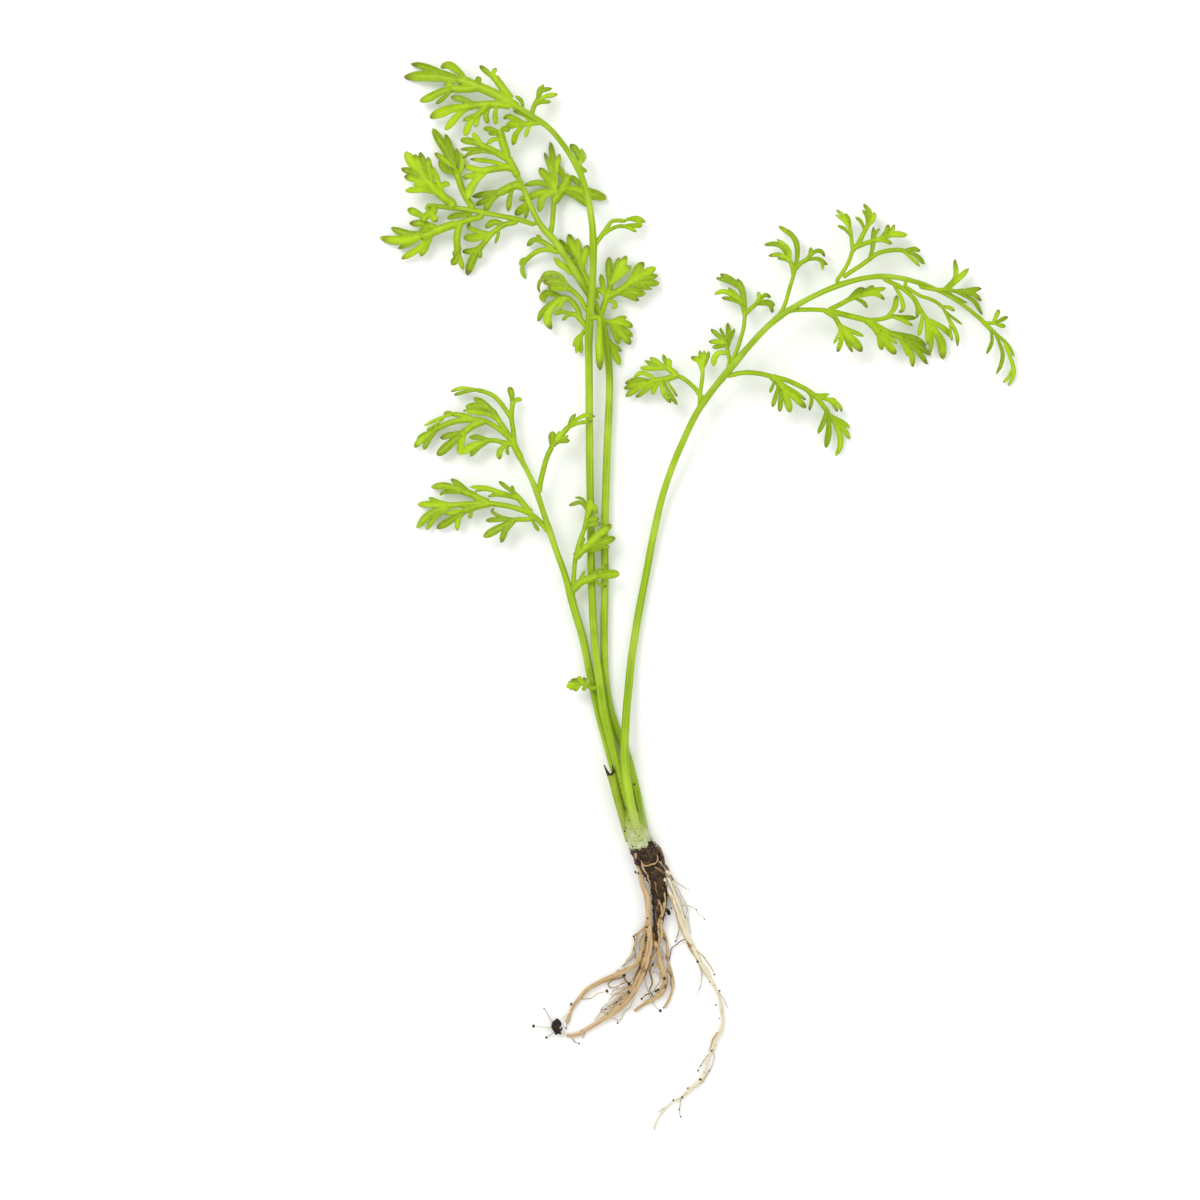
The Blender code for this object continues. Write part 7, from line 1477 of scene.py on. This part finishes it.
class SPRITE_OT_roots(bpy.types.Operator):
    """Make the main roots, uneven and fibrous"""
    bl_idname = "sprite.roots"
    bl_label = "Main roots"

    def execute(self, context):
        setting = context.scene.sprite_root
        looks = root_looks(setting)
        for name, axis in ROOTS.items():
            points = list(axis)
            if name == "upper_root":
                points = [(-3.6, -18.4, 1.8, 0.5)] + points
            elif name == "middle_root":
                points = [(-0.4, -15.2, 2.0, 0.5)] + points
            elif name == "side_root":
                points = [(1.2, -11.6, 1.4, 0.3)] + points
            elif name == "long_root":
                points = [(2.4, 2.4, 2.8, 0.5)] + [(x, y, z, r * setting.long_share) for x, y, z, r in points]
            elif name == "fine_root":
                points = [(-2.2, -10.6, 2.6, 0.3)] + points
            path = smooth_path(points, setting.step)

            def radius(k, angle, here):
                lump = 0.22 * noise.noise(Vector((here.x, here.y, 0.8 * sin(angle))) * 0.45)
                fibre = 0.16 * noise.noise(Vector((3 * cos(angle), 3 * sin(angle), here.y * 0.35)))
                return path[k][3] * (0.95 + lump + fibre)

            bm = rolled_tube(path, setting.sides, radius)
            for v in bm.verts:
                v.co.z = max(v.co.z, 0.01 * MM)
            look = looks[{"thick_root": "rosy", "long_root": "pale"}.get(name, "tan")]
            add_piece(name.replace("root", "washed_root"), bm, look, [name])
        return {"FINISHED"}


def root_looks(setting):
    """The washed root's looks, made once: tan, rosy, pale, brown and grey."""
    looks = {}
    for key, body, fibres, dark, streaks in (
            ("tan", setting.straw, setting.pale, setting.stain, 0.09),
            ("rosy", setting.rosy, setting.pale, setting.stain, 0.07),
            ("pale", setting.cream, setting.light, setting.straw, 0.06),
            ("brown", setting.stain, setting.straw, setting.dark, 0.12),
            ("grey", setting.hair, setting.cream, setting.stain, 0.10)):
        name = "washed_" + key + "_root"
        looks[key] = bpy.data.materials.get(name) or root_material(name, body, fibres, dark, streaks)
    return looks


def top_of(names):
    """A function for the height of the pieces' upper side at (x, y), all in millimetres."""
    bm = bmesh.new()
    for name in names:
        bm.from_mesh(bpy.data.objects[name].data)
    tree = BVHTree.FromBMesh(bm)
    bm.free()

    def height(x, y):
        hit = tree.ray_cast(Vector((x * MM, y * MM, 0.05)), Vector((0, 0, -1)))[0]
        return hit.z / MM if hit else 0.0

    return height


class SPRITE_OT_strands(bpy.types.Operator):
    """Make the finer strands of the root mass, laid on the root stock and the main roots, one of them a dark strand
    of painted shade
    """
    bl_idname = "sprite.strands"
    bl_label = "Root strands"

    def execute(self, context):
        setting = context.scene.sprite_root
        looks = root_looks(setting)
        height = top_of(["rough_root_stock"] + [name.replace("root", "washed_root") for name in ROOTS])
        noise.seed_set(SWAY_SEED)
        for key, look in looks.items():
            bm = bmesh.new()
            for number, (kind, size, *points) in enumerate(STRANDS):
                if kind != key:
                    continue
                laid = [(*p[:2], p[2] if len(p) > 2 else height(*p) + 0.3 * size, size) for p in points]
                path = smooth_path(laid, 0.3)
                last = len(path) - 1
                luck = random.Random(number)
                shift = Vector((luck.uniform(0, 50), luck.uniform(0, 50), 0))
                for k in range(1, last):
                    sway = noise.noise_vector(path[k].xyz * 0.55 + shift) * 0.28
                    path[k] = Vector((path[k][0] + sway.x, path[k][1] + sway.y, path[k][2], size))

                def radius(k, angle, here):
                    worn = 1 + 0.35 * noise.noise(here * 0.9 + shift) + 0.15 * noise.noise(
                        Vector((2 * cos(angle), 2 * sin(angle), here.y)) + shift)
                    return size * worn * (1 - 0.5 * (k / last) ** 3)

                merge_into(bm, rolled_tube(path, 8 if size > 0.2 else 6, radius))
            for v in bm.verts:
                v.co.z = max(v.co.z, 0.01 * MM)
            add_piece(key + "_root_strands", bm, look, [])
        return {"FINISHED"}


class SPRITE_OT_soil(bpy.types.Operator):
    """Make the crumb of soil that the root tips hold, the loose crumbs on roots and stalks, and the dark dots of
    painted shade along the foot of the stalks
    """
    bl_idname = "sprite.soil"
    bl_label = "Soil"

    def execute(self, context):
        look = soil_material(context.scene.sprite_root)
        low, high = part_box("soil_clump")
        middle = (low + high) / 2
        size = (high - low) / 2
        bm = bmesh.new()
        body = bmesh.ops.create_icosphere(bm, subdivisions=5, radius=1)["verts"]
        for v in body:
            hollow = 0.5 * exp(-((v.co.x - 0.9) ** 2 + (v.co.y + 0.1) ** 2) / 0.2)
            hollow += 0.35 * exp(-((v.co.x + 0.8) ** 2 + (v.co.y + 0.8) ** 2) / 0.2)
            rough = 0.86 + 0.3 * noise.noise(v.co * 1.7) + 0.16 * noise.noise(v.co * 4.9) - hollow
            v.co = middle + Vector([c * s * rough for c, s in zip(v.co, size)])
            v.co.z = max(v.co.z, 0.02 * MM)
        luck = random.Random("grains")
        for number in range(46):
            angle = luck.uniform(0, 2 * pi)
            lean = luck.uniform(0.1, 1.3)
            way = Vector((cos(angle) * sin(lean), sin(angle) * sin(lean), cos(lean)))
            grain = bmesh.ops.create_icosphere(bm, subdivisions=2, radius=luck.uniform(0.1, 0.3) * MM)["verts"]
            bmesh.ops.translate(bm, verts=grain, vec=middle + Vector([c * s * 0.8 for c, s in zip(way, size)]))
        for v in bm.verts:
            v.co.z = max(v.co.z, 0.01 * MM)
        add_piece("damp_soil_crumb", bm, look, ["soil_clump"])

        height = top_of(["rough_root_stock", "papery_foot", "old_torn_stalk"]
                        + [name + "_ribbed_stalk" for name in STALKS]
                        + [name.replace("root", "washed_root") for name in ROOTS]
                        + [key + "_root_strands" for key in root_looks(context.scene.sprite_root)])
        bm = bmesh.new()
        # Crumbs, and the dark dots that paint shade along the foot of the stalks.
        for x, y, round_size in CRUMBS_AND_SHADE_DOTS:
            crumb = bmesh.ops.create_icosphere(bm, subdivisions=3, radius=round_size * MM)["verts"]
            place = Vector((x, y, height(x, y) + round_size * 0.15)) * MM
            for v in crumb:
                lump = 0.85 + 0.5 * noise.noise(v.co / MM * 2.2 + Vector((x, y, 0)))
                v.co = place + Vector((v.co.x, v.co.y * 1.15, v.co.z * 0.8)) * lump
                v.co.z = max(v.co.z, 0.01 * MM)
        add_piece("soil_crumbs_and_shade_dots", bm, look, [])
        return {"FINISHED"}


class SPRITE_OT_stage(bpy.types.Operator):
    """Set the plain pale table, soft studio light and the camera straight above"""
    bl_idname = "sprite.stage"
    bl_label = "Stage"

    def execute(self, context):
        setting = context.scene.sprite_stage
        look, tree, shader = new_material("plain_table", Roughness=0.8)
        shader.inputs["Base Color"].default_value = (*setting.table, 1)
        bm = bmesh.new()
        bmesh.ops.create_grid(bm, x_segments=1, y_segments=1, size=3.0)
        mesh = bpy.data.meshes.new("table")
        bm.to_mesh(mesh)
        bm.free()
        mesh.materials.append(look)
        table = bpy.data.objects.new("table", mesh)
        table.location = (0, 0, -0.0001)
        context.scene.collection.objects.link(table)

        world = bpy.data.worlds.new("studio")
        context.scene.world = world
        world.use_nodes = True
        sky = world.node_tree.nodes["Background"]
        sky.inputs["Color"].default_value = (1, 1, 1, 1)
        sky.inputs["Strength"].default_value = setting.sky
        centre = Vector((-14.0, 70.0, 0)) * MM
        for name, place, size, power in (("key", (-0.45, 0.55, 0.9), 0.5, setting.key_power),
                                         ("fill", (0.6, -0.3, 0.9), 0.9, setting.key_power * 0.35)):
            lamp = bpy.data.lights.new(name, "AREA")
            lamp.size = size
            lamp.energy = power
            holder = bpy.data.objects.new(name, lamp)
            holder.location = centre + Vector(place)
            holder.rotation_euler = (-Vector(place)).to_track_quat("-Z", "Y").to_euler()
            context.scene.collection.objects.link(holder)

        eye = bpy.data.cameras.new("camera")
        eye.lens = setting.lens
        eye.sensor_width = 36.0
        eye.dof.use_dof = False
        camera = bpy.data.objects.new("camera", eye)
        far = setting.frame_mm * MM * setting.lens / eye.sensor_width
        camera.location = centre + Vector((0, 0, far))
        eye.clip_start = far * 0.1
        eye.clip_end = far * 4
        context.scene.collection.objects.link(camera)
        context.scene.camera = camera
        context.scene.view_settings.view_transform = "Standard"
        return {"FINISHED"}


STEPS = ("stalks", "old_stalk", "leaflets", "foot", "rhizome", "roots", "strands", "soil", "stage")


class SPRITE_PT_panel(bpy.types.Panel):
    """Settings and steps of the water sprite"""
    bl_idname = "SPRITE_PT_panel"
    bl_label = "Water Sprite"
    bl_space_type = "VIEW_3D"
    bl_region_type = "UI"
    bl_category = "Water Sprite"

    def draw(self, context):
        for group in ("sprite_leaf", "sprite_stalk", "sprite_root", "sprite_stage"):
            setting = getattr(context.scene, group)
            box = self.layout.box()
            for key in setting.bl_rna.properties.keys():
                if key not in ("rna_type", "name"):
                    box.prop(setting, key)
        for step in STEPS:
            self.layout.operator("sprite." + step)


CLASSES = (SpriteLeafSettings, SpriteStalkSettings, SpriteRootSettings, SpriteStageSettings,
           SPRITE_OT_stalks, SPRITE_OT_old_stalk, SPRITE_OT_leaflets, SPRITE_OT_foot, SPRITE_OT_rhizome,
           SPRITE_OT_roots, SPRITE_OT_strands, SPRITE_OT_soil, SPRITE_OT_stage, SPRITE_PT_panel)


def register():
    for kind in CLASSES:
        bpy.utils.register_class(kind)
    bpy.types.Scene.sprite_leaf = bpy.props.PointerProperty(type=SpriteLeafSettings)
    bpy.types.Scene.sprite_stalk = bpy.props.PointerProperty(type=SpriteStalkSettings)
    bpy.types.Scene.sprite_root = bpy.props.PointerProperty(type=SpriteRootSettings)
    bpy.types.Scene.sprite_stage = bpy.props.PointerProperty(type=SpriteStageSettings)


def unregister():
    del bpy.types.Scene.sprite_leaf
    del bpy.types.Scene.sprite_stalk
    del bpy.types.Scene.sprite_root
    del bpy.types.Scene.sprite_stage
    for kind in reversed(CLASSES):
        bpy.utils.unregister_class(kind)


def main():
    register()
    for step in STEPS:
        getattr(bpy.ops.sprite, step)()


if __name__ == "__main__":
    main()
